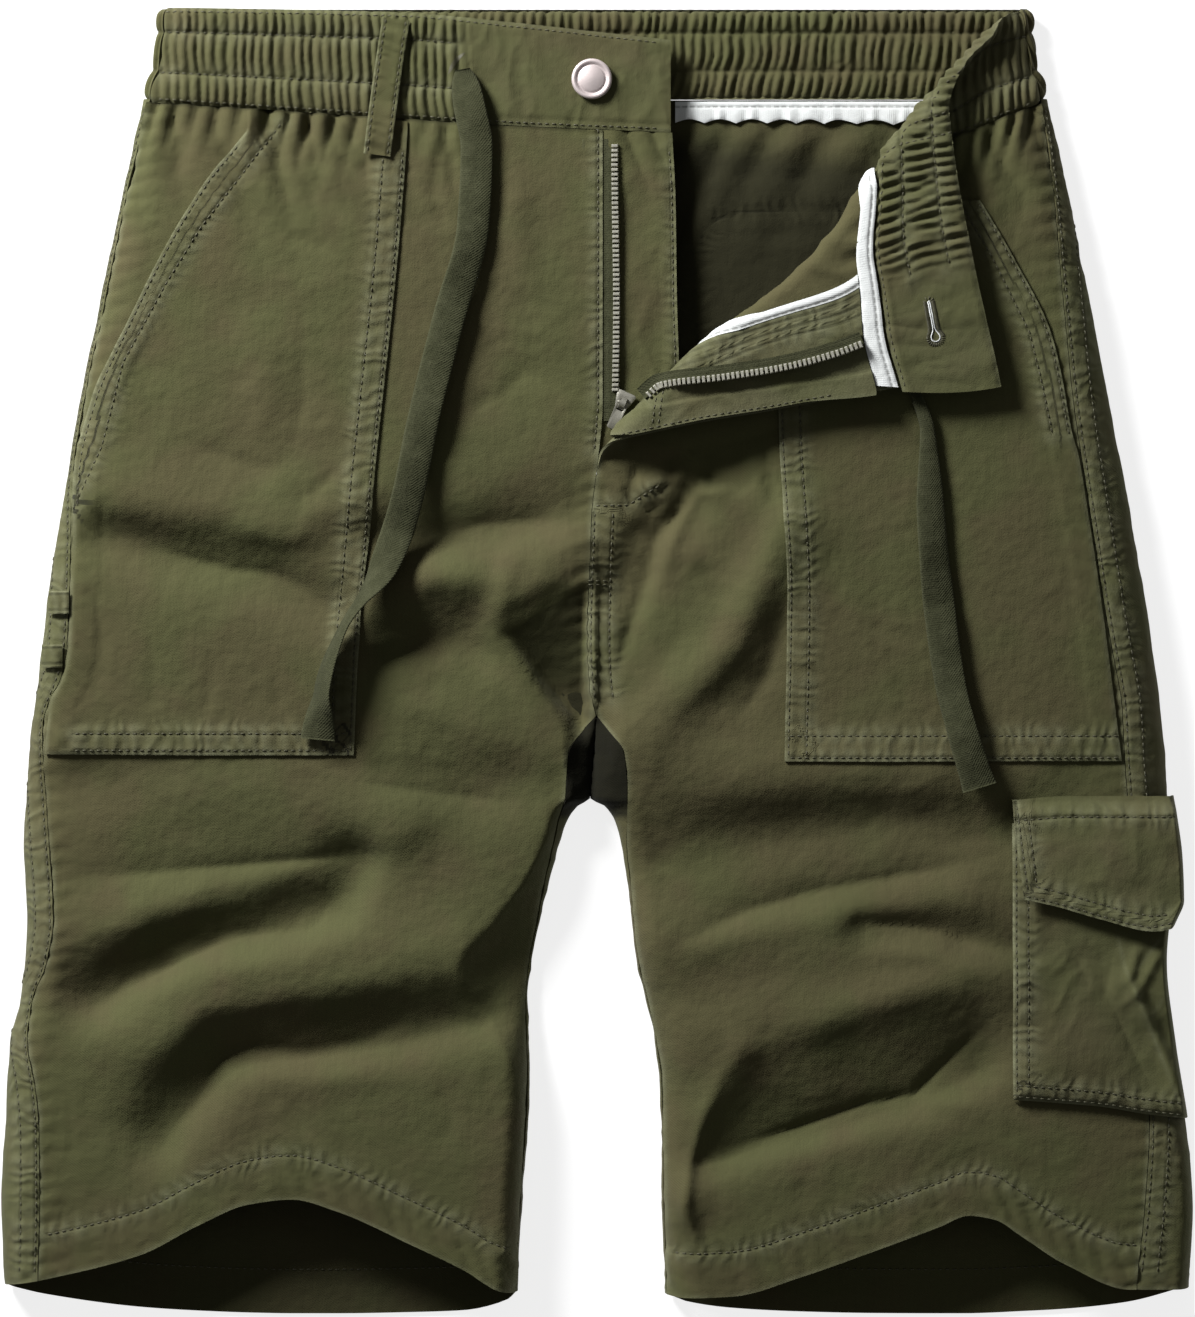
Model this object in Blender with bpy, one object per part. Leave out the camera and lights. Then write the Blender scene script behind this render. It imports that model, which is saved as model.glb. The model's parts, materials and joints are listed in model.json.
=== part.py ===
"""Olive cotton-twill cargo shorts, laid flat on their back with the left fly corner folded back.

World frame: +X is the wearer's left, +Y runs to the waist, +Z is up, and the origin is at the centre of
the rest surface. Tables and sizes are in millimetres; meshes are made in metres.

The upper layer is one height field, top_height(), over the outline of the garment. Each front piece is a
flat cut piece laid on that field, and the left front turns back over itself at a curved fold line. Each
back piece lies on the ground and wraps up round the leg's edges to meet the front at the seams.
"""

import math

import bpy
import numpy as np
from mathutils import Vector
from mathutils.bvhtree import BVHTree
from mathutils.geometry import delaunay_2d_cdt

MM = 0.001

# Cloth
CLOTH = 1.2  # twill panel
BAND = 2.4  # waistband: two layers and elastic
TAPE = 0.8  # zip tape, facing, seam tape
GAP = 0.3  # between pieces at a seam
EDGE = 4.0  # half the thickness of the garment at its outline
SIDE_REACH = 16.0  # how far in from the outline the upper layer is still rising
CELL = 22.0  # spacing of the points inside a panel

# Fold line of the left front: from the foot of the fly to the top of the waistband
FOLD_FOOT = (1.5, 86.3)
FOLD_HEAD = (146.4, 241.7)
FOLD_RADIUS = 4.5
FOLD_BULGE = 8.6  # how far the line bows towards the leg
FOLD_BULGE_AT = 0.57
FOLD_BULGE_WIDTH = 0.2

# Levels along the centre, from the waist down
CROTCH = -23.0
ARCH = -58.0
BACK_WAIST = 235.2
BAND_END_LEFT = 25.0  # where the left waistband's end meets its seam, unfolded

# Levels that the fronts' and the backs' points share along the side seams and the inseams
BAND_LEVELS = (273.0, 254.0, BACK_WAIST + GAP / 2)
UPPER_LEVELS = (203, 196, 127, 120, 82, 42, 5, -24, -44)
CENTRE_LEVELS = (86, 70, 50, 28, 6, -12, CROTCH)
WALL_LEVELS = (-28, -34, -42, -50, ARCH, -60.7, -63.6)
ARCH_LEVELS = (ARCH, -60.7, -63.6)
LOWER_LEVELS = (-67, -75, -88, -104, -122, -140, -157, -176, -204, -240)

# Drawstring tape
STRING_WIDTH = 13.5
STRING_THICK = 2.0

# Button and zip
BUTTON_AT = (-2.0, 243.0)
SLIDER_AT = (11.0, 107.5)


class Table:
    """Rows of named columns. A column runs smoothly between its rows and never overshoots them."""

    def __init__(self, names, *rows):
        self.names = names.split()
        self.rows = np.array(sorted(rows), float)

    def __call__(self, name, at):
        x = self.rows[:, 0]
        y = self.rows[:, self.names.index(name)]
        step = np.diff(x)
        rise = np.diff(y) / step
        slope = np.zeros_like(x)
        same = rise[1:] * rise[:-1] > 0
        slope[1:-1][same] = 2 / (1 / rise[1:][same] + 1 / rise[:-1][same])
        slope[0], slope[-1] = rise[0], rise[-1]
        at = np.clip(at, x[0], x[-1])
        k = np.clip(np.searchsorted(x, at) - 1, 0, len(x) - 2)
        t = (at - x[k]) / step[k]
        s = 1 - t
        return (
            y[k] * s * s * (1 + 2 * t)
            + y[k + 1] * t * t * (3 - 2 * t)
            + slope[k] * step[k] * t * s * s
            - slope[k + 1] * step[k] * t * t * s
        )


# The outline and the side seams, which lie on top just inside it
SIDES = Table(
    "y side_right seam_right seam_left side_left",
    (273, -183.3, -180.3, 178.0, 181.6),
    (252, -185.2, -182.2, 181.0, 184.0),
    (234, -189.6, -187.0, 186.0, 188.5),
    (193, -198.4, -196.8, 191.3, 197.6),
    (151, -207.3, -205.2, 194.9, 206.4),
    (109, -215.7, -213.9, 199.0, 214.4),
    (67, -223.2, -222.1, 205.2, 222.6),
    (25, -230.0, -229.0, 211.5, 230.0),
    (-17, -234.8, -231.5, 219.0, 235.8),
    (-42, -237.5, -231.0, 220.3, 238.3),
    (-59, -238.8, -229.7, 221.7, 239.4),
    (-75, -240.0, -228.4, 223.5, 239.8),
    (-92, -239.2, -227.0, 225.3, 240.2),
    (-109, -238.4, -226.1, 226.8, 238.0),
    (-126, -239.2, -229.0, 227.9, 236.4),
    (-143, -240.9, -235.4, 229.1, 236.6),
    (-159, -245.1, -237.0, 229.5, 238.7),
    (-176, -246.8, -234.0, 230.0, 242.6),
    (-193, -247.6, -232.2, 230.3, 246.4),
    (-227, -249.3, -231.8, 228.4, 249.7),
    (-262, -248.0, -232.5, 224.9, 248.0),
    (-276, -246.5, -232.5, 224.5, 246.8),
)

# The inner edges: above the arch, the bottom of the groove between the legs; below it, the leg's outline.
# reach is how far in from that edge the front is still rising.
LEGS = Table(
    "y inseam_right inner_right inner_left inseam_left reach_right reach_left",
    (-23, 0.0, 0.0, 0.0, 0.0, 6, 6),
    (-40, -5.0, -1.5, -1.5, 6.0, 9, 9),
    (-50, -7.0, -2.2, -2.2, 7.9, 10.5, 10.5),
    (-57, -8.7, -2.65, -2.65, 9.6, 12, 12),
    (-58, -9.0, -2.7, -2.7, 9.8, 12, 12),
    (-60.7, -10.4, -7.8, 3.1, 10.4, 12, 12),
    (-63.6, -12.0, -10.6, 5.5, 10.9, 12, 12),
    (-67, -13.6, -12.4, 7.5, 11.2, 12, 12),
    (-75, -16.1, -15.3, 10.3, 11.4, 13, 10),
    (-92, -20.8, -20.0, 13.2, 14.0, 20, 10),
    (-109, -25.0, -24.2, 14.9, 15.7, 30, 10),
    (-126, -28.3, -27.5, 17.0, 17.8, 34, 12),
    (-143, -29.6, -28.8, 20.8, 21.6, 28, 20),
    (-160, -29.4, -28.6, 24.7, 25.5, 18, 30),
    (-176, -29.2, -28.4, 26.7, 27.5, 11, 30),
    (-200, -30.3, -29.5, 27.2, 28.0, 10, 14),
    (-227, -32.1, -31.3, 27.5, 28.3, 10, 10),
    (-262, -33.8, -33.0, 28.9, 29.7, 10, 14),
    (-276, -34.4, -33.6, 29.3, 30.1, 10, 14),
)

# Centre front: the fly edges down to the foot of the fly, then the seam. The left edge is given unfolded.
FRONT_EDGE = Table(
    "y right left",
    (274, 2.7, 44.0),
    (247, 2.7, 38.0),
    (202, 2.7, 25.8),
    (179, 2.7, 17.3),
    (157, 2.7, 11.2),
    (132, 2.7, 7.6),
    (107, 2.7, 3.8),
    (86, 1.0, 1.0),
    (60, -2.0, -2.0),
    (9, -3.5, -3.5),
    (-12, -2.5, -2.5),
    (-23, 0.0, 0.0),
)

# Height of the upper layer away from its edges
CROWN = Table(
    "y height",
    (274, 9.8),
    (236, 10.6),
    (210, 12.0),
    (180, 13.4),
    (100, 15.0),
    (0, 17.0),
    (-100, 18.0),
    (-200, 21.0),
    (-276, 22.0),
)

# Floor of the groove between the legs
GROOVE = Table("y height", (-23, 16.0), (-35, 12.0), (-50, 6.5), (-58, EDGE))

# Waist seam and top edge of the front waistband pieces, the left ones unfolded
WAIST_RIGHT = Table(
    "x seam top",
    (-189, 233.7, 273.5),
    (-82, 226.6, 271.3),
    (-36, 223.6, 267.0),
    (31, 220.7, 259.6),
)
WAIST_LEFT = Table(
    "x seam top",
    (24, 207, 247.5),
    (55, 200, 246.5),
    (80, 199.5, 246),
    (105, 208, 245),
    (130, 214, 244.5),
    (150, 219, 254),
    (162, 224, 267),
    (188, 234, 273.5),
)

# Hem edges: the front's arches up over the open leg, the back's runs just past it
HEM_RIGHT = Table(
    "x front back",
    (-250, -261.5, -261.5),
    (-231, -258.0, -266.0),
    (-190, -247.6, -271.5),
    (-166, -235.4, -273.0),
    (-145, -226.6, -273.8),
    (-127, -224.5, -274.1),
    (-108, -229.5, -274.1),
    (-78, -243.0, -273.6),
    (-56, -253.5, -272.8),
    (-38, -263.5, -268.6),
    (-33, -264.0, -264.5),
)
HEM_LEFT = Table(
    "x front back",
    (30, -265.0, -265.5),
    (36, -265.6, -268.6),
    (57, -264.8, -271.8),
    (85, -256.8, -273.3),
    (117, -245.5, -274.0),
    (143, -235.8, -274.1),
    (155, -231.2, -274.1),
    (166, -232.9, -273.8),
    (176, -239.2, -273.3),
    (195, -251.4, -272.3),
    (222, -261.9, -269.4),
    (250, -262.0, -262.0),
)

# Large folds: height over the panel, how wide they fall off above and below their line, and the line
FOLDS = (
    # height above below  line, from the wearer's right to left
    (-5.5, 14, 9, ((-209, -143), (-175, -122), (-141, -111), (-108, -103), (-100, -86))),
    (4.0, 22, 12, ((-215, -112), (-160, -92), (-110, -84), (-85, -72))),
    (-7.0, 15, 10, ((-181, -199), (-156, -166), (-124, -162), (-82, -157), (-50, -150))),
    (4.5, 20, 14, ((-190, -160), (-150, -134), (-100, -128), (-60, -126))),
    (-4.5, 12, 12, ((-207, 51), (-175, 43), (-150, 38), (-112, 22))),
    (3.0, 16, 9, ((-200, 66), (-130, 60), (-100, 66))),
    (-3.0, 12, 14, ((-225, -52), (-160, -48), (-100, -48), (-20, -53))),
    (-4.0, 14, 9, ((-82, 48), (-50, 52), (-10, 60))),
    (3.5, 12, 12, ((-80, 34), (-40, 34), (-12, 48))),
    (-4.0, 12, 9, ((-90, 8), (-55, 10), (-30, -6), (-10, -24))),
    (-4.0, 8, 10, ((10, 30), (18, 52), (36, 60), (40, 78), (56, 82))),
    (4.0, 9, 16, ((14, -30), (52, 6), (80, 56))),
    (-5.0, 20, 16, ((22, -86), (70, -74), (125, -64), (170, -70))),
    (3.0, 14, 18, ((28, -40), (90, -44), (180, -46))),
    (-3.5, 9, 7, ((112, -113), (145, -111), (172, -120))),
    (3.0, 12, 16, ((30, -118), (90, -118), (150, -100))),
    (-7.5, 22, 9, ((44, -208), (98, -194), (132, -183), (158, -171))),
    (3.5, 14, 16, ((36, -160), (80, -146), (160, -134))),
    (3.0, 8, 8, ((60, -164), (40, -200), (36, -228))),
)

# Patch pockets, as their cut outlines on the unfolded panels
POCKET_RIGHT = ((-146, 221), (-79, 219), (-83.4, 165), (-89.3, 109), (-96.4, 37), (-99.3, 9), (-101.2, -36.8))
POCKET_RIGHT_FOOT = -39.0
POCKET_RIGHT_MOUTH = ((-218.0, 89), (-207.3, 116.6), (-195.9, 141), (-180, 173), (-162, 202))
POCKET_LEFT = ((78.3, -39.3), (79.6, 24), (77.9, 64.5), (76.2, 95), (75, 150), (75, 193), (132, 208))
POCKET_LEFT_FOOT = -42.0
POCKET_LEFT_MOUTH = ((156, 199), (173.7, 169), (189.6, 137), (194.3, 117.8), (198.5, 94.5))

# Fly facing on the wrong side of the folded corner, and the seam tapes there
FACING_WIDTH = Table("y width", (96, 22), (139, 36), (168, 47), (190, 50))
FACING_TAPE_WIDTH = 4.0
FACING_LEVELS = (96, 190)
WAIST_TAPE_WIDTH = 8.0
WAIST_TAPE_ENDS = (33, 112)

# Pocket on the back, under the left panel
BACK_POCKET = (43.5, 115.0, 133.0, 190.0)  # x from, x to, y from, y to
BACK_POCKET_CORNER = 14.0
BACK_POCKET_THICK = 1.2
BACK_COLUMNS = {"right": (120.0,), "left": (36.5, 42.5, 116.0, 123.0)}  # points across a back's ground layer
BACK_BAND_COLUMNS = (-150, -75, 0, 75, 150)
HEM_LEVEL = -262
CENTRE_SWAY = (60.0, 118.0, -2.7)  # the back seam leaves the middle here, over this length, by this much

# Cargo pocket on the left leg: outer edge of the pocket and of its flap, and the flap's lower edge
CARGO = Table(
    "y pocket flap",
    (-191, 247.4, 247.4),
    (-160, 242.4, 244.4),
    (-126, 238.6, 242.0),
    (-112, 239.6, 241.5),
    (-100, 242.6, 245.6),
    (-82, 242.4, 245.0),
    (-63, 241.0, 242.6),
    (-56, 240.2, 241.6),
)
CARGO_LEFT = 173.4
CARGO_TOP = -68.0
CARGO_FOOT = Table("x y", (172, -182.8), (210, -185.8), (230, -189.0), (248, -190.8))
CARGO_PUFF = 4.0
CARGO_CLOTH = 1.2
FLAP_LEFT = (173.4, 175.0, 177.6)  # at its top, middle and lower edge
FLAP_TOP = Table("x y", (172, -58.4), (195, -56.5), (246, -56.5))
FLAP_FOOT = Table(
    "x y",
    (172, -98.2),
    (190, -102.0),
    (210, -107.7),
    (231, -112.4),
    (238, -111.5),
    (246, -101.0),
)
FLAP_LIFT = Table("y lift", (-113, 5.0), (-95, 2.6), (-70, 0.4), (-56, 0.0))

# Belt loop and the two small loops at the right side seam: centre line, and each loop's name and centre
BELT_LOOP = ((-83.8, 268.0), (-88.0, 240.0), (-91.6, 211.0))
BELT_LOOP_WIDTH = 11.5
SIDE_LOOPS = (("side_loop_upper", -224.4, 24.2), ("side_loop_lower", -227.2, 1.8))
SIDE_LOOP_SIZE = (9.0, 9.6)

# Drawstring ends, as the middle line of each tape
STRING_RIGHT = (
    (-56, 247), (-53, 231), (-50, 214), (-51.5, 181), (-61.5, 143), (-72, 101),
    (-79, 67), (-89, 38), (-105.5, 13), (-114, -12), (-116, -33),
)
STRING_LEFT = (
    (129.6, 121), (132.5, 112.4), (138, 95), (139.2, 61.5),
    (143.4, 16.6), (147.6, -11.6), (151.8, -28.4), (159.4, -53),
)

# Fly shield behind the zip, and the line of the zip on the turned-back corner
SHIELD = Table(
    "y left right",
    (219, -6, 31.6),
    (193, -6, 33),
    (150, -6, 33.6),
    (122, -6, 34.4),
    (112, -5, 25),
    (98, -3, 12),
)
ZIP_LEFT = ((18.5, 111.0), (26.0, 116.8), (52, 120.0), (77, 124.0), (98, 129.5), (110, 134.0))
ZIP_TAPE_WIDTH = 5.4
ZIP_RIGHT_EDGE = 3.0
ZIP_RIGHT_LIFT = -0.2
SHIELD_LIFT = -1.7
BACK_TAPE_ENDS = (33, 150)
BACK_TAPE_LEVELS = (234.4, 226.4)

# Slider and pull tab
PULL_TURN = math.radians(-24.6)  # the slider and its tab lean this far off the centre line
PULL_TILT = math.radians(7)
TAB_LENGTH = 12.0
TAB_WIDTH = 5.0

# Button: radius and height of each ring from its foot up
BUTTON_PROFILE = ((0, 0), (7.0, 0), (8.5, 1.8), (8.2, 3.2), (6.8, 3.3), (6.0, 2.6), (5.0, 3.1), (0, 3.8))
BUTTON_SIDES = 16


def ease(t):
    """0 to 1 along a quarter of an ellipse: steep at the edge, level where the roll ends."""
    t = np.clip(t, 0.0, 1.0)
    return np.sqrt(1 - (1 - t) ** 2)


def fold_relief(x, y):
    """Height that the folds add. Each is a line with its own fall on its upper and lower side."""
    total = np.zeros_like(x)
    for height, above, below, line in FOLDS:
        nearest = np.full_like(x, 1e9)
        lean = np.zeros_like(x)
        for (ax, ay), (bx, by) in zip(line, line[1:]):
            dx, dy = bx - ax, by - ay
            t = np.clip(((x - ax) * dx + (y - ay) * dy) / (dx * dx + dy * dy), 0, 1)
            away = np.hypot(x - ax - t * dx, y - ay - t * dy) + 1e-6
            offset = ((y - ay) * dx - (x - ax) * dy) / math.hypot(dx, dy)
            closer = away < nearest
            lean = np.where(closer, np.clip(offset / away, -1, 1), lean)
            nearest = np.where(closer, away, nearest)
        reach = (above + below) / 2 + (above - below) / 2 * lean
        total += height * np.exp(-((nearest / reach) ** 2))
    return total


def top_height(x, y):
    """Height of the upper layer's outer skin above the ground."""
    x, y = np.asarray(x, float), np.asarray(y, float)
    right = x < np.where(y < CROTCH, LEGS("inner_right", y) + LEGS("inner_left", y), 0.0) / 2
    side = np.where(right, x - SIDES("side_right", y), SIDES("side_left", y) - x)
    crown = CROWN("height", y) + fold_relief(x, y) - EDGE
    height = EDGE + crown * ease(side / SIDE_REACH)
    inner = np.where(right, LEGS("inner_right", y) - x, x - LEGS("inner_left", y))
    reach = np.where(right, LEGS("reach_right", y), LEGS("reach_left", y))
    floor = np.where(y > ARCH, GROOVE("height", y), EDGE)
    floor = np.minimum(floor, height)
    grooved = floor + (height - floor) * ease(inner / reach)
    return np.where(y < CROTCH, grooved, height)


def fold_frame():
    """Length of the straight between the fold line's ends, and the directions along and across it."""
    span = np.subtract(FOLD_HEAD, FOLD_FOOT)
    length = np.hypot(*span)
    along = span / length
    return length, along, np.array([-along[1], along[0]])


def fold_start(place):
    """How far across the straight the turn begins, at a place from 0 at its foot to 1 at its head."""
    return -FOLD_RADIUS - FOLD_BULGE * np.exp(-(((place - FOLD_BULGE_AT) / FOLD_BULGE_WIDTH) ** 2))


def folded(x, y, turns):
    """Outer skin of the front at flat points. Where turns is set, what lies past the fold line turns back."""
    if not turns:
        return np.stack([x, y, top_height(x, y)], -1)
    length, along, across = fold_frame()
    rel = np.stack([x - FOLD_FOOT[0], y - FOLD_FOOT[1]], -1)
    past = rel @ across - fold_start(rel @ along / length)
    turn = np.clip(past / FOLD_RADIUS, 0, math.pi)
    beyond = np.maximum(past - math.pi * FOLD_RADIUS, 0)
    shift = np.where(past > 0, FOLD_RADIUS * np.sin(turn) - beyond - past, 0.0)
    fx, fy = x + shift * across[0], y + shift * across[1]
    rise = FOLD_RADIUS * (1 - np.cos(turn))
    return np.stack([fx, fy, top_height(fx, fy) + rise], -1)


def normals_of(surface, a, b, step=0.1):
    """Outward unit normals of surface(a, b) by central differences."""
    da = surface(a + step, b) - surface(a - step, b)
    db = surface(a, b + step) - surface(a, b - step)
    normal = np.cross(da, db)
    return normal / np.linalg.norm(normal, axis=-1, keepdims=True)


def material(name, colour, roughness=0.9, metallic=0.0):
    made = bpy.data.materials.get(name) or bpy.data.materials.new(name)
    made.use_nodes = True
    shader = made.node_tree.nodes["Principled BSDF"]
    shader.inputs["Base Color"].default_value = (*colour, 1)
    shader.inputs["Roughness"].default_value = roughness
    shader.inputs["Metallic"].default_value = metallic
    return made


def twill():
    return material("twill", (0.115, 0.107, 0.052))


def webbing():
    return material("webbing", (0.052, 0.056, 0.032))


def white_tape():
    return material("white_tape", (0.6, 0.62, 0.61))


def nickel():
    return material("nickel", (0.62, 0.58, 0.55), 0.35, 0.9)


def add_object(name, verts, faces, finish):
    """One object in metres from points in millimetres."""
    mesh = bpy.data.meshes.new(name)
    mesh.from_pydata([Vector(v) * MM for v in verts], [], [tuple(int(i) for i in f) for f in faces])
    mesh.materials.append(finish)
    mesh.shade_smooth()
    mesh.set_sharp_from_angle(angle=math.radians(40))
    made = bpy.data.objects.new(name, mesh)
    bpy.context.scene.collection.objects.link(made)
    return made


def shell(name, outer, normals, faces, thick, finish):
    """A closed wall: the outer skin, a copy of it moved in by thick, and the rim between them."""
    outer = np.asarray(outer)
    count = len(outer)
    inner = outer - normals * np.reshape(thick, (-1, 1))
    edges = {}
    for face in faces:
        for a, b in zip(face, face[1:] + face[:1]):
            edges[a, b] = True
    rim = [(b, a, a + count, b + count) for a, b in edges if (b, a) not in edges]
    back = [tuple(i + count for i in reversed(face)) for face in faces]
    return add_object(name, np.concatenate([outer, inner]), list(faces) + back + rim, finish)


def grid_faces(rows, columns):
    """Quads of a grid whose points run along each row in turn."""
    return [
        (r * columns + c, r * columns + c + 1, (r + 1) * columns + c + 1, (r + 1) * columns + c)
        for r in range(rows - 1)
        for c in range(columns - 1)
    ]


def resampled(line, spacing):
    """The corners of an open line, with points added between them no further apart than spacing."""
    out = [tuple(line[0])]
    for (ax, ay), (bx, by) in zip(line, line[1:]):
        count = max(1, math.ceil(math.hypot(bx - ax, by - ay) / spacing))
        out += [(ax + (bx - ax) * i / count, ay + (by - ay) * i / count) for i in range(1, count + 1)]
    return out


def inside(points, outline):
    """Which points lie inside a closed outline."""
    x, y = points[:, 0], points[:, 1]
    found = np.zeros(len(points), bool)
    for (ax, ay), (bx, by) in zip(outline, outline[1:] + outline[:1]):
        crosses = (ay > y) != (by > y)
        at = ax + (y - ay) * (bx - ax) / (by - ay if by != ay else 1e-9)
        found ^= crosses & (x < at)
    return found


def distance_to(points, line):
    """How far each point lies from an open line."""
    best = np.full(len(points), 1e9)
    for (ax, ay), (bx, by) in zip(line, line[1:]):
        dx, dy = bx - ax, by - ay
        run = max(dx * dx + dy * dy, 1e-9)
        t = np.clip(((points[:, 0] - ax) * dx + (points[:, 1] - ay) * dy) / run, 0, 1)
        best = np.minimum(best, np.hypot(points[:, 0] - ax - t * dx, points[:, 1] - ay - t * dy))
    return best


def cut_piece(outline, lines=(), cell=CELL, loops=()):
    """A flat cut piece as triangles: points on its outline, on its marked lines and on a lattice between."""
    points, edges = [], []

    def draw(path, closed=False):
        first = len(points)
        points.extend(path)
        edges.extend((first + i, first + i + 1) for i in range(len(path) - 1))
        if closed:
            edges.append((first + len(path) - 1, first))

    draw(outline, closed=True)
    for line in lines:
        draw(line)
    for loop in loops:
        draw(loop, closed=True)
    low, high = np.min(outline, 0), np.max(outline, 0)
    lattice = [
        (low[0] + cell * (i + 0.5 * (j % 2)), low[1] + cell * 0.866 * j)
        for j in range(int((high[1] - low[1]) / cell / 0.866) + 1)
        for i in range(int((high[0] - low[0]) / cell) + 2)
    ]
    lattice = np.array(lattice)
    keep = inside(lattice, outline)
    for path in [list(outline) + [outline[0]], *lines, *(list(loop) + [loop[0]] for loop in loops)]:
        keep &= distance_to(lattice, path) > cell * 0.5
    points.extend(map(tuple, lattice[keep]))
    made = delaunay_2d_cdt([Vector(p) for p in points], edges, [], 0, 0.01)
    flat = np.array([(v.x, v.y) for v in made[0]])
    faces = [tuple(f) for f in made[2] if inside(flat[list(f)].mean(0, keepdims=True), outline)[0]]
    used = sorted({i for face in faces for i in face})
    index = {old: new for new, old in enumerate(used)}
    return flat[used], [tuple(index[i] for i in face) for face in faces]


def laid(flat, turns, lift=0.0):
    """Flat points laid on the body, moved out by lift along the surface's normal, and those normals."""
    def surface(a, b):
        return folded(a, b, turns)

    x, y = flat[:, 0], flat[:, 1]
    normals = normals_of(surface, x, y)
    return surface(x, y) + normals * lift, normals


def patch(name, panel, outline, turns, lift, thick, finish):
    """A piece that lies on a panel: the panel's own faces inside outline, moved out by lift."""
    flat, faces = panel
    chosen = [f for f in faces if inside(flat[list(f)].mean(0, keepdims=True), outline)[0]]
    used = sorted({i for face in chosen for i in face})
    index = {old: new for new, old in enumerate(used)}
    outer, normals = laid(flat[used], turns, lift)
    return shell(name, outer, normals, [tuple(index[i] for i in f) for f in chosen], thick, finish)


def spaced(first, last, step):
    """Even values from first to last, no further apart than step."""
    return np.linspace(first, last, max(2, math.ceil(abs(last - first) / step) + 1))


def waist_xs(right):
    """Where the points of a front waist seam lie, shared by the panel and its waistband."""
    return [float(x) for x in (spaced(-176, 31, CELL) if right else spaced(30, 176, CELL / 2.5))]


def front_outline(right):
    """Cut outline of a front, unfolded: centre edge down, inseam, hem, side seam, waist."""
    side = "right" if right else "left"
    inward = -GAP / 2 if right else GAP / 2
    waist, hem = (WAIST_RIGHT, HEM_RIGHT) if right else (WAIST_LEFT, HEM_LEFT)
    edge_top = float(waist("seam", FRONT_EDGE(side, 215))) - GAP / 2
    edge_top = float(waist("seam", FRONT_EDGE(side, edge_top))) - GAP / 2
    levels = (*spaced(edge_top, 104, CELL), *CENTRE_LEVELS)
    centre = [(float(FRONT_EDGE(side, y)) + inward, float(y)) for y in levels]
    foot = float(hem("front", LEGS("inseam_" + side, -264)))
    inseam = [(float(LEGS("inseam_" + side, y)) + inward, y) for y in WALL_LEVELS + LOWER_LEVELS]
    seam_foot = float(hem("front", SIDES("seam_" + side, -260)))
    seam_x = float(SIDES("seam_" + side, seam_foot)) - inward
    first = float(LEGS("inseam_" + side, foot)) + inward
    bottom = [(float(x), float(hem("front", x))) for x in spaced(first, seam_x, CELL)]
    seam_top = float(waist("seam", SIDES("seam_" + side, 234))) - GAP / 2
    levels = (*reversed(UPPER_LEVELS + ARCH_LEVELS + LOWER_LEVELS), seam_top)
    seam = [(float(SIDES("seam_" + side, y)) - inward, float(y)) for y in levels]
    ends = sorted((seam[-1][0], centre[0][0]))
    xs = [x for x in waist_xs(right) if ends[0] + 4 < x < ends[1] - 4]
    top = [(x, float(waist("seam", x)) - GAP / 2) for x in (xs if right else reversed(xs))]
    return centre + inseam + bottom + seam + top


def edge_lines(right):
    """Marked lines that let a front roll down smoothly at its inner and outer edges."""
    side = "right" if right else "left"
    inward = -1 if right else 1
    levels = spaced(-72, -252, CELL)
    inseam = [float(LEGS("inseam_" + side, y)) for y in levels]
    lines = [[(x + inward * d, float(y)) for x, y in zip(inseam, levels)] for d in (1.6, 5.0)]
    levels = spaced(215, -252, CELL)
    seam = [float(SIDES("seam_" + side, y)) for y in levels]
    lines += [[(x - inward * d, float(y)) for x, y in zip(seam, levels)] for d in (2.2, 6.5)]
    return lines


def crease_lines(right):
    """Marked lines along the folds of one front, so that its points lie on their crests and troughs."""
    sign = -1 if right else 1
    return [resampled(fold[3], CELL) for fold in FOLDS if fold[3][0][0] * sign > 0]


def fold_lines():
    """Marked lines along the turn of the left front, so that it bends evenly."""
    length, along, across = fold_frame()

    def at(place, turn):
        away = fold_start(place) + turn * math.pi * FOLD_RADIUS
        return tuple(np.add(FOLD_FOOT, along * length * place + across * away))

    return [[at(place, turn) for place in np.linspace(-0.06, 1.12, 18)] for turn in (0, 0.33, 0.67, 1)]


def pocket_outline(right):
    """Cut outline of a patch pocket, down its inner edge, along its foot, and up the side seam and mouth."""
    if right:
        seam = [(float(SIDES("seam_right", y)) + 1.0, float(y)) for y in spaced(POCKET_RIGHT_FOOT, 80, CELL)]
        return resampled(POCKET_RIGHT + (seam[0],), CELL) + seam[1:] + resampled(POCKET_RIGHT_MOUTH, CELL)
    seam = [(float(SIDES("seam_left", y)) - 1.0, float(y)) for y in spaced(86, POCKET_LEFT_FOOT, CELL)]
    return resampled(POCKET_LEFT + POCKET_LEFT_MOUTH, CELL) + seam


def facing_outline(tape):
    """The fly facing on the left front, or with tape set the narrow tape along its inner edge."""
    levels = spaced(*FACING_LEVELS, CELL)
    centre = [(float(FRONT_EDGE("left", y)), float(y)) for y in levels]
    far = [(x + float(FACING_WIDTH("width", y)), y) for x, y in centre]
    if tape:
        return far + [(x + FACING_TAPE_WIDTH, y) for x, y in reversed(far)]
    return [(x + 1.0, y) for x, y in centre] + [(x - 0.4, y) for x, y in reversed(far)]


def waist_tape_outline():
    """The seam tape inside the folded corner's waist seam."""
    xs = spaced(*WAIST_TAPE_ENDS, CELL)
    upper = [(float(x), float(WAIST_LEFT("seam", x)) - 1.0) for x in xs]
    return upper + [(x, y - WAIST_TAPE_WIDTH) for x, y in reversed(upper)]


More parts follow.
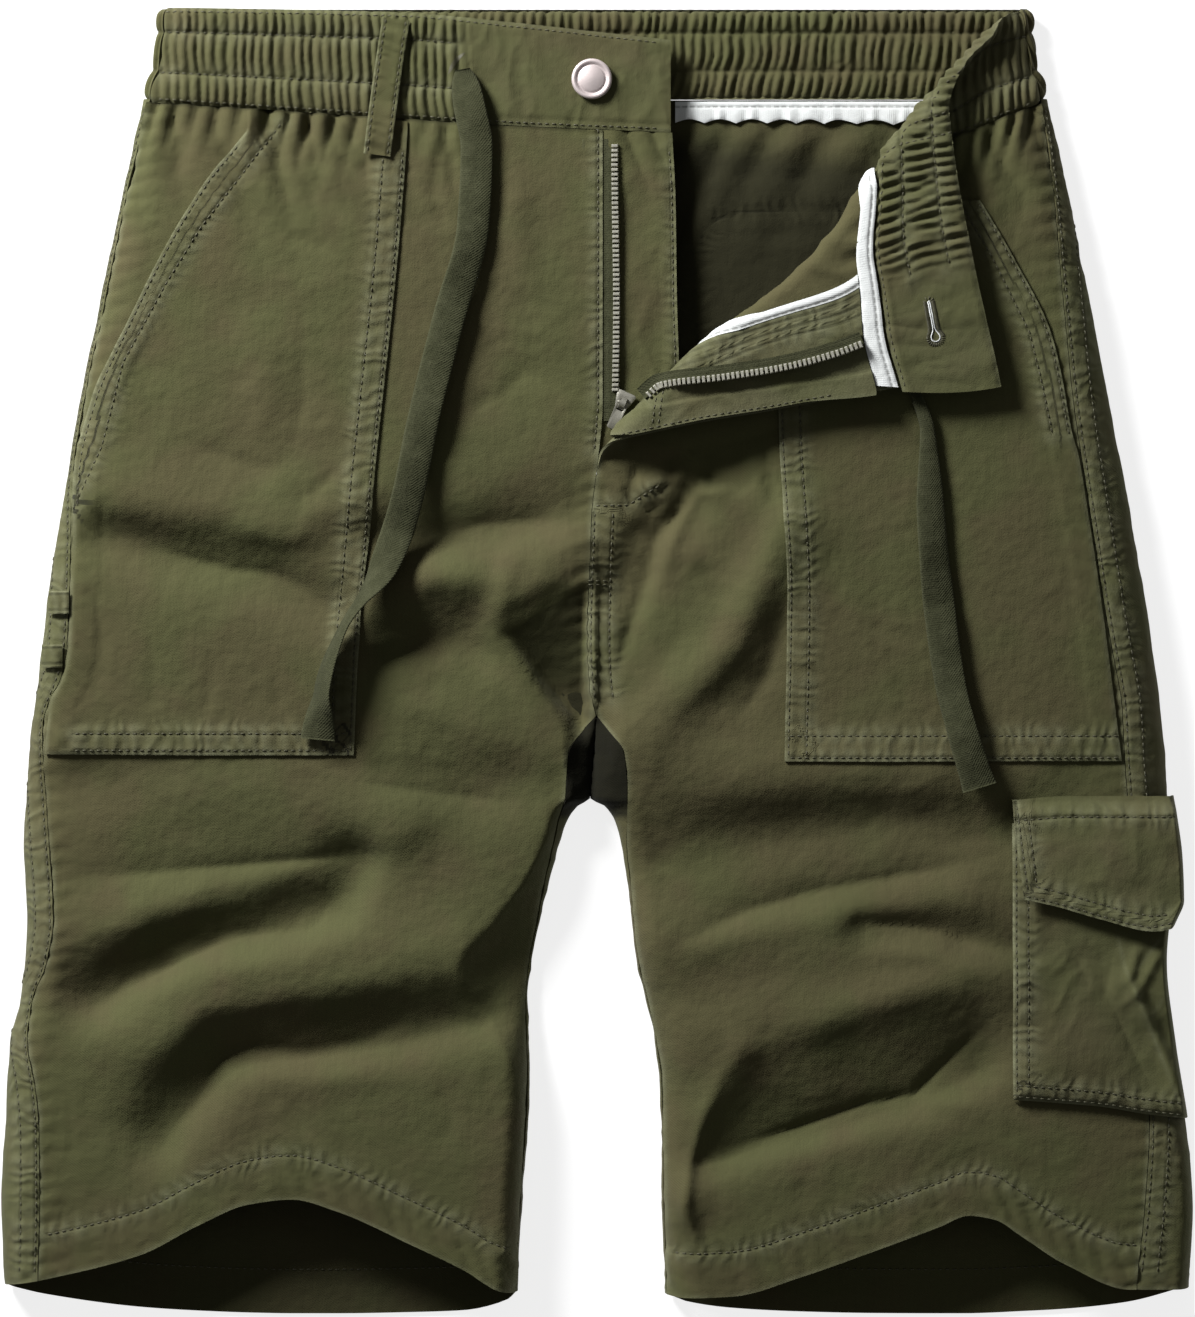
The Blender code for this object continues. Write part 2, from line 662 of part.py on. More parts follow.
def fronts():
    """The two front panels and what is sewn on them."""
    pocket = pocket_outline(True)
    panel = cut_piece(front_outline(True), edge_lines(True) + crease_lines(True), loops=[pocket])
    outer, normals = laid(panel[0], False)
    shell("front_right", outer, normals, panel[1], CLOTH, twill())
    patch("pocket_right", panel, pocket, False, GAP + 1.0, 1.0, twill())

    pocket = pocket_outline(False)
    inner = [facing_outline(False), facing_outline(True), waist_tape_outline()]
    lines = edge_lines(False) + crease_lines(False) + fold_lines()
    panel = cut_piece(front_outline(False), lines, loops=[pocket, *inner])
    outer, normals = laid(panel[0], True)
    shell("front_left", outer, normals, panel[1], CLOTH, twill())
    patch("pocket_left", panel, pocket, True, GAP + 1.0, 1.0, twill())
    names = ("fly_facing", twill()), ("facing_tape", white_tape()), ("waist_tape_left", white_tape())
    for (name, finish), outline in zip(names, inner):
        patch(name, panel, outline, True, -CLOTH - GAP, TAPE, finish)


def band_piece(name, right):
    """A front waistband piece between the waist seam and the top edge."""
    side = "right" if right else "left"
    waist = WAIST_RIGHT if right else WAIST_LEFT
    inward = GAP / 2 if right else -GAP / 2
    xs = waist_xs(right)
    seam = [(float(x), float(waist("seam", x)) + GAP / 2) for x in xs]
    top = [(float(x), float(waist("top", x))) for x in xs]
    if not right:
        seam.insert(0, (BAND_END_LEFT, float(waist("seam", BAND_END_LEFT)) + GAP / 2))
    end = [(float(SIDES("seam_" + side, y)) + inward, y) for y in BAND_LEVELS]
    outline = seam + end[::-1] + top[::-1] if not right else seam[::-1] + end[::-1] + top
    flat, faces = cut_piece(outline, () if right else fold_lines())
    outer, normals = laid(flat, not right)
    shell(name, outer, normals, faces, BAND, twill())


def over_pocket(x, y):
    """How far the back panel is lifted where the back pocket lies under it."""
    low_x, high_x, low_y, high_y = BACK_POCKET
    across = np.clip(np.minimum(x - low_x + 7, high_x + 8 - x) / 6, 0, 1)
    down = np.clip(np.minimum(y - low_y + 13, high_y + 13 - y) / 7, 0, 1)
    return (BACK_POCKET_THICK + GAP) * across * down


def wrap_points(y, right):
    """Section of a back panel from its outer rounding up over the edge to the side seam, as x and z."""
    side = "right" if right else "left"
    sign = -1 if right else 1
    edge = float(SIDES("side_" + side, y))
    depth = abs(edge - float(SIDES("seam_" + side, y)))
    a = 0.85
    points = [(edge - sign * EDGE, 0.0), (edge - sign * EDGE * (1 - math.sin(a)), EDGE * (1 - math.cos(a)))]
    points.append((edge, EDGE))
    for away in (0.15 * depth, 0.5 * depth, depth - GAP / 2):
        x = edge - sign * away
        points.append((x, float(top_height(x, y))))
    return points


def section(y, right):
    """Outer skin of a back panel at level y, from its inner edge to the side seam."""
    side = "right" if right else "left"
    sign = -1 if right else 1
    rolled = y <= ARCH
    start, run, sway = CENTRE_SWAY
    centre = float(LEGS("inner_" + side, y)) if rolled else sway * min(1.0, max(0.0, (start - y) / run))
    if y >= ARCH:
        centre += sign * GAP / 2
    a = 0.75
    points = [
        (centre, EDGE if rolled else 0.0),
        (centre + sign * EDGE * (1 - math.cos(a)), EDGE * (1 - math.sin(a)) if rolled else 0.0),
        (centre + sign * EDGE, 0.0),
    ]
    points += [(sign * x, 0.0 if right else float(over_pocket(x, y))) for x in BACK_COLUMNS[side]]
    return points + wrap_points(y, right)


def flank(y, right):
    """The part of a back panel inside the inseam: the groove's wall above the arch, the leg's side below."""
    side = "right" if right else "left"
    sign = -1 if right else 1
    inner = float(LEGS("inner_" + side, y))
    if y >= ARCH:
        inner += sign * GAP / 2
    seam = float(LEGS("inseam_" + side, y)) - sign * GAP / 2
    points = []
    for part in (1.0, 0.5, 0.2):
        x = inner + (seam - inner) * part
        points.append((x, float(top_height(x, y))))
    points.append((inner, float(GROOVE("height", y)) if y > ARCH else EDGE))
    return points


def mesh_normals(verts, faces):
    """Normals of a skin's points as its mesh gives them."""
    made = bpy.data.meshes.new("skin")
    made.from_pydata([tuple(v) for v in verts], [], faces)
    normals = np.array([tuple(v.normal) for v in made.vertices])
    bpy.data.meshes.remove(made)
    return normals


def skin_normals(verts, faces):
    """Normals of a skin's points: the height field's own where they lie on it, the mesh's elsewhere."""
    normals = mesh_normals(verts, faces)
    x, y, z = verts.T
    on_top = (z > EDGE + 0.01) & (np.abs(top_height(x, y) - z) < 0.01)
    field = normals_of(lambda a, b: folded(a, b, False), x, y)
    normals[on_top] = field[on_top]
    return normals


def back_panel(right):
    """A back as one sheet: the ground layer and its wraps, joined to the groove's wall below the arch."""
    side = "right" if right else "left"
    hem = HEM_RIGHT if right else HEM_LEFT
    levels = [BACK_WAIST - GAP / 2, *UPPER_LEVELS, *ARCH_LEVELS, *LOWER_LEVELS, HEM_LEVEL]
    ground = [section(y, right) for y in levels]
    walls = {y: flank(y, right) for y in (*WALL_LEVELS, *LOWER_LEVELS, HEM_LEVEL)}
    verts, index = [], {}

    def put(key, x, y, z):
        index[key] = len(verts)
        verts.append((x, y, z))

    for level, points in zip(levels, ground):
        for column, (x, z) in enumerate(points):
            at = float(hem("back", x)) if level == HEM_LEVEL else level
            put(("ground", level, column), x, at, float(top_height(x, at)) if z > EDGE + 0.01 else z)
    for level, points in walls.items():
        for column, (x, z) in enumerate(points):
            if column == 3 and level <= ARCH:
                index["wall", level, 3] = index["ground", level, 0]
                continue
            at = float(hem("back", x)) if level == HEM_LEVEL else level
            put(("wall", level, column), x, at, float(top_height(x, at)) if z > EDGE + 0.01 else z)
    faces = []
    for kind, rows, columns in (("ground", levels, len(ground[0])), ("wall", list(walls), 4)):
        for above, below in zip(rows, rows[1:]):
            for c in range(columns - 1):
                corners = ((above, c), (above, c + 1), (below, c + 1), (below, c))
                quad = [index[kind, level, column] for level, column in corners]
                faces.append(tuple(reversed(quad)) if right else tuple(quad))
    verts = np.array(verts)
    shell("back_" + side, verts, skin_normals(verts, faces), faces, CLOTH, twill())


def back_pocket():
    """A flat patch with rounded lower corners, under the left back."""
    low_x, high_x, low_y, high_y = BACK_POCKET
    corner = BACK_POCKET_CORNER
    outline = [(high_x, high_y), (low_x, high_y)]
    for cx, start in ((low_x + corner, math.pi), (high_x - corner, 1.5 * math.pi)):
        for i in range(5):
            angle = start + math.pi / 2 * i / 4
            outline.append((cx + corner * math.cos(angle), low_y + corner + corner * math.sin(angle)))
    flat, faces = cut_piece(outline, cell=40)
    outer = np.column_stack([flat, np.zeros(len(flat))])
    faces = [tuple(reversed(face)) for face in faces]
    shell("back_pocket", outer, np.tile((0, 0, -1.0), (len(flat), 1)), faces, BACK_POCKET_THICK, twill())


def back_band():
    """The back waistband: along the ground, and up round both sides to the side seams."""
    rows = []
    for y in BAND_LEVELS:
        flat = [(x, 0.0) for x in BACK_BAND_COLUMNS]
        rows.append([(x, y, z) for x, z in wrap_points(y, True)[::-1] + flat + wrap_points(y, False)])
    verts = np.array([p for row in rows for p in row])
    faces = grid_faces(len(rows), len(rows[0]))
    shell("waistband_back", verts, skin_normals(verts, faces), faces, BAND, twill())


def height_over(names, from_above=60.0):
    """Height of the highest of these objects under a point, looking down from a level or a function."""
    trees = []
    for name in names:
        mesh = bpy.data.objects[name].data
        polygons = [tuple(p.vertices) for p in mesh.polygons]
        trees.append(BVHTree.FromPolygons([v.co for v in mesh.vertices], polygons))

    def height(x, y):
        start = from_above if isinstance(from_above, float) else from_above(x, y)
        best = 0.0
        for tree in trees:
            hit = tree.ray_cast(Vector((x, y, start)) * MM, Vector((0, 0, -1)))[0]
            if hit:
                best = max(best, hit.z / MM)
        return best

    return height


def highest_near(height, x, y, reach):
    """The highest level within reach of a point."""
    around = [(0, 0), *((math.cos(a), math.sin(a)) for a in np.arange(8) * math.pi / 4)]
    return max(height(x + reach * dx, y + reach * dy) for dx, dy in around)


def even_line(line, spacing):
    """Stations along a smooth curve through the points of a line, with their directions."""
    line = np.array(line, float)
    reach = np.concatenate([[0], np.cumsum(np.hypot(*np.diff(line, axis=0).T))])
    curve = Table("s x y", *((r, *point) for r, point in zip(reach, line)))
    at = spaced(0, reach[-1], spacing)
    points = np.column_stack([curve("x", at), curve("y", at)])
    ahead = np.gradient(points, axis=0)
    return points, ahead / np.linalg.norm(ahead, axis=1, keepdims=True)


def ribbon(name, points, ahead, width, levels, thick, finish):
    """A flat tape along stations: its top at the given levels, level across."""
    across = np.column_stack([-ahead[:, 1], ahead[:, 0]])
    verts = []
    for point, side, half, level in zip(points, across, np.broadcast_to(width, len(points)) / 2, levels):
        verts += [(*(point + side * half * f), level) for f in (-1, 1)]
    faces = [tuple(reversed(f)) for f in grid_faces(len(points), 2)]
    shell(name, verts, mesh_normals(verts, faces), faces, thick, finish)


def cargo_skin(x, y, edge, under, rise):
    """A point of a cargo piece: on what is under it, and rolled down towards its own outer edge."""
    away = float(CARGO(edge, y)) - x
    level = highest_near(under, min(x, float(SIDES("side_left", y)) - 12.0), y, 8.0) + rise
    return (x, y, EDGE + (level - EDGE) * float(ease(away / 14.0)))


def cargo_piece(name, edge, left, top, foot, rise, on, hang):
    """A cargo piece as a grid from its left edge to its outer edge, hung down there towards the ground."""
    under = height_over(on)
    columns = (0, 0.18, 0.4, 0.62, 0.8, 0.9, 0.97, 1.0)
    downs = (0, 0.2, 0.4, 0.6, 0.8, 1.0)
    verts = []
    for down in downs:
        start = left(down)
        for part in columns:
            rough = start + (240 - start) * part
            y = float(top(rough) + (foot(rough) - top(rough)) * down)
            x = start + (float(CARGO(edge, y)) - start) * part
            verts.append(cargo_skin(x, y, edge, under, rise(x, y)))
        if hang:
            verts.append((verts[-1][0] - 0.4, verts[-1][1], 0.6))
    faces = [tuple(reversed(f)) for f in grid_faces(len(downs), len(columns) + hang)]
    shell(name, verts, mesh_normals(verts, faces), faces, CARGO_CLOTH, twill())


def pocket_rise(x, y):
    """How far the cargo pocket stands off the leg: puffed up away from its sewn edges."""
    near = min((x - CARGO_LEFT) / 26.0, (y - float(CARGO_FOOT("y", x))) / 26.0)
    return GAP + CARGO_CLOTH + CARGO_PUFF * float(ease(near))


def flap_rise(x, y):
    """How far the flap stands off what is under it, more towards its free edge."""
    return GAP + CARGO_CLOTH + float(FLAP_LIFT("lift", y))


def flap_left(down):
    """The flap's left edge, leaning out a little towards its foot."""
    return float(np.interp(down, (0, 0.5, 1), FLAP_LEFT))


def cargo():
    """The cargo pocket, puffed up off the leg and rolled over its outline, and the flap over its mouth."""
    cargo_piece(
        "cargo_pocket", "pocket", lambda down: CARGO_LEFT, lambda x: CARGO_TOP, lambda x: CARGO_FOOT("y", x),
        pocket_rise, ["front_left", "back_left"], 1,
    )
    cargo_piece(
        "cargo_flap", "flap", flap_left, lambda x: FLAP_TOP("y", x), lambda x: FLAP_FOOT("y", x),
        flap_rise, ["front_left", "back_left", "cargo_pocket"], 0,
    )


def loops():
    """The belt loop over the waist seam, and the two small loops at the right side seam."""
    points, ahead = even_line(BELT_LOOP, 8)
    over = height_over(["waistband_right", "front_right", "pocket_right"])
    levels = [highest_near(over, *p, BELT_LOOP_WIDTH / 2) + GAP + 1.3 for p in points]
    ribbon("belt_loop", points, ahead, BELT_LOOP_WIDTH, levels, 1.2, twill())
    over = height_over(["front_right", "back_right", "pocket_right"])
    for name, x, y in SIDE_LOOPS:
        length, width = SIDE_LOOP_SIZE
        stations = np.array([(x - length / 2 + length * i / 4, y) for i in range(5)])
        levels = []
        for i, p in enumerate(stations):
            near = [(dx, dy) for dx in (-1.2, 0, 1.2) for dy in (-width / 2, 0, width / 2)]
            ground = max(over(p[0] + dx, p[1] + dy) for dx, dy in near)
            levels.append(ground + GAP + 1.2 + 1.6 * math.sin(math.pi * i / 4))
        ribbon(name, stations, np.tile((1.0, 0.0), (5, 1)), width, levels, 1.0, twill())


def drawstrings():
    """Two free ends of flat tape. The right one lies on the band and leg, the left one leaves under the band."""
    routes = (
        ("drawstring_right", STRING_RIGHT, height_over(["waistband_right", "front_right", "pocket_right"])),
        (
            "drawstring_left",
            STRING_LEFT,
            height_over(["front_left", "pocket_left"], lambda x, y: float(top_height(x, y)) + 5.0),
        ),
    )
    for name, route, over in routes:
        points, ahead = even_line(route, 12)
        levels = [highest_near(over, *p, STRING_WIDTH / 2 + 1) + GAP + STRING_THICK + 0.2 for p in points]
        ribbon(name, points, ahead, STRING_WIDTH, levels, STRING_THICK, webbing())


def strip_on(name, levels, left, right, columns, lift, thick, finish):
    """A strip between two edges on the unfolded surface of the front."""
    flat = np.array([(x, y) for y in levels for x in np.linspace(left(y), right(y), columns)])
    outer, normals = laid(flat, False, lift)
    faces = [tuple(reversed(f)) for f in grid_faces(len(levels), columns)]
    shell(name, outer, normals, faces, thick, finish)


def fly():
    """The shield behind the zip, the two zip tapes, and the seam tape inside the back waist."""
    sides = (lambda y: float(SHIELD("left", y)), lambda y: float(SHIELD("right", y)))
    strip_on("fly_shield", spaced(219, 99, 16), *sides, 4, SHIELD_LIFT, 1.0, twill())
    sides = (lambda y: ZIP_RIGHT_EDGE, lambda y: ZIP_RIGHT_EDGE + ZIP_TAPE_WIDTH)
    strip_on("zip_tape_right", spaced(218, 100, 16), *sides, 2, ZIP_RIGHT_LIFT, TAPE, webbing())
    points, ahead = even_line(ZIP_LEFT, 9)
    over = height_over(["front_left", "fly_facing", "facing_tape", "fly_shield"])
    levels = []
    for i, p in enumerate(points):
        ramp = float(top_height(*p)) + 1.5 + 8.0 * min(1.0, i / 3)
        levels.append(max(highest_near(over, *p, ZIP_TAPE_WIDTH) + GAP + TAPE, ramp if i < 3 else 0.0))
    ribbon("zip_tape_left", points, ahead, ZIP_TAPE_WIDTH, levels, TAPE, webbing())
    flat = np.array([(x, y) for y in BACK_TAPE_LEVELS for x in spaced(*BACK_TAPE_ENDS, 20)])
    count = len(flat) // 2
    outer = np.column_stack([flat, np.full(len(flat), CLOTH + GAP + TAPE)])
    faces = [tuple(reversed(f)) for f in grid_faces(2, count)]
    shell("waist_tape_back", outer, np.tile((0, 0, 1.0), (len(flat), 1)), faces, TAPE, white_tape())


def block(low, high):
    """Corners and faces of a box."""
    corners = [(x, y, z) for z in (low[2], high[2]) for y in (low[1], high[1]) for x in (low[0], high[0])]
    faces = [(0, 2, 3, 1), (4, 5, 7, 6), (0, 1, 5, 4), (2, 6, 7, 3), (0, 4, 6, 2), (1, 3, 7, 5)]
    return corners, faces


def joined_blocks(name, boxes, finish):
    """Boxes united into one solid by Boolean unions, in millimetres about the object's own origin."""
    made = []
    for i, (low, high) in enumerate(boxes):
        made.append(add_object(name if i == 0 else f"{name}_part", *block(low, high), finish))
    for other in made[1:]:
        union = made[0].modifiers.new("join", "BOOLEAN")
        union.operation = "UNION"
        union.object = other
    bpy.context.view_layer.update()
    graph = bpy.context.evaluated_depsgraph_get()
    mesh = bpy.data.meshes.new_from_object(made[0].evaluated_get(graph))
    made[0].modifiers.clear()
    made[0].data = mesh
    for other in made[1:]:
        bpy.data.objects.remove(other, do_unlink=True)
    return made[0]


def zip_slider():
    """Slider with a bridge, and the pull tab whose crossbar turns under it. The tab lies on the cloth."""
    x, y = SLIDER_AT
    over = height_over(["front_right", "zip_tape_right", "fly_shield"])
    seat = max(over(x + dx, y + dy) for dx in (-4, 0, 4) for dy in (-5, 0, 5)) + GAP
    slider = joined_blocks(
        "zip_slider",
        (
            ((-4.0, -3.0, 0.0), (4.0, 4.8, 1.0)),
            ((-1.1, -2.2, 0.8), (1.1, -1.4, 3.8)),
            ((-1.1, 1.4, 0.8), (1.1, 2.2, 3.8)),
            ((-1.1, -2.2, 3.0), (1.1, 2.2, 3.8)),
        ),
        nickel(),
    )
    slider.location = Vector((x, y, seat)) * MM
    slider.rotation_euler = (0, 0, PULL_TURN)
    half = TAB_WIDTH / 2
    tab = joined_blocks(
        "zip_pull_tab",
        (
            ((-half, -0.45, -0.45), (half, 0.45, 0.45)),
            ((-half, -3.6, -0.45), (-half + 0.95, 0.45, 0.45)),
            ((half - 0.95, -3.6, -0.45), (half, 0.45, 0.45)),
            ((-half, -TAB_LENGTH, -0.45), (half, -3.2, 0.45)),
        ),
        nickel(),
    )
    tab.location = Vector((x, y, seat + 2.2)) * MM
    tab.rotation_euler = (PULL_TILT, 0, PULL_TURN)


def button():
    """Jeans button on the flat tab: rim, ring recess and low dome."""
    over = height_over(["waistband_right"])
    seat = highest_near(over, *BUTTON_AT, 6.5) + GAP
    verts = [(0, 0, BUTTON_PROFILE[0][1])]
    rings = BUTTON_PROFILE[1:-1]
    for radius, z in rings:
        turns = [2 * math.pi * i / BUTTON_SIDES for i in range(BUTTON_SIDES)]
        verts += [(radius * math.cos(a), radius * math.sin(a), z) for a in turns]
    verts.append((0, 0, BUTTON_PROFILE[-1][1]))
    faces = []
    last = len(verts) - 1
    for i in range(BUTTON_SIDES):
        j = (i + 1) % BUTTON_SIDES
        faces.append((0, 1 + j, 1 + i))
        for ring in range(len(rings) - 1):
            a = 1 + ring * BUTTON_SIDES
            faces.append((a + i, a + j, a + BUTTON_SIDES + j, a + BUTTON_SIDES + i))
        a = 1 + (len(rings) - 1) * BUTTON_SIDES
        faces.append((a + i, a + j, last))
    made = add_object("button", verts, faces, nickel())
    made.location = Vector((*BUTTON_AT, seat)) * MM


def clear_scene():
    """Removes the objects that the scene opens with."""
    for item in list(bpy.data.objects):
        bpy.data.objects.remove(item, do_unlink=True)


def main():
    clear_scene()
    fronts()
    band_piece("waistband_right", True)
    band_piece("waistband_left", False)
    back_panel(True)
    back_panel(False)
    back_pocket()
    back_band()
    cargo()
    loops()
    drawstrings()
    fly()
    zip_slider()
    button()


main()
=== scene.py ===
"""Looks of the olive twill cargo shorts, laid flat on their back with the left fly corner folded back.

World frame: +X is the wearer's left, +Y runs to the waist, +Z is up. Tables and sizes are in millimetres,
and meshes are made in metres. Every front piece is cut flat in X and Y and laid on one height field, and
the left front turns back over itself at a curved fold line.
"""

import json
import math

import bpy
import numpy as np
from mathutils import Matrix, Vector
from mathutils.bvhtree import BVHTree

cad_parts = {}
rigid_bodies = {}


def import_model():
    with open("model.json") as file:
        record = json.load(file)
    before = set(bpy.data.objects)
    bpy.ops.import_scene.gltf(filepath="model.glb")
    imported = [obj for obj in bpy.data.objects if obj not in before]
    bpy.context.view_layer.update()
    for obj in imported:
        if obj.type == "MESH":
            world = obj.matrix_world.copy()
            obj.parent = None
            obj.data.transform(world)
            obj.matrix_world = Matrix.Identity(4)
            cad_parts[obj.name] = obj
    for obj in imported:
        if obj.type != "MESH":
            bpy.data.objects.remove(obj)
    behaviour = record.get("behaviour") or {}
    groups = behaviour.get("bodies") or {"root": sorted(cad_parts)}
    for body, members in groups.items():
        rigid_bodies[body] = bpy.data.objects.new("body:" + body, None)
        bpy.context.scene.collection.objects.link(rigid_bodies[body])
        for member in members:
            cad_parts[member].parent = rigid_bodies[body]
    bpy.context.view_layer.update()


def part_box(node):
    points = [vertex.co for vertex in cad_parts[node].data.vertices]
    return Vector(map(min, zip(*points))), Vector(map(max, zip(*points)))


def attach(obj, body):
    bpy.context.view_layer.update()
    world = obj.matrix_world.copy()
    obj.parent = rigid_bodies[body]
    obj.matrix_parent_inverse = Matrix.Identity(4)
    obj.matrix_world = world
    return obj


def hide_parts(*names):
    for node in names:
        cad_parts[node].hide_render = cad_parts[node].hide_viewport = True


bl_info = {
    "name": "Cargo Shorts",
    "version": (1, 0, 0),
    "blender": (4, 5, 0),
    "location": "View3D > Sidebar > Cargo Shorts",
    "description": "Builds twill cargo shorts laid flat, piece by piece, on their frame",
    "category": "Add Mesh",
}

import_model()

MM = 0.001

# Cloth and seams
CLOTH = 1.0
TAPE = 0.6
GAP = 0.3
EDGE = 4.0  # half the thickness of the garment at its outline
HEM_LEVEL = -262.0
ABOVE_ALL = 60.0  # level over every piece, from where points are dropped
LEAST_SIDE = 0.0105  # least side of a cut that is stated, in metres
SIGN = {"right": -1, "left": 1}
SIDE_REACH = 16.0
POCKET_LIFT = 1.3  # outer side of a patch pocket over the panel it is sewn on

# Fold line of the left front
FOLD_FOOT = (1.5, 86.3)
FOLD_HEAD = (146.4, 241.7)
FOLD_RADIUS = 4.5
FOLD_BULGE = 8.6
FOLD_BULGE_AT = 0.57
FOLD_BULGE_WIDTH = 0.2

CROTCH = -23.0
ARCH = -58.0
BACK_WAIST = 235.2


class Table:
    """Rows of named columns. A column runs smoothly between its rows and never overshoots them."""

    def __init__(self, names, *rows):
        self.names = names.split()
        self.rows = np.array(sorted(rows), float)

    def __call__(self, name, at):
        x = self.rows[:, 0]
        y = self.rows[:, self.names.index(name)]
        step = np.diff(x)
        rise = np.diff(y) / step
        slope = np.zeros_like(x)
        same = rise[1:] * rise[:-1] > 0
        slope[1:-1][same] = 2 / (1 / rise[1:][same] + 1 / rise[:-1][same])
        slope[0], slope[-1] = rise[0], rise[-1]
        at = np.clip(at, x[0], x[-1])
        k = np.clip(np.searchsorted(x, at) - 1, 0, len(x) - 2)
        t = (at - x[k]) / step[k]
        s = 1 - t
        return (
            y[k] * s * s * (1 + 2 * t)
            + y[k + 1] * t * t * (3 - 2 * t)
            + slope[k] * step[k] * t * s * s
            - slope[k + 1] * step[k] * t * t * s
        )

    def line(self, name, places, away=0.0):
        """Points in plan of a line beside one of its columns."""
        points = [(float(at), float(self(name, at)) + away) for at in places]
        return [point[::-1] for point in points] if self.names[0] == "y" else points


# The outline and the side seams, which lie on top just inside it
SIDES = Table(
    "y side_right seam_right seam_left side_left",
    (273, -183.3, -180.3, 178.0, 181.6),
    (252, -185.2, -182.2, 181.0, 184.0),
    (234, -189.6, -187.0, 186.0, 188.5),
    (193, -198.4, -196.8, 191.3, 197.6),
    (151, -207.3, -205.2, 194.9, 206.4),
    (109, -215.7, -213.9, 199.0, 214.4),
    (67, -223.2, -219.6, 205.2, 222.6),
    (45, -226.8, -219.6, 208.5, 226.4),
    (25, -230.0, -219.9, 211.5, 230.0),
    (4, -232.5, -221.0, 215.2, 233.0),
    (-8, -233.8, -223.6, 217.5, 234.8),
    (-17, -234.8, -228.6, 219.0, 235.8),
    (-27, -236.0, -231.0, 219.6, 237.0),
    (-42, -237.5, -231.0, 220.3, 238.3),
    (-59, -238.8, -229.7, 221.7, 239.4),
    (-75, -240.0, -228.4, 223.5, 239.8),
    (-92, -239.2, -227.0, 225.3, 240.2),
    (-109, -238.4, -226.1, 226.8, 238.0),
    (-126, -239.2, -229.0, 227.9, 236.4),
    (-143, -240.9, -235.4, 229.1, 236.6),
    (-159, -245.1, -237.0, 229.5, 238.7),
    (-176, -246.8, -234.0, 230.0, 242.6),
    (-193, -247.6, -232.2, 230.3, 246.4),
    (-227, -249.3, -231.8, 228.4, 249.7),
    (-262, -248.0, -232.5, 224.9, 248.0),
    (-276, -246.5, -232.5, 224.5, 246.8),
)

# The inner edges: above the arch, the bottom of the groove between the legs; below it, the leg's outline.
# reach is how far in from that edge the front is still rising.
LEGS = Table(
    "y inseam_right inner_right inner_left inseam_left reach_right reach_left",
    (-23, 0.0, 0.0, 0.0, 0.0, 6, 6),
    (-30, -6.0, -0.5, -0.5, 5.6, 6, 6),
    (-38, -11.8, -1.3, -1.3, 11.4, 11, 12),
    (-50, -12.6, -2.2, -2.2, 12.8, 11, 15),
    (-57, -13.0, -2.65, -2.65, 12.9, 11, 15),
    (-58, -13.2, -2.7, -2.7, 12.9, 11, 15),
    (-60.7, -14.0, -7.8, 3.1, 12.9, 11, 14),
    (-63.6, -15.0, -10.6, 5.5, 12.9, 11, 12),
    (-67, -16.0, -12.4, 7.5, 12.9, 10, 11),
    (-75, -17.8, -15.3, 10.3, 12.9, 10, 10),
    (-92, -21.6, -20.0, 13.2, 14.4, 10, 10),
    (-109, -25.0, -24.2, 14.9, 15.7, 11, 10),
    (-126, -28.3, -27.5, 17.0, 17.8, 12, 12),
    (-143, -29.6, -28.8, 20.8, 21.6, 11, 20),
    (-160, -29.4, -28.6, 24.7, 25.5, 10, 26),
    (-176, -29.2, -28.4, 26.7, 27.5, 10, 26),
    (-200, -30.3, -29.5, 27.2, 28.0, 10, 14),
    (-227, -32.1, -31.3, 27.5, 28.3, 10, 10),
    (-262, -33.8, -33.0, 28.9, 29.7, 10, 14),
    (-276, -34.4, -33.6, 29.3, 30.1, 10, 14),
)

# Centre front: the fly edges down to the foot of the fly, then the seam. The left edge is given unfolded.
FRONT_EDGE = Table(
    "y right left",
    (274, 2.7, 44.0),
    (247, 2.7, 38.0),
    (202, 2.7, 25.8),
    (179, 2.7, 17.3),
    (157, 2.7, 11.2),
    (132, 2.7, 7.6),
    (107, 2.7, 3.8),
    (86, 1.0, 1.0),
    (60, -2.0, -2.0),
    (9, -3.5, -3.5),
    (-12, -2.5, -2.5),
    (-23, 0.0, 0.0),
)

# Height of the upper layer away from its edges
CROWN = Table(
    "y height",
    (274, 9.8),
    (236, 10.6),
    (210, 12.0),
    (180, 13.4),
    (100, 15.0),
    (0, 17.0),
    (-100, 18.0),
    (-200, 21.0),
    (-276, 22.0),
)

# Floor of the groove between the legs
GROOVE = Table("y height", (-23, 12.0), (-29, 8.5), (-38, 5.5), (-50, 4.6), (-58, EDGE))

# Flat facets that fall away to the groove and to the right leg's inner edge: their reach and their drop
FACETS = Table(
    "y right left drop_right drop_left",
    (60, 4, 4, 0.0, 0.0),
    (30, 6, 8, 0.0, 1.0),
    (0, 8, 9, 0.0, 2.0),
    (-17, 9, 10, 2.0, 3.5),
    (-28, 9, 11, 5.0, 5.0),
    (-42, 8, 9, 5.0, 3.0),
    (-60, 8, 6, 5.0, 1.0),
    (-75, 6, 4, 4.0, 0.0),
    (-92, 11, 4, 5.5, 0.0),
    (-109, 20, 4, 9.0, 0.0),
    (-127, 31, 4, 12.0, 0.0),
    (-143, 21, 4, 9.0, 0.0),
    (-160, 11, 4, 5.0, 0.0),
    (-180, 4, 4, 1.5, 0.0),
    (-200, 1, 1, 0.0, 0.0),
)

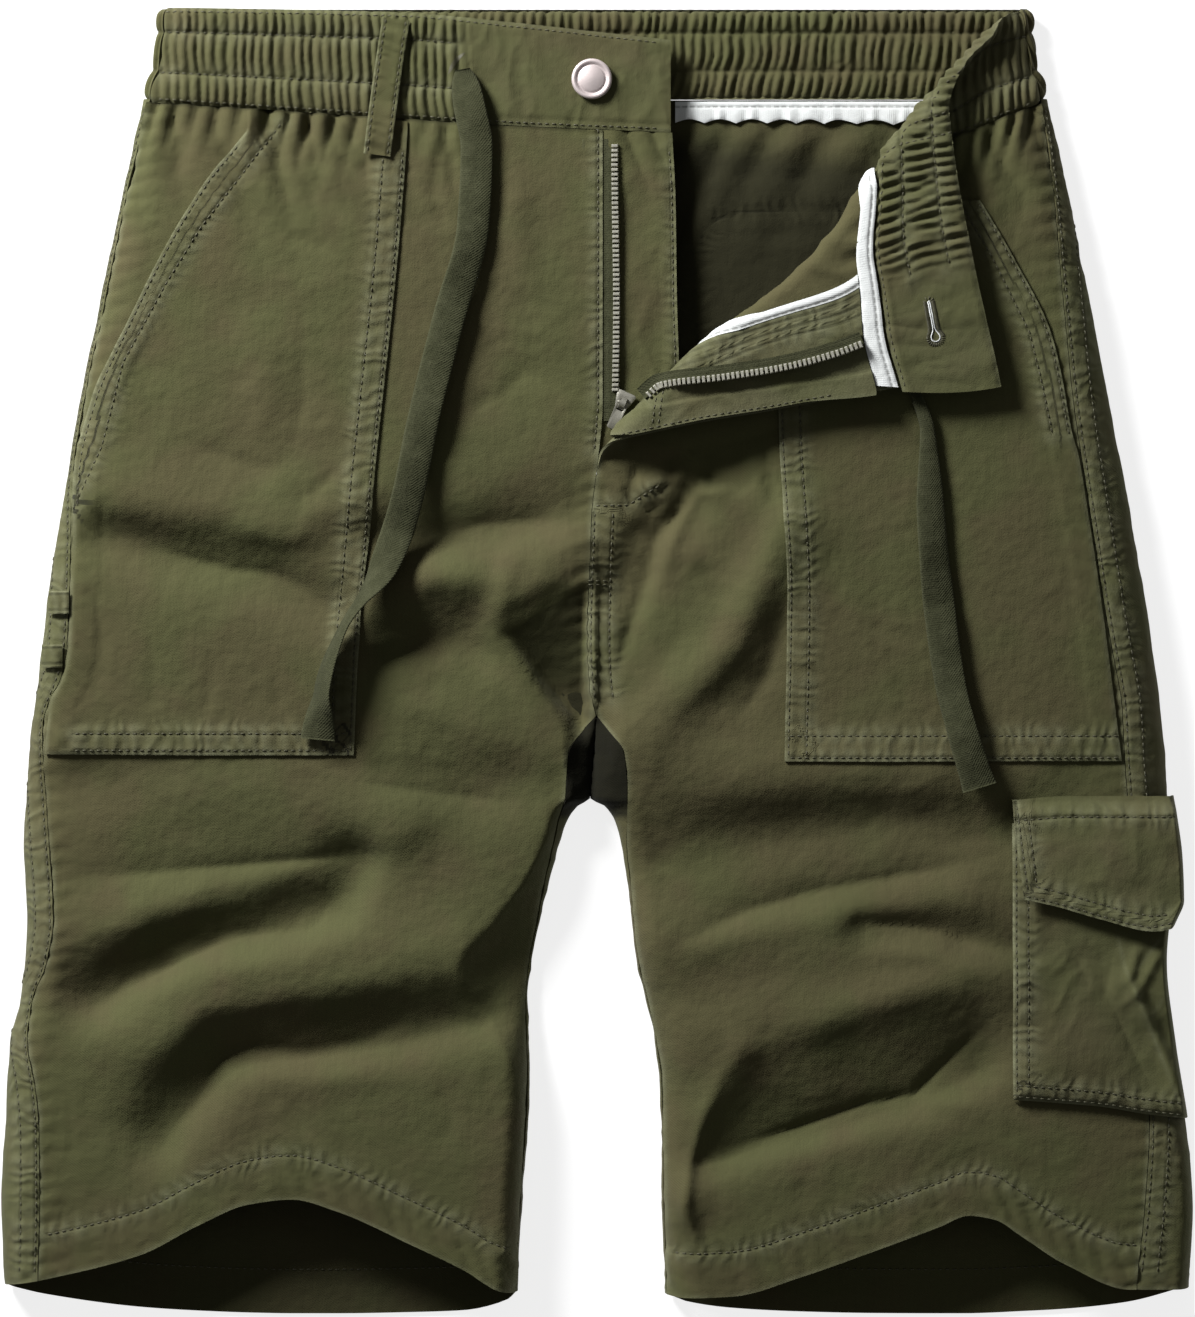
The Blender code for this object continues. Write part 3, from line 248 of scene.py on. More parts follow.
# Waist seam and top edge of the front waistband pieces, the left ones unfolded
WAIST_RIGHT = Table(
    "x seam top",
    (-189, 233.7, 273.5),
    (-82, 226.6, 271.3),
    (-36, 223.6, 267.0),
    (31, 220.7, 259.6),
)
WAIST_LEFT = Table(
    "x seam top",
    (24, 207, 247.5),
    (55, 200, 246.5),
    (80, 199.5, 246),
    (105, 208, 245),
    (130, 214, 244.5),
    (150, 219, 254),
    (162, 224, 267),
    (188, 234, 273.5),
)

# Hem edges: the front's arches up over the open leg, the back's runs just past it
HEM_RIGHT = Table(
    "x front back",
    (-250, -261.5, -261.5),
    (-231, -258.0, -266.0),
    (-190, -247.6, -271.5),
    (-166, -235.4, -273.0),
    (-145, -226.6, -273.8),
    (-127, -224.5, -274.1),
    (-108, -229.5, -274.1),
    (-78, -243.0, -273.6),
    (-56, -253.5, -272.8),
    (-38, -263.5, -268.6),
    (-33, -264.0, -264.5),
)
HEM_LEFT = Table(
    "x front back",
    (30, -265.0, -265.5),
    (36, -265.6, -268.6),
    (57, -264.8, -271.8),
    (85, -256.8, -273.3),
    (117, -245.5, -274.0),
    (143, -235.8, -274.1),
    (155, -231.2, -274.1),
    (166, -232.9, -273.8),
    (176, -239.2, -273.3),
    (195, -251.4, -272.3),
    (222, -261.9, -269.4),
    (250, -262.0, -262.0),
)

# Large folds: height over the panel, how wide they fall off above and below their line, and the line
FOLDS = (
    # height above below  line, from the wearer's right to left
    (-6.8, 14, 9, ((-209, -143), (-175, -122), (-141, -111), (-108, -103), (-100, -86))),
    (4.0, 22, 12, ((-215, -112), (-160, -92), (-110, -84), (-85, -72))),
    (-7.0, 15, 10, ((-181, -199), (-156, -166), (-124, -162), (-82, -157), (-50, -150))),
    (4.5, 20, 14, ((-190, -160), (-150, -134), (-100, -128), (-60, -126))),
    (-5.5, 12, 12, ((-207, 51), (-175, 43), (-150, 38), (-112, 22))),
    (3.0, 16, 9, ((-200, 66), (-130, 60), (-100, 66))),
    (-3.0, 12, 14, ((-225, -52), (-160, -48), (-100, -48), (-20, -53))),
    (-4.0, 14, 9, ((-82, 48), (-50, 52), (-10, 60))),
    (3.5, 12, 12, ((-80, 34), (-40, 34), (-12, 48))),
    (-4.0, 12, 9, ((-90, 8), (-55, 10), (-30, -6), (-10, -24))),
    (-4.0, 8, 10, ((10, 30), (18, 52), (36, 60), (40, 78), (56, 82))),
    (4.0, 9, 16, ((14, -30), (52, 6), (80, 56))),
    (-5.0, 20, 16, ((22, -86), (70, -74), (125, -64), (170, -70))),
    (3.0, 14, 18, ((28, -40), (90, -44), (180, -46))),
    (-3.5, 9, 7, ((112, -113), (145, -111), (172, -120))),
    (3.0, 12, 16, ((30, -118), (90, -118), (150, -100))),
    (-7.5, 22, 9, ((44, -208), (98, -194), (132, -183), (158, -171))),
    (3.5, 14, 16, ((36, -160), (80, -146), (160, -134))),
    (3.0, 8, 8, ((60, -164), (40, -200), (36, -228))),
)


# Patch pockets: inner edge and outer edge by level, and where each ends
POCKET_RIGHT = Table(
    "y inner outer",
    (-39, -101.2, -229.6),
    (-17, -100.3, -227.4),
    (-8, -99.9, -222.6),
    (4, -99.5, -220.0),
    (37, -96.4, -218.9),
    (80, -92.4, -217.4),
    (109, -89.3, -210.4),
    (141, -85.8, -195.9),
    (173, -82.6, -180),
    (202, -80.3, -162),
    (221, -79.0, -146),
)
POCKET_RIGHT_ENDS = (-39.0, 220.0)
POCKET_LEFT = Table(
    "y inner outer",
    (-42, 78.3, 219.0),
    (24, 79.6, 210.6),
    (64.5, 77.9, 204.6),
    (86, 76.5, 201.0),
    (95, 76.2, 198.4),
    (118, 75.6, 194.3),
    (137, 75.2, 189.6),
    (169, 75.0, 173.7),
    (199, 75.0, 156.0),
)
POCKET_LEFT_ENDS = (-42.0, 192.0)

BACK_POCKET = (43.5, 115.0, 133.0, 190.0)  # x from, x to, y from, y to
BACK_POCKET_CORNER = 14.0
BACK_POCKET_THICK = 1.2
FRONT_CLOTH = 1.2
HEM_DEPTH = 18.5
STITCH_PROUD = 0.05
BAND_END_RIGHT = 31.0
BAND_END_LEFT = 25.0
CHANNELS = (0.0, 0.32, 0.745, 1.0)  # heights where the elastic is stitched, from the band's foot to its top
BAND_HEIGHT = 38.0
BAND_FULLNESS = 1.25  # cut width of gathered cloth over its laid width
PLEAT = 4.0
CENTRE_GAP = 0.08
CENTRE_FACET = (-41.4, 11.6, 44.0, 12.0)  # corner of the facet beside the centre seam, its run and its drop
CENTRE_SWAY = (60.0, 118.0, -2.7)  # the back seam leaves the middle here, over this length, by this much

# Cargo pocket on the left leg: outer edge of the pocket and of its flap, and the flap's lower edge
CARGO = Table(
    "y pocket flap",
    (-191, 247.4, 247.4),
    (-160, 242.4, 244.4),
    (-126, 238.6, 242.0),
    (-112, 239.6, 241.5),
    (-100, 242.6, 245.6),
    (-82, 242.4, 245.0),
    (-63, 241.0, 242.6),
    (-56, 240.2, 241.6),
)
CARGO_LEFT = 173.4
CARGO_TOP = -68.0
CARGO_FOOT = Table("x y", (172, -182.8), (210, -185.8), (230, -189.0), (248, -190.8))
CARGO_PUFF = 4.0
CARGO_CLOTH = 1.2
CARGO_ROLL = 3.5
CARGO_HIGHLIGHTS = (
    ((216, -110), (219, -126), (229, -150), (244.6, -190)),
    ((222.8, -130), (228, -124), (236.7, -113)),
    ((229, -150), (236, -140), (238, -128)),
)  # painted highlights: thin pale lines along the pocket's creases
FLAP_LEFT = (173.4, 175.0, 177.6)  # at its top, middle and lower edge
FLAP_TOP = Table("x y", (172, -58.4), (195, -56.5), (246, -56.5))
FLAP_FOOT = Table(
    "x y",
    (172, -98.2),
    (190, -102.0),
    (210, -107.7),
    (231, -112.4),
    (238, -111.5),
    (246, -101.0),
)
FLAP_LIFT = Table("y lift", (-113, 5.0), (-95, 2.6), (-70, 0.4), (-56, 0.0))

# Belt loop and the two small loops at the right side seam: centre line, and each loop's name and centre
BELT_LOOP = ((-83.8, 268.0), (-88.0, 240.0), (-91.6, 211.0))
BELT_LOOP_WIDTH = 11.5
SIDE_LOOPS = (("side_loop_upper", -224.4, 24.2), ("side_loop_lower", -227.2, 1.8))
SIDE_LOOP_SIZE = (9.0, 9.6)

# Drawstring ends, as the middle line of each tape
STRING_WIDTH = 13.5
STRING_THICK = 2.0
STRING_RIGHT = (
    (-56, 247), (-53, 231), (-50, 214), (-51.5, 181), (-61.5, 143), (-72, 101),
    (-79, 67), (-89, 38), (-105.5, 13), (-114, -12), (-116, -33),
)
STRING_LEFT = (
    (129.6, 121), (132.5, 112.4), (138, 95), (139.2, 61.5),
    (143.4, 16.6), (147.6, -11.6), (151.8, -28.4), (159.4, -53),
)

# Fly: facing and its tape by level from the unfolded edge, shield, seam tapes, and the line of the left zip
FACING_WIDTH = Table("y width", (96, 22), (139, 36), (168, 47), (190, 50))
FACING_TAPE_WIDTH = 5.2
FACING_LEVELS = (96, 190)
WAIST_TAPE_WIDTH = 8.0
WAIST_TAPE_ENDS = (27, 112)
BACK_TAPE_ENDS = (33, 150)
BACK_TAPE_LEVELS = (234.4, 226.4)
SHIELD = Table(
    "y left right",
    (219, -6, 31.6),
    (193, -6, 33),
    (150, -6, 33.6),
    (122, -6, 34.4),
    (112, -5, 25),
    (98, -3, 12),
    (85, -3, 4),
)
SHIELD_LIFT = -1.7
ZIP_LEFT = ((18.5, 111.0), (26.0, 116.8), (52, 120.0), (77, 124.0), (98, 129.5), (110, 134.0))
ZIP_TAPE_WIDTH = 5.4
ZIP_RIGHT_EDGE = 3.0
ZIP_RIGHT_LIFT = -0.2

# Slider, pull tab and button
SLIDER_AT = (11.0, 107.5)
PULL_TURN = math.radians(-24.6)  # the slider and its tab lean this far off the centre line
PULL_TILT = math.radians(7)
TAB_LENGTH = 12.0
TAB_WIDTH = 5.0
BUTTON_PROFILE = (  # radius and height of each ring from its foot up
    (0, 0), (7.0, 0), (8.2, 0.9), (8.5, 1.9), (8.45, 2.6), (8.1, 3.1), (7.6, 3.3), (7.0, 3.25),
    (6.5, 2.9), (6.1, 2.6), (5.7, 2.62), (5.3, 2.95), (4.9, 3.1), (3.0, 3.5), (1.2, 3.75), (0, 3.8),
)

# Small creases: height, width, and a line that each tapers along. Ridges are round and valleys crisp.
CREASES = (
    (-3.0, 4.5,
     ((-213, -150), (-196, -133), (-186, -129), (-154, -114), (-121, -111), (-104, -96), (-101, -84))),
    (2.0, 9.0, ((-226, -134), (-186, -106), (-144, -100), (-108, -78))),
    (1.6, 7.0, ((-204, -160), (-190, -142), (-160, -130), (-124, -126), (-96, -114), (-78, -122))),
    (-3.0, 4.0,
     ((-181, -201), (-173, -192), (-157, -166), (-144, -161), (-121, -163), (-96, -158), (-70, -143))),
    (2.0, 8.0, ((-196, -190), (-182, -166), (-164, -146), (-112, -138), (-62, -130))),
    (1.4, 6.0, ((-156, -182), (-140, -174), (-112, -175), (-74, -168))),
    (-1.2, 3.0, ((-140, -172), (-128, -186), (-118, -200))),
    (-0.9, 5.0, ((-68, -172), (-60, -190), (-66, -206))),
    (-2.2, 5.0, ((-192, 49), (-154, 38), (-133, 36), (-106, 20))),
    (1.9, 6.0, ((-158, 58), (-130, 52), (-108, 54))),
    (-2.0, 5.0, ((-132, 64), (-118, 70), (-104, 84))),
    (-1.5, 6.0, ((-176, 92), (-140, 80), (-120, 84))),
    (-0.9, 4.0, ((-212, 40), (-206, 10), (-210, -20))),
    (-0.8, 3.0, ((-186, -2), (-184, -22))),
    (-0.8, 3.0, ((-160, 4), (-163, -26))),
    (-0.8, 3.0, ((-134, -4), (-132, -26))),
    (-8.0, 21.0, ((-236, -92), (-180, -87), (-130, -84), (-70, -80))),
    (-1.8, 5.0, ((-110, -50), (-70, -55), (-24, -60))),
    (-3.0, 8.0, ((-80, 50), (-44, 57), (-4, 60))),
    (1.9, 7.0, ((-82, 32), (-60, 36), (-46, 28))),
    (-3.0, 8.0, ((-92, 14), (-60, 8), (-40, -10))),
    (1.9, 5.0, ((-30, 58), (-38, 34), (-43, 11), (-25, -18), (-13, -26))),
    (1.8, 8.0, ((-98, -14), (-60, -24), (-30, -40))),
    (-2.6, 3.2, ((69, 92), (62, 72), (52, 76), (43, 78), (35, 63), (24, 51), (18, 34), (14, 14))),
    (1.9, 3.0, ((60, 82), (52, 70), (42, 70), (30, 45), (26, 26))),
    (1.2, 3.0, ((10, 80), (20, 72), (34, 76), (40, 86))),
    (-1.6, 3.0, ((12, 70), (22, 62), (30, 68))),
    (2.2, 7.0, ((80, 62), (70, 32), (58, 6), (38, -16), (15, -38))),
    (-2.4, 8.0, ((80, 30), (72, -4), (56, -30))),
    (-2.4, 3.6, ((67, 98), (71, 78), (76, 58))),
    (2.4, 7.0, ((-44, 16), (-24, 33), (-4, 38))),
    (4.0, 15.0, ((-222, -50), (-160, -50), (-100, -52), (-52, -60))),
    (-3.4, 5.0, ((32, 60), (24, 44), (14, 14), (6, -14))),
    (-3.5, 9.0, ((6, 74), (38, 86), (62, 92), (92, 102))),
    (-2.4, 2.6, ((18, 88), (14, 70), (12, 58))),
    (-2.2, 2.4, ((34, 90), (30, 74), (22, 66))),
    (-2.2, 2.6, ((50, 92), (47, 80), (46, 70))),
    (1.4, 4.0, ((24, 62), (34, 46), (50, 36))),
    (-5.0, 12.0, ((14, -128), (62, -104), (94, -95), (133, -88), (180, -78))),
    (3.0, 12.0, ((8, -58), (60, -54), (120, -50), (184, -60))),
    (2.0, 7.0, ((28, -126), (62, -112), (96, -106), (140, -98))),
    (-3.0, 6.0, ((96, -108), (140, -112), (178, -124))),
    (1.4, 4.0, ((112, -120), (140, -124), (168, -134))),
    (-3.0, 3.6, ((38, -209), (81, -196), (110, -186), (133, -181), (152, -162), (172, -142))),
    (2.4, 8.0, ((58, -160), (94, -150), (133, -137), (176, -132))),
    (1.2, 3.0, ((130, -183), (160, -188))),
    (1.7, 2.2, ((58, -160), (45, -189), (39, -208), (37, -228), (45, -252), (57, -266))),
    (1.6, 6.0, ((44, -216), (84, -206), (120, -196), (146, -190))),
    (2.6, 2.6, ((228, -110), (221, -133), (236, -163), (246, -192))),
    (-1.8, 5.0, ((216, -114), (212, -138), (226, -168), (238, -190))),
    (1.6, 2.4, ((238, -114), (226, -136), (214, -148))),
    (-1.6, 5.0, ((182, -104), (200, -124), (208, -140))),
    (0.9, 9.0, ((204, -82), (226, -78), (240, -84))),
    (-1.6, 3.6, ((-66, 219), (-68, 196), (-62, 176))),
    (-2.0, 5.0, ((-128, 226), (-124, 206), (-114, 184))),
    (-1.8, 4.0, ((-112, 226), (-108, 212), (-98, 198))),
    (1.6, 5.0, ((-122, 224), (-116, 204), (-104, 190))),
    (-1.6, 6.0, ((-150, 196), (-128, 176), (-104, 172))),
    (1.2, 8.0, ((-150, 150), (-138, 120), (-140, 90))),
    (-1.0, 5.0, ((-124, 140), (-122, 110), (-128, 84))),
    (1.2, 6.0, ((-30, 214), (-34, 180), (-26, 150))),
    (-1.3, 7.0, ((-24, 130), (-40, 110), (-60, 104))),
    (-1.2, 8.0, ((-60, 150), (-30, 120), (-8, 112))),
)

# Stitch rows in plan
FLY_ROWS = [[(0.6, 222.8), (0.6, 107), (-1.1, 87)]]
CENTRE_ROWS = [FRONT_EDGE.line("left", range(62, -20, -6), away) for away in (1.2, 8.8)]
CENTRE_ROWS.append([(-4.0, 64.5), (13.2, 64.9), (25.4, 72.5)])
BARTACKS = ([(-4.0, 33.2), (6.5, 33.2)], [(-4.0, 31.6), (6.5, 31.6)])
POCKET_ROWS = {
    "right": [
        *(POCKET_RIGHT.line("inner", range(-38, 222, 10), -away) for away in (1.5, 9.5)),
        *([(-218, y), (-103, y)] for y in (-37.5, -30.5)),
        POCKET_RIGHT.line("outer", range(64, 222, 8), 1.5),
        [(-131.7, 224.5), (-165.3, 180.8), (-180, 156.9), (-197.6, 124.5), (-206.4, 89.3), (-214.4, 72),
         (-218.6, 62.8)],
    ],
    "left": [
        *(POCKET_LEFT.line("inner", range(-40, 192, 10), away) for away in (1.5, 9.0)),
        *([(80, y), (217, y)] for y in (-40.5, -31.5)),
        POCKET_LEFT.line("outer", range(94, 192, 8), -1.5),
        [(147, 199), (164.7, 169), (180.6, 137), (185.3, 117.8), (190.2, 94)],
    ],
}
POCKET_OUTLINE = [
    (43.5, 134), (42.5, 160), (43.5, 176), (48, 184), (58, 187.5), (80, 189),
    (104, 189), (113, 184), (116, 172), (116, 134),
]
BACK_ROWS = {
    "right": [SIDES.line("seam_right", range(-255, 232, 9), -away) for away in (1.5, 8.0)],
    "left": [*(SIDES.line("seam_left", range(-255, 232, 9), away) for away in (1.5, 8.0)), POCKET_OUTLINE],
}
SHIELD_ROWS = [SHIELD.line("right", np.arange(112, 219, 6.0), -1.6)]
CARGO_ROWS = [[(CARGO_LEFT + away, y) for y in (-72.0, -182.0 + away)] for away in (1.5, 6.3)]
CARGO_ROWS += [CARGO_FOOT.line("y", (175, 185, 195, 205, 215, 225, 235, 243), away) for away in (1.5, 6.3)]
FLAP_ROWS = [
    FLAP_TOP.line("y", (174, 195, 215, 241), -8.6),
    FLAP_FOOT.line("y", (182, 190, 200, 210, 220, 230, 236), 6.3),
    FLAP_FOOT.line("y", (178, 190, 200, 210, 220, 230, 240), 1.5),
    [(FLAP_LEFT[0] + 6.3, -66.0), (FLAP_LEFT[2] + 5.0, -92.0)],
    [(FLAP_LEFT[0] + 1.5, -60.0), (FLAP_LEFT[2] + 1.5, -96.0)],
]

# The buttonhole on the turned-back tab: ends of its slit and radius of its round end. The slit for the cord
BUTTONHOLE = ((138.2, 149.0), (141.0, 134.4), 1.5)
CORD_SLIT = ((-55.0, 254.2), (-58.5, 251.2), (-62.2, 245.0))

# Both sides' tables, by the wearer's side
WAIST = {"right": WAIST_RIGHT, "left": WAIST_LEFT}
HEM = {"right": HEM_RIGHT, "left": HEM_LEFT}
PATCH_POCKETS = {"right": (POCKET_RIGHT, POCKET_RIGHT_ENDS), "left": (POCKET_LEFT, POCKET_LEFT_ENDS)}

# Stage
FLOOR_LEVEL = -0.3
FLOOR_HALF = 4.0  # in metres
CAMERA_OVER = (0.0004, 0.0008)
CAMERA_HEIGHT = 2.5
VIEW_ACROSS = 0.5019
SENSOR = 36.0
KEY_AT = (-0.95, 1.1, 0.72)
KEY_SIZE = 0.45


# Surfaces


def ease(t):
    """0 to 1 along a quarter of an ellipse: steep at the edge, level where the roll ends."""
    t = np.clip(t, 0.0, 1.0)
    return np.sqrt(1 - (1 - t) ** 2)


def smooth(low, high, value):
    t = np.clip((value - low) / (high - low), 0.0, 1.0)
    return t * t * (3 - 2 * t)


def bell(value, width):
    """1 where a value is zero, falling off to both sides over a width."""
    return np.exp(-((value / width) ** 2))


def stretches(x, y, line):
    """For each straight of a line: how far along it, how far off and how far left points are, and its end."""
    start = 0.0
    for (ax, ay), (bx, by) in zip(line, line[1:]):
        dx, dy = bx - ax, by - ay
        run = math.hypot(dx, dy)
        t = np.clip(((x - ax) * dx + (y - ay) * dy) / (run * run), 0, 1)
        away = np.hypot(x - ax - t * dx, y - ay - t * dy) + 1e-6
        yield start + t * run, away, ((y - ay) * dx - (x - ax) * dy) / run, start + run
        start += run


def track(x, y, line):
    """For each point: how far along an open line its nearest point lies, and the signed distance to it."""
    nearest = np.full(np.shape(x), 1e9)
    along, signed = np.zeros(np.shape(x)), np.zeros(np.shape(x))
    for at, away, offset, length in stretches(x, y, line):
        closer = away < nearest
        along = np.where(closer, at, along)
        signed = np.where(closer, np.copysign(away, offset), signed)
        nearest = np.where(closer, away, nearest)
    return along, signed, length


def fold_relief(x, y):
    """Height that the large folds add. Each is a line with its own fall on its upper and lower side."""
    total = np.zeros_like(x)
    for height, above, below, line in FOLDS:
        nearest, lean = np.full_like(x, 1e9), np.zeros_like(x)
        for _, away, offset, _ in stretches(x, y, line):
            closer = away < nearest
            lean = np.where(closer, np.clip(offset / away, -1, 1), lean)
            nearest = np.where(closer, away, nearest)
        total += height * bell(nearest, (above + below) / 2 + (above - below) / 2 * lean)
    return total


def centre_facet(x, y):
    """The flat facet to the right of the centre seam: how far down it a point lies, and 1 inside it."""
    right, up = x - CENTRE_FACET[0], y - CENTRE_FACET[1]
    down = 0.507 * right - 0.862 * up
    inside = smooth(-1.0, 6.0, 0.805 * right + 0.593 * up) * smooth(-1.0, -6.5, x) * smooth(-40, -12, y)
    return np.maximum(down, 0.0), inside * (down > 0)


def top_height(x, y):
    """Height of the upper layer's outer skin above the ground."""
    x, y = np.asarray(x, float), np.asarray(y, float)
    right = x < np.where(y < CROTCH, LEGS("inner_right", y) + LEGS("inner_left", y), 0.0) / 2
    side = np.where(right, x - SIDES("side_right", y), SIDES("side_left", y) - x)
    inner = np.where(right, LEGS("inner_right", y) - x, x - LEGS("inner_left", y))
    width = np.where(right, FACETS("right", y), FACETS("left", y))
    low = 1 - np.clip(1 - np.maximum(inner - right * 4 * smooth(-60, -40, y), 0) / width, 0, 1)
    low = 1 - low**1.6
    drop = np.where(right, FACETS("drop_right", y), FACETS("drop_left", y))
    crown = CROWN("height", y) + fold_relief(x, y) - EDGE - drop * (np.sqrt(low * low + 0.004) - 0.063)
    down, inside = centre_facet(x, y)
    crown -= inside * CENTRE_FACET[3] * np.sin(np.minimum(down / CENTRE_FACET[2], 1.0) * math.pi / 2)
    height = EDGE + crown * ease(side / (SIDE_REACH - 9.0 * (x > 0) * smooth(-176, -196, y)))
    reach = np.where(right, LEGS("reach_right", y), LEGS("reach_left", y))
    floor = np.where(y > ARCH, GROOVE("height", y), EDGE)
    floor = np.minimum(floor, height)
    grooved = floor + (height - floor) * ease(inner / reach)
    return np.where(y < CROTCH, grooved, height)


def fold_frame():
    """Length of the straight between the fold line's ends, and the directions along and across it."""
    span = np.subtract(FOLD_HEAD, FOLD_FOOT)
    length = np.hypot(*span)
    along = span / length
    return length, along, np.array([-along[1], along[0]])


def fold_start(place):
    """How far across the straight the turn begins, at a place from 0 at its foot to 1 at its head."""
    return -FOLD_RADIUS - FOLD_BULGE * bell(place - FOLD_BULGE_AT, FOLD_BULGE_WIDTH)


def past_fold(x, y):
    """How far a flat point of the left front lies past the start of its turn."""
    length, along, across = fold_frame()
    rel = np.stack([x - FOLD_FOOT[0], y - FOLD_FOOT[1]], -1)
    return rel @ across - fold_start(rel @ along / length)


def folded(x, y, turns):
    """Outer skin of the front at flat points. Where turns is set, what lies past the fold line turns back."""
    if not turns:
        return np.stack([x, y, top_height(x, y)], -1)
    across = fold_frame()[2]
    past = past_fold(x, y)
    turn = np.clip(past / FOLD_RADIUS, 0, math.pi)
    beyond = np.maximum(past - math.pi * FOLD_RADIUS, 0)
    shift = np.where(past > 0, FOLD_RADIUS * np.sin(turn) - beyond - past, 0.0)
    fx, fy = x + shift * across[0], y + shift * across[1]
    rise = FOLD_RADIUS * (1 - np.cos(turn))
    return np.stack([fx, fy, top_height(fx, fy) + rise], -1)


def normals_of(surface, a, b, step=0.1):
    """Outward unit normals of surface(a, b) by central differences."""
    da = surface(a + step, b) - surface(a - step, b)
    db = surface(a, b + step) - surface(a, b - step)
    normal = np.cross(da, db)
    return normal / np.linalg.norm(normal, axis=-1, keepdims=True)


def grid_normals(points):
    """Unit normals of a grid of points, columns running to its right and rows up."""
    normal = np.cross(np.gradient(points, axis=1), np.gradient(points, axis=0))
    return normal / np.maximum(np.linalg.norm(normal, axis=-1, keepdims=True), 1e-12)


def gradient_noise(x, y, seed):
    """Smooth noise from about -1 to 1 with features one unit across."""
    draw = np.random.default_rng(seed)
    turns = draw.random((64, 64)) * 2 * math.pi
    ix, iy = np.floor(x).astype(int), np.floor(y).astype(int)
    fx, fy = x - ix, y - iy

    def corner(dx, dy):
        angle = turns[(ix + dx) % 64, (iy + dy) % 64]
        return np.cos(angle) * (fx - dx) + np.sin(angle) * (fy - dy)

    u, v = fx * fx * (3 - 2 * fx), fy * fy * (3 - 2 * fy)
    low = corner(0, 0) * (1 - u) + corner(1, 0) * u
    high = corner(0, 1) * (1 - u) + corner(1, 1) * u
    return 1.6 * (low * (1 - v) + high * v)


def ripple(along, wave, seed):
    """Uneven ridges along a seam: rounded crests and tighter valleys, from -1 to 1."""
    warp = 0.35 * gradient_noise(along / (3 * wave), 0 * along + seed, seed)
    lift = 0.75 + 0.25 * gradient_noise(along / (2.2 * wave), 0 * along, seed + 1)
    return lift * (1.6 * np.abs(np.cos(math.pi * (along / wave + warp))) - 1.0)


def pucker(along, away, height, wave, reach, seed, slant=0.0):
    """Short ridges across a seam, fading out on both sides of it."""
    return height * ripple(along + slant * away, wave, seed) * bell(away, reach)


def crumple(x, y, size, seed):
    """Soft creases with no direction: the ridges of warped noise."""
    wx = x / size + 0.6 * gradient_noise(x / size / 1.7, y / size / 1.7, seed)
    wy = y / size + 0.6 * gradient_noise(x / size / 1.7, y / size / 1.7, seed + 1)
    return 1 - 2.2 * np.abs(gradient_noise(wx, wy, seed + 2))


# Meshes


def spread(count, *dense):
    """Places from 0 to 1, drawn closer together round each (place, reach, strength)."""
    fine = np.linspace(0, 1, 4001)
    density = np.ones_like(fine)
    for at, reach, strength in dense:
        density += strength * bell(fine - at, reach)
    total = np.concatenate([[0], np.cumsum((density[1:] + density[:-1]) / 2)])
    return np.interp(np.linspace(0, 1, count), total / total[-1], fine)


def panel_grid(left, right, foot, head, columns, rows):
    """Flat points of a panel between its four edges, at places from 0 to 1 across it and up it."""
    u, t = np.meshgrid(columns, rows)
    x = left(0.0) + (right(0.0) - left(0.0)) * u
    for _ in range(10):
        y = foot(x) + (head(x) - foot(x)) * t
        x = left(y) + (right(y) - left(y)) * u
    return x, y


def quads_of(index):
    """Quads between neighbouring points of a grid of point numbers."""
    corners = index[:-1, :-1], index[:-1, 1:], index[1:, 1:], index[1:, :-1]
    return np.stack([c.ravel() for c in corners], 1)


def tube_quads(index):
    """Quads of a grid of point numbers whose last column joins its first."""
    return quads_of(np.concatenate([index, index[:, :1]], 1))


def skin_normals(points, quads):
    """Unit normals at the points of a skin made of quads."""
    a, b, c, d = (points[quads[:, i]] for i in range(4))
    face = np.cross(c - a, d - b)
    normals = np.zeros_like(points)
    for i in range(4):
        np.add.at(normals, quads[:, i], face)
    return normals / np.maximum(np.linalg.norm(normals, axis=1, keepdims=True), 1e-12)


def add_piece(name, points, faces, finish, flat=None, seam=None, crisp=None):
    """A mesh object from points in millimetres and arrays of faces. crisp marks the points on hard edges."""
    mesh = bpy.data.meshes.new(name)
    corners = np.concatenate([f.ravel() for f in faces]).astype(np.int32)
    sizes = np.concatenate([np.full(len(f), f.shape[1]) for f in faces])
    mesh.vertices.add(len(points))
    mesh.vertices.foreach_set("co", (np.asarray(points) * MM).astype(np.float32).ravel())
    mesh.loops.add(len(corners))
    mesh.loops.foreach_set("vertex_index", corners)
    mesh.polygons.add(len(sizes))
    mesh.polygons.foreach_set("loop_start", (np.cumsum(sizes) - sizes).astype(np.int32))
    mesh.update(calc_edges=True)
    mesh.shade_smooth()
    if flat is not None:
        layer = mesh.uv_layers.new(name="cloth")
        layer.data.foreach_set("uv", (flat[corners] * MM).astype(np.float32).ravel())
    if seam is not None:
        marks = mesh.attributes.new("seam", "FLOAT_VECTOR", "POINT")
        marks.data.foreach_set("vector", seam.astype(np.float32).ravel())
    if crisp is not None:
        ends = np.empty(len(mesh.edges) * 2, np.int32)
        mesh.edges.foreach_get("vertices", ends)
        ends = crisp[ends.reshape(-1, 2)]
        hard = mesh.attributes.new("sharp_edge", "BOOLEAN", "EDGE")
        hard.data.foreach_set("value", (ends[:, 0] > 0) & (ends[:, 0] == ends[:, 1]))
    mesh.materials.append(finish)
    piece = bpy.data.objects.new(name, mesh)
    bpy.context.scene.collection.objects.link(piece)
    return piece


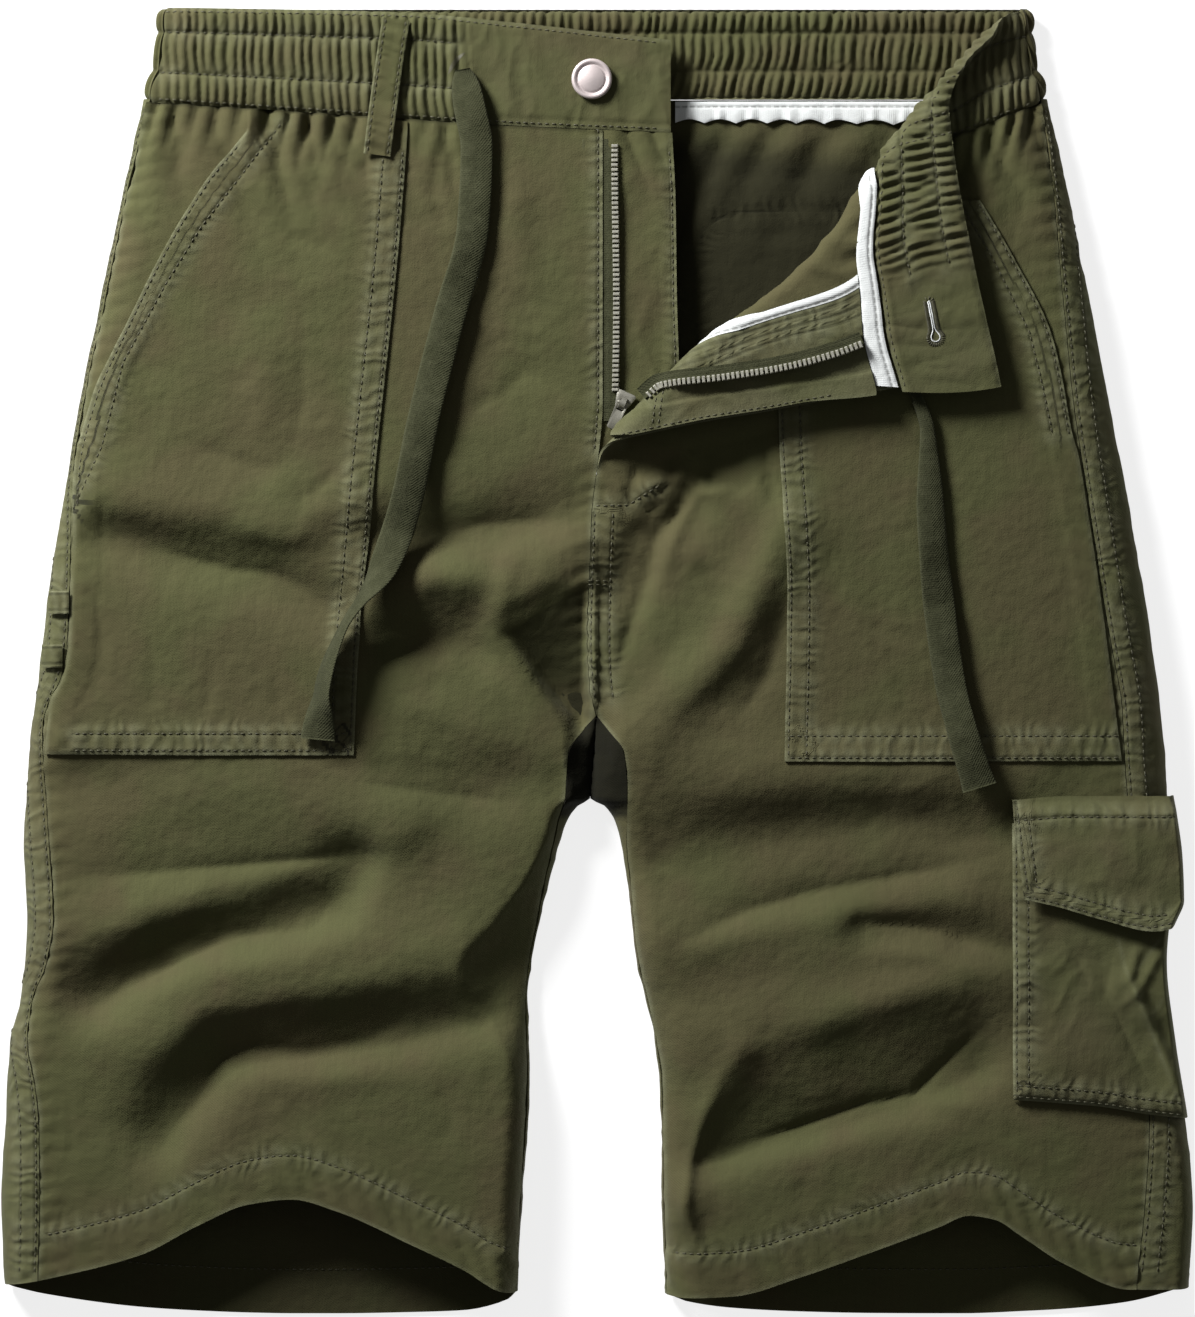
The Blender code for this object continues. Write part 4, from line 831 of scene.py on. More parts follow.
def cloth_wall(name, outer, inner, quads, finish, flat, seam, painted_inner_shade=None):
    """A closed wall of cloth: its outer skin, its inner skin, and the cut edge that joins them. A last
    amount, where given, is shade painted on the inner skin.
    """
    count = len(outer)
    edges = np.concatenate([quads[:, [i, (i + 1) % 4]] for i in range(4)])
    forward = edges[:, 0].astype(np.int64) * count + edges[:, 1]
    backward = edges[:, 1].astype(np.int64) * count + edges[:, 0]
    rim = edges[~np.isin(forward, backward)]
    rim = np.stack([rim[:, 1], rim[:, 0], rim[:, 0] + count, rim[:, 1] + count], 1)
    inside = seam if painted_inner_shade is None else np.column_stack([seam[:, :2], -painted_inner_shade])
    crisp = np.zeros(2 * count, int)
    crisp[rim[:, :2]] = 1
    crisp[rim[:, 2:]] = 2
    return add_piece(
        name,
        np.concatenate([outer, inner]),
        [quads, quads[:, ::-1] + count, rim],
        finish,
        np.concatenate([flat, flat]),
        np.concatenate([seam, inside]),
        crisp,
    )


def grid_wall(name, outer, inner, finish, flat, seam):
    """A closed wall of cloth from two grids of points."""
    index = np.arange(outer.shape[0] * outer.shape[1]).reshape(outer.shape[:2])
    return cloth_wall(
        name,
        outer.reshape(-1, 3),
        inner.reshape(-1, 3),
        quads_of(index),
        finish,
        flat.reshape(-1, 2),
        seam.reshape(-1, 3),
    )


def cut_area(x, y):
    """Flat area of a grid of cut points, in square metres."""
    dx1, dy1 = x[1:, 1:] - x[:-1, :-1], y[1:, 1:] - y[:-1, :-1]
    dx2, dy2 = x[1:, :-1] - x[:-1, 1:], y[1:, :-1] - y[:-1, 1:]
    return float(np.abs(dx1 * dy2 - dx2 * dy1).sum() / 2) * MM * MM


def height_over(*names):
    """A function that drops points on to the highest of some pieces: their heights and the normals there."""
    graph = bpy.context.evaluated_depsgraph_get()
    trees = [BVHTree.FromObject(bpy.data.objects[name], graph) for name in names]

    def drop(x, y, start=ABOVE_ALL):
        best, normal = 0.0, (0.0, 0.0, 1.0)
        for tree in trees:
            hit, facing = tree.ray_cast(Vector((x, y, start)) * MM, Vector((0, 0, -1)))[:2]
            if hit and hit.z / MM > best:
                best, normal = hit.z / MM, tuple(facing)
        return best, normal

    return drop


def highest_near(drop, x, y, reach, start=ABOVE_ALL):
    """The highest level within reach of a point."""
    around = [(0, 0), *((math.cos(a), math.sin(a)) for a in np.arange(8) * math.pi / 4)]
    return max(drop(x + reach * dx, y + reach * dy, start)[0] for dx, dy in around)


# Cut lines and relief of the fronts


def centre_edge(side, y):
    """Inner edge of a front: fly edge and centre seam, then the inseam below the crotch."""
    return np.where(y > CROTCH, FRONT_EDGE(side, y), LEGS("inseam_" + side, y))


def elastic_share(side, x):
    """1 where the waistband holds elastic, 0 along the flat tabs at the fly."""
    return smooth(-50, -60, x) if side == "right" else smooth(66, 84, x)


def creases(x, y):
    """Small creases: each tapers to its ends, a ridge rounded and a valley crisp."""
    total = np.zeros_like(x)
    for height, width, line in CREASES:
        along, away, length = track(x, y, line)
        taper = smooth(0, 0.35 * length, along) * smooth(0, 0.35 * length, length - along)
        near = np.abs(away) / width
        total += height * taper * (np.exp(-near * near) if height > 0 else np.exp(-near * 1.3))
    return total


def cloth_relief(x, y):
    """Creases shared by a front and everything that is sewn flat on it."""
    broad = 0.45 * crumple(x, y, 42, 11) + 0.3 * crumple(x, 1.2 * y, 19, 21)
    fine = 0.16 * crumple(x, y, 8, 31)
    patchy = 0.6 + 0.5 * gradient_noise(x / 50, y / 50, 41)
    return patchy * (broad + fine) + creases(x, y)


def waist_gathers(side, x, y):
    """Fan of small folds that hangs from the elastic waist."""
    below = np.maximum(WAIST[side]("seam", x) - y, 0)
    short = ripple(x + 0.25 * below, 9.5, 51) * bell(below, 15)
    long = ripple(x - 0.3 * below + 8 * gradient_noise(x / 30, y / 30, 57), 19, 53) * bell(below, 36)
    flat_part = 0.25 * ripple(x, 7, 55) * bell(below, 7)
    share = elastic_share(side, x)
    patchy = 0.8 + 0.7 * gradient_noise(x / 34, 0 * y + 3.5, 59)
    return share * patchy * (2.7 * short + 3.0 * long) + (1 - share) * flat_part


def front_relief(side, x, y):
    """Everything that a front does close to its own surface."""
    sign = SIGN[side]
    seam_away = np.abs(x - SIDES("seam_" + side, y))
    centre_away = np.abs(x - centre_edge(side, y))
    up = (y - HEM[side]("front", x)) * 0.93
    out = cloth_relief(x, y) + waist_gathers(side, x, y)
    out += pucker(y, seam_away, 0.6, 7.5, 9, 61, 0.2 * sign)
    out += pucker(y, centre_away, np.where((y < 84) & (y > CROTCH), 0.7, 0.1), 7, 8, 63, 0.3)
    out += 0.5 * smooth(18.6, 17.4, up) - 0.35 * bell(up - 17.4, 1.2)
    out += pucker(x + 0.5 * up, up - 9, 0.8, 9.5, 8, 65)
    return out


def lay(x, y, turns, rise):
    """Flat points laid on the body, rise above its surface, and the surface's normals."""
    normal = normals_of(lambda a, b: folded(a, b, turns), x, y)
    return folded(x, y, turns) + normal * np.asarray(rise)[..., None], normal


def seam_marks(x, y, rows, edge, wear=1.0):
    """Marks at each point: distance to the nearest stitch row, distance along it, and wear at the edges. Some
    pieces add painted light and shade to this last value.
    """
    nearest = np.full_like(x, 40.0)
    along = np.zeros_like(x)
    for row in rows:
        at, away, _ = track(x, y, row)
        closer = np.abs(away) < nearest
        nearest = np.where(closer, np.abs(away), nearest)
        along = np.where(closer, at, along)
    worn = wear * (bell(edge, 1.3) + 0.4 * bell(nearest, 4.5))
    return np.stack([nearest, along, worn], -1)


def edge_distance(x, y, lines):
    """Distance to the nearest of some cut edges."""
    best = np.full_like(x, 1e3)
    for line in lines:
        best = np.minimum(best, np.abs(track(x, y, line)[1]))
    return best


# Pieces. Each function makes its meshes and says which body they ride on and which solids they stand for.


def dress(piece, slot, *nodes, body="garment"):
    """Ties a piece to its body and hides the solids that it stands for. Its material slot is not used."""
    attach(piece, body)
    if nodes:
        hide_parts(*nodes)


def run_across(x, z):
    """Length along each row of a piece, from its first column, as it would measure when opened flat."""
    steps = np.hypot(np.diff(x, axis=1), np.diff(z, axis=1))
    return np.concatenate([np.zeros((len(x), 1)), np.cumsum(steps, 1)], 1)


def declare_cut(x, y, fullness=1.0):
    """Works out the cut of a cloth piece from its flat points, and passes it nowhere. fullness is the spare
    width in its gathers.
    """
    width = max(float(np.ptp(x)) * MM * fullness, LEAST_SIDE)
    length = max(float(np.ptp(y)) * MM, LEAST_SIDE)
    area = cut_area(x, y) * fullness
    if area < 0.35 * width * length:  # a narrow strip that runs aslant
        length = math.hypot(width, length)
        width = max(area / length, LEAST_SIDE)


def hem_row(side, low, high):
    """Stitch row of a front hem."""
    return HEM[side].line("front", np.arange(low, high, 8.0), HEM_DEPTH)


def offset_row(line, away):
    """An open line moved sideways, to its left when away is positive."""
    line = np.array(line, float)
    ahead = np.gradient(line, axis=0)
    ahead /= np.linalg.norm(ahead, axis=1, keepdims=True)
    return [tuple(p) for p in line + away * to_left(ahead)]


def front_rows(side):
    """Stitch rows on a front: fly, centre seam, hem."""
    if side == "right":
        return [*FLY_ROWS, hem_row("right", -229, -36)]
    return [*CENTRE_ROWS, hem_row("left", 32, 226)]


def front_panel(side, size):
    """One front, laid flat; the left one turns back at its fly corner."""
    inward = -GAP / 2 if side == "right" else GAP / 2
    seam = lambda y: SIDES("seam_" + side, y) - inward
    centre = lambda y: centre_edge(side, y) + inward
    edges = (seam, centre) if side == "right" else (centre, seam)
    foot = lambda x: HEM[side]("front", x)
    head = lambda x: WAIST[side]("seam", x) - GAP / 2
    columns = spread(113, (0, 0.05, 1.2), (1, 0.05, 1.2))
    rows = spread(321, (0, 0.05, 1.0), (1, 0.08, 1.2))
    x, y = panel_grid(*edges, foot, head, columns, rows)
    turns = side == "left"
    outer, normal = lay(x, y, turns, front_relief(side, x, y))
    levels = np.linspace(HEM_LEVEL, 230, 80)
    lines = [[(float(edge(v)), float(v)) for v in levels] for edge in edges]
    lines.append(HEM[side].line("front", np.linspace(x.min(), x.max(), 50)))
    marks = seam_marks(x, y, front_rows(side), edge_distance(x, y, lines))
    # Painted shade along the waist seam, under the edge of the band
    marks[..., 2] -= 0.6 * bell(head(x) - y, 1.6)
    inner = outer - normal * size.cloth / MM
    if side == "right":
        # Painted shade on the facet beside the centre seam
        down, inside = centre_facet(x, y)
        marks[..., 2] -= 0.52 * inside * smooth(0, 2, down)
    else:
        # Painted light on the strip beside the turned centre edge, which tilts away from the lamp
        marks[..., 2] += 0.35 * smooth(12, 10, x - FRONT_EDGE("left", y)) * smooth(84, 92, y)
    flat = np.stack([x, y], -1)
    piece = grid_wall("cloth_front_" + side, outer, inner, twill(size), flat, marks)
    dress(piece, "twill", "front_" + side)
    declare_cut(x, y)


def pocket_relief(side, x, y):
    """Relief of a patch pocket over the front under it: turned edges and puckers along its rows."""
    table, (low, _) = PATCH_POCKETS[side]
    inner = np.abs(x - table("inner", y))
    outer = np.abs(x - table("outer", y))
    foot = y - low
    out = pucker(y, inner - 6, 0.55, 7.5, 6, 71, 0.3)
    out += pucker(y + x, outer - 5, 0.5, 8, 6, 73, 0.2)
    out += pucker(x, foot - 5, 0.55, 8, 6, 75, -0.3)
    near = np.minimum(np.minimum(inner, outer), foot)
    turned = 0.35 * smooth(11.5, 10.2, near)
    return out * smooth(0, 4, near) + turned - 0.45 * bell(near, 0.8)


def patch_pocket(side, size):
    """One patch pocket, sewn flat on its front, with a slanted mouth."""
    table, (low, high) = PATCH_POCKETS[side]
    names = ("outer", "inner") if side == "right" else ("inner", "outer")
    edges = [lambda y, name=name: table(name, y) for name in names]
    columns = spread(81, (0, 0.08, 1.0), (1, 0.08, 1.0))
    rows = spread(151, (0, 0.05, 1.0), (1, 0.05, 0.6))
    top = (lambda x: WAIST[side]("seam", x) - 1.2) if side == "right" else (lambda x: 0 * x + high)
    x, y = panel_grid(*edges, lambda x: 0 * x + low, top, columns, rows)
    shared = cloth_relief(x, y) + waist_gathers(side, x, y)
    rise = POCKET_LIFT + shared + pocket_relief(side, x, y)
    outer, normal = lay(x, y, side == "left", rise)
    lines = [table.line(name, np.linspace(low, high, 40)) for name in names]
    lines.append([(float(x.min()), low), (float(x.max()), low)])
    marks = seam_marks(x, y, POCKET_ROWS[side], edge_distance(x, y, lines))
    inner = outer - normal * size.cloth / MM
    piece = grid_wall("cloth_pocket_" + side, outer, inner, twill(size), np.stack([x, y], -1), marks)
    dress(piece, "twill", "pocket_" + side)
    declare_cut(x, y)


# Backs


def over_back_pocket(x, y):
    """How far the left back is lifted where the back pocket lies under it."""
    low_x, high_x, low_y, high_y = BACK_POCKET
    across = np.clip(np.minimum(x - low_x + 7, high_x + 8 - x) / 6, 0, 1)
    down = np.clip(np.minimum(y - low_y + 13, high_y + 13 - y) / 7, 0, 1)
    return (BACK_POCKET_THICK + GAP) * across * down


def outer_turn(side, y, part):
    """From the ground up round the outline: x and z at parts from 0 to 1."""
    sign = SIGN[side]
    angle = part * math.pi / 2
    x = SIDES("side_" + side, y) - sign * EDGE * (1 - np.sin(angle))
    return x, EDGE * (1 - np.cos(angle)) + 0 * y


def outer_wrap(side, y, part):
    """From the outline in to the side seam, on the top: x and z at parts from 0 to 1."""
    sign = SIGN[side]
    edge, seam = SIDES("side_" + side, y), SIDES("seam_" + side, y)
    x = edge + (seam + sign * GAP / 2 - edge) * part * part
    return x, top_height(x, y)


def back_levels():
    """Levels of a back panel's rows, from the waist down. The last ones are stretched to meet the hem."""
    upper = BACK_WAIST - GAP / 2 - (BACK_WAIST - GAP / 2 - ARCH) * spread(117, (0, 0.08, 1.0))
    upper[-1] = ARCH
    lower = ARCH - (ARCH - HEM_LEVEL) * spread(105, (1, 0.1, 1.2), (0, 0.03, 0.6))
    return upper, lower[1:]


def side_by_side(columns):
    """Grids of x and z from a list of such columns."""
    return [np.stack(part, -1) for part in zip(*columns)]


def back_section(side, y):
    """Columns of a back panel's ground layer and wraps at some levels: x and z."""
    sign = SIGN[side]
    rolled = smooth(-44, ARCH, y)
    start, run, sway = CENTRE_SWAY
    middle = sway * np.clip((start - y) / run, 0, 1) + sign * CENTRE_GAP / 2
    centre = np.where(y <= ARCH, LEGS("inner_" + side, y), middle)
    columns = []
    for angle in np.linspace(0, 1, 6) * math.pi / 2:
        columns.append((centre + sign * EDGE * (1 - np.cos(angle)), EDGE * (1 - np.sin(angle)) * rolled))
    first, last = centre + sign * EDGE, SIDES("side_" + side, y) - sign * EDGE
    for part in spread(52, (1, 0.08, 1.0))[1:-1]:
        x = first + (last - first) * part
        columns.append((x, over_back_pocket(x, y) if side == "left" else 0 * x))
    columns += [outer_turn(side, y, part) for part in np.linspace(0, 1, 7)]
    columns += [outer_wrap(side, y, part) for part in np.linspace(0, 1, 20)[1:]]
    return side_by_side(columns)


def back_flank(side, y):
    """Columns from the inseam to the inner edge: the groove's wall above the arch, the leg's side below."""
    sign = SIGN[side]
    inner = LEGS("inner_" + side, y) + np.where(y > ARCH, sign * CENTRE_GAP / 2, 0.0)
    seam = LEGS("inseam_" + side, y) - sign * GAP / 2
    parts = np.linspace(1, 0, 12) ** 1.6
    xs = np.stack([inner + (seam - inner) * part for part in parts], -1)
    zs = top_height(xs, np.broadcast_to(y[:, None], xs.shape))
    return xs, zs


def back_hem(side, x, z):
    """Level of a back's hem: just past the open leg on the ground, in line with the front's hem on top."""
    ground, top = HEM[side]("back", x), HEM[side]("front", x)
    return ground + (top - ground) * smooth(0, EDGE, z)


def to_hem(side, x, z, level):
    """Levels near the foot of a back panel, stretched so that the last row lies on the hem."""
    start = -200  # levels above this stay as they are
    hem = back_hem(side, x, z)
    return np.where(level < start, start + (level - start) * (hem - start) / (HEM_LEVEL - start), level)


def back_panel(side, size):
    """A back: its ground layer wraps up to the side seam, and round the leg's inner edge to the inseam."""
    upper, lower = back_levels()
    levels = np.concatenate([upper, lower])
    wall_levels = np.concatenate([np.linspace(CROTCH - 1, ARCH, 22)[:-1], [ARCH], lower])
    x, z = back_section(side, levels)
    y = to_hem(side, x, z, levels[:, None] + 0 * x)
    wall_x, wall_z = back_flank(side, wall_levels)
    wall_y = to_hem(side, wall_x, wall_z, wall_levels[:, None] + 0 * wall_x)
    index = np.arange(x.size).reshape(x.shape)
    wall = x.size + np.arange(wall_x.size).reshape(wall_x.shape)
    shared = wall_levels <= ARCH
    wall[shared, -1] = index[levels <= ARCH, 0]
    base = np.concatenate(
        [np.stack([x, y, z], -1).reshape(-1, 3), np.stack([wall_x, wall_y, wall_z], -1).reshape(-1, 3)]
    )
    quads = np.concatenate([quads_of(index[::-1]), quads_of(wall[::-1])])
    if side == "left":
        quads = quads[:, ::-1]
    used = np.zeros(len(base), bool)
    used[quads] = True
    renumber = np.cumsum(used) - 1
    base, quads = base[used], renumber[quads]
    normal = skin_normals(base, quads)
    bx, by, bz = base.T
    grounded = smooth(3.0, 0.5, bz)
    rise = back_relief(side, bx, by)
    outer = base + normal * (rise * (1 - grounded))[:, None]
    soft = 1.4 + 1.6 * cloth_relief(bx + 300, by) + 3.4 * pucker(bx - 0.5 * by, by - 226, 1.0, 22, 38, 89)
    off_hem = smooth(HEM_LEVEL, -240, by)
    outer[:, 2] += grounded * np.maximum(soft, 0) * off_hem * (1 - 0.8 * smooth(214, 229, by))
    flat = np.stack([bx + 40 * (bz > EDGE), by], -1)
    marks = seam_marks(bx, by, BACK_ROWS[side], np.abs(by - back_hem(side, bx, bz)))
    # The back pocket's seam, pressed through
    outlined = (bell(marks[:, 0], 2.0) - 0.7 * bell(marks[:, 0] - 5, 3)) * (bx > 30) * (by < 200)
    outer[:, 2] -= grounded * outlined * off_hem
    inner = outer - normal * size.cloth / MM
    # Painted shade on the walls of the groove between the legs, darker than the other painted shade
    shaded = (1 - grounded) * (np.abs(bx) < 20) * smooth(-70, -57, by)
    marks[:, 2] = marks[:, 2] * (1 - shaded) - 2.0 * shaded
    # Painted light and shade inside the legs: the ground layer's inner side is painted dark, and lighter
    # towards the open hems and just under the waist, where light reaches in
    open_leg_light = 0.42 if side == "right" else 0.55
    light = grounded * (open_leg_light * smooth(-150, -240, by) + 0.55 * smooth(200, 226, by + 0.15 * (bx - 60)))
    piece = cloth_wall("cloth_back_" + side, outer, inner, quads, twill(size), flat, marks, 1 - light)
    dress(piece, "twill", "back_" + side)


def back_relief(side, x, y):
    """Relief of a back where it shows on top: a felled strip and puckers beside the side seam and inseam."""
    seam_away = np.abs(x - SIDES("seam_" + side, y))
    outer = smooth(60, 120, np.abs(x))
    strip = 0.5 * smooth(9.5, 8.0, seam_away) - 0.3 * bell(seam_away, 0.8)
    rim = 0.2 + 0.8 * smooth(0, 8, np.abs(x - SIDES("side_" + side, y)))
    puckered = pucker(y, seam_away - 5, 0.65, 6.5, 5, 81, 0.5) + 0.4 * crumple(x, y, 6, 88)
    out = outer * (strip + rim * puckered)
    out += (1 - outer) * (0.3 * crumple(x, y, 12, 83) + pucker(y, np.abs(x + 2), 0.3, 7, 6, 85))
    return out + 0.35 * crumple(x, y, 26, 87) + creases(x, y)


def back_pocket(size):
    """Patch pocket on the outer side of the left back, flat on the ground."""
    low_x, high_x, low_y, high_y = BACK_POCKET
    u, v = np.meshgrid(np.linspace(-1, 1, 61), np.linspace(-1, 1, 49))
    x, y = low_x + (high_x - low_x) * (u + 1) / 2, low_y + (high_y - low_y) * (v + 1) / 2
    rounded = 1 - ease(np.minimum(x - low_x, high_x - x) / BACK_POCKET_CORNER)
    y = y + BACK_POCKET_CORNER * rounded * (1 - v) / 2
    top = np.stack([x, y, BACK_POCKET_THICK - 0.1 + 0 * x], -1)
    row = [(low_x + 2, high_y), (low_x + 2, low_y + 12), (low_x + 8, low_y + 4), (low_x + 14, low_y + 2),
           (high_x - 14, low_y + 2), (high_x - 8, low_y + 4), (high_x - 2, low_y + 12), (high_x - 2, high_y)]
    near = np.minimum(np.minimum(x - low_x, high_x - x), np.minimum(y - low_y, high_y - y))
    marks = seam_marks(x, y, [row], near)
    piece = grid_wall("cloth_back_pocket", top, top * (1, 1, 0), twill(size), np.stack([x, y], -1), marks)
    dress(piece, "twill", "back_pocket")
    declare_cut(x, y)


# Waistband


def channel_relief(along, up, gathered, seed, lean=0.0):
    """Height of gathered cloth over its elastic: puffed channels between the rows, with close pleats."""
    out = np.zeros_like(along)
    for k, (low, high) in enumerate(zip(CHANNELS, CHANNELS[1:])):
        v = np.clip((up - low) / (high - low), 0, 1)
        arch = np.sin(math.pi * v)
        here = (up >= low) & (up < high) if high < 1 else up >= low
        shifted = along + lean * BAND_HEIGHT * (up - low)
        shifted = shifted + 1.1 * gradient_noise(along / 26, 3.0 * up, seed + k)
        pleats = ripple(shifted, PLEAT, seed + 10 * k)
        big = ripple(shifted, 3.1 * PLEAT, seed + 10 * k + 5)
        deep = (1.35 * pleats + 0.75 * big) * (0.35 + 0.65 * arch**0.7)
        out += here * (1.5 * arch**0.6 + deep - 0.45)
    return gathered * out


def band_rims(up):
    """How far a band's skin turns in along its foot and its top."""
    return 0.7 * (bell(up, 0.03) + bell(1 - up, 0.035))


def band_rows(side):
    """Rows across a front waistband piece where the elastic is stitched."""
    waist = WAIST[side]
    xs = np.arange(-186, -56, 6.0) if side == "right" else np.arange(72, 186, 6.0)
    seam, top = waist("seam", xs), waist("top", xs)
    return [[(float(x), float(a + (b - a) * up)) for x, a, b in zip(xs, seam, top)] for up in CHANNELS[1:-1]]


def front_band(side, size):
    """A front piece of the waistband, gathered over elastic and flat at its fly end."""
    waist = WAIST[side]
    inward = GAP / 2 if side == "right" else -GAP / 2
    seam = lambda y: SIDES("seam_" + side, y) + inward
    end = lambda y: 0 * y + (BAND_END_RIGHT if side == "right" else BAND_END_LEFT)
    edges = (seam, end) if side == "right" else (end, seam)
    columns, rows = np.linspace(0, 1, 331 if side == "right" else 271), np.linspace(0, 1, 49)
    x, y = panel_grid(*edges, lambda x: waist("seam", x) + GAP / 2, lambda x: waist("top", x), columns, rows)
    up = np.broadcast_to(rows[:, None], x.shape)
    gathered = elastic_share(side, x)
    flat_part = (1 - gathered) * (0.7 * crumple(x, 0.3 * y, 17, 91) + 0.3 * crumple(x, 0.5 * y, 9, 93))
    flat_part -= (1 - gathered) * 0.5 * bell(up - 0.07, 0.03)
    face = channel_relief(x, up, gathered, 101, 0.05) + flat_part
    back = channel_relief(x + 1.3, up, gathered, 131, -0.04)
    rounded = band_rims(up)
    turns = side == "left"
    outer, normal = lay(x, y, turns, face - rounded)
    inner = outer - normal * (size.band / MM + back - 2 * rounded + face * 0.25)[..., None]
    marks = seam_marks(x, y, band_rows(side), np.minimum(up, 1 - up) * BAND_HEIGHT, 0.6)
    marks[..., 2] += 0.08 + 0.1 * turns
    flat = np.stack([x * 1.6, y], -1)  # the weave drawn closer by the gathers
    piece = grid_wall("cloth_waistband_" + side, outer, inner, twill(size), flat, marks)
    dress(piece, "twill", "waistband_" + side)
    declare_cut(x, y, BAND_FULLNESS)


def back_band(size):
    """The back of the waistband, gathered along its whole length, and up round both sides to the seams."""
    levels = np.linspace(BACK_WAIST + GAP / 2, 273, 43)
    columns = [outer_wrap("right", levels, part) for part in np.linspace(1, 0, 16)]
    columns += [outer_turn("right", levels, part) for part in np.linspace(1, 0, 8)[1:]]
    first, last = SIDES("side_right", levels) + EDGE, SIDES("side_left", levels) - EDGE
    columns += [(first + (last - first) * part, 0 * levels) for part in np.linspace(0, 1, 421)[1:-1]]
    columns += [outer_turn("left", levels, part) for part in np.linspace(0, 1, 8)]
    columns += [outer_wrap("left", levels, part) for part in np.linspace(0, 1, 16)[1:]]
    x, z = side_by_side(columns)
    y = np.broadcast_to(levels[:, None], x.shape)
    base = np.stack([x, y, z], -1)
    normal = -grid_normals(base)
    run = run_across(x, z)
    up = np.broadcast_to(np.linspace(0, 1, len(levels))[:, None], x.shape)
    face = channel_relief(run, up, 1.0, 151, 0.05)
    inside = channel_relief(run + 1.1, up, 1.0, 171, 0.03)
    rounded = band_rims(up)
    grounded = smooth(3.0, 0.5, z)
    face_rise = (1 - grounded) * (face - rounded) - grounded * np.maximum(1.6 - face + rounded, 0.0)
    outer = base + normal * face_rise[..., None]
    inner = base - normal * (size.band / MM + 0.4 + inside - rounded)[..., None]
    marks = seam_marks(x, y, [], np.minimum(up, 1 - up) * BAND_HEIGHT, 0.6)
    rows_up = np.min(np.stack([np.abs(up - c) for c in CHANNELS[1:-1]]), 0) * BAND_HEIGHT
    marks[..., 0], marks[..., 1] = rows_up, run
    flat = np.stack([run * 1.6, y], -1)
    piece = grid_wall("cloth_waistband_back", inner, outer, twill(size), flat, marks)
    dress(piece, "twill", "waistband_back")
    declare_cut(run, y, BAND_FULLNESS)


# Cargo pocket


def coarse_levels(over, x, y, reach, step=6):
    """Levels of what lies under a grid, read at every step-th point and eased between them."""
    rows = np.unique(np.append(np.arange(0, x.shape[0], step), x.shape[0] - 1))
    columns = np.unique(np.append(np.arange(0, x.shape[1], step), x.shape[1] - 1))
    read = np.array([[highest_near(over, x[r, c], y[r, c], reach) for c in columns] for r in rows])
    across = np.array([np.interp(np.arange(x.shape[1]), columns, line) for line in read])
    return np.array([np.interp(np.arange(x.shape[0]), rows, line) for line in across.T]).T


def soften(grid, passes):
    """A grid of levels, evened out."""
    for _ in range(passes):
        padded = np.pad(grid, 1, mode="edge")
        grid = (padded[:-2, 1:-1] + padded[2:, 1:-1] + padded[1:-1, :-2] + padded[1:-1, 2:] + 2 * grid) / 6
    return grid


def cargo_grid(edge, left, top, foot, columns, rows):
    """Flat points of a cargo piece between its left edge and its outer edge."""
    u, t = np.meshgrid(columns, 1 - rows)
    x = 180 + 60 * u
    for _ in range(10):
        y = top(x) + (foot(x) - top(x)) * t
        x = left(t) + (CARGO(edge, y) - left(t)) * u
    return x, y


def cargo_piece(name, edge, left, top, foot, rise, over, count, hang, rows_of, size):
    """A cargo piece laid on what is under it and rolled down over the garment's outline."""
    columns = spread(count[0], (1, 0.12, 1.5), (0, 0.05, 0.8))
    rows = spread(count[1], (0, 0.05, 0.8), (1, 0.05, 0.5))
    x, y = cargo_grid(edge, left, top, foot, columns, rows)
    inside = np.minimum(x, SIDES("side_left", y) - 12.0)
    level = soften(coarse_levels(over, inside, y, 7.0), 6)
    away = CARGO(edge, y) - x
    z = EDGE + (level + rise(x, y) - EDGE) * ease(away / CARGO_ROLL)
    outer = np.stack([x, y, z], -1)
    if hang:
        rim_x, rim_y = x[:, -1], y[:, -1]
        steps = range(1, 5)
        drops = [(rim_x - 0.25 * k, rim_y, EDGE - (EDGE - 0.9) * k / 4 + 0 * rim_x) for k in steps]
        outer = np.concatenate([outer, np.stack([np.stack(drop, -1) for drop in drops], 1)], 1)
        x, y = outer[..., 0], outer[..., 1]
    normal = grid_normals(outer)
    flat = np.stack([x + 2.0 * (outer[..., 2] < EDGE - 0.1), y], -1)
    inner = outer - normal * size.cloth / MM
    near = np.minimum(np.minimum(np.abs(x - left(0.5)), np.abs(y - foot(x))), np.abs(CARGO(edge, y) - x) + 4)
    marks = seam_marks(x, y, rows_of, near)
    # Painted highlights along the pocket's creases
    for line in CARGO_HIGHLIGHTS:
        at, off_highlight, length = track(x, y, line)
        marks[..., 2] += 0.6 * bell(off_highlight, 0.9) * smooth(0, 8, at) * smooth(0, 8, length - at)
    marks[..., 2] += 0.12
    piece = grid_wall("cloth_" + name, outer, inner, twill(size), flat, marks)
    dress(piece, "twill", name)
    declare_cut(run_across(x, outer[..., 2]), y)


def cargo_pocket_rise(x, y):
    """How far the cargo pocket stands off the leg: puffed up away from its sewn edges, and slumped."""
    left, foot = x - CARGO_LEFT, y - CARGO_FOOT("y", x)
    near = np.minimum(left, foot)
    puff = GAP + CARGO_CLOTH + CARGO_PUFF * ease(near / 26.0)
    fine = 0.4 * crumple(x, y, 16, 201) + creases(x, y)
    fine += pucker(y, left - 6, 0.35, 7, 6, 203, 0.3) + pucker(x, foot - 6, 0.35, 7, 6, 205, 0.3)
    turned = 0.3 * smooth(8.0, 7.0, near)
    return puff + fine * smooth(0, 4, near) + turned - 0.45 * bell(near, 0.8)


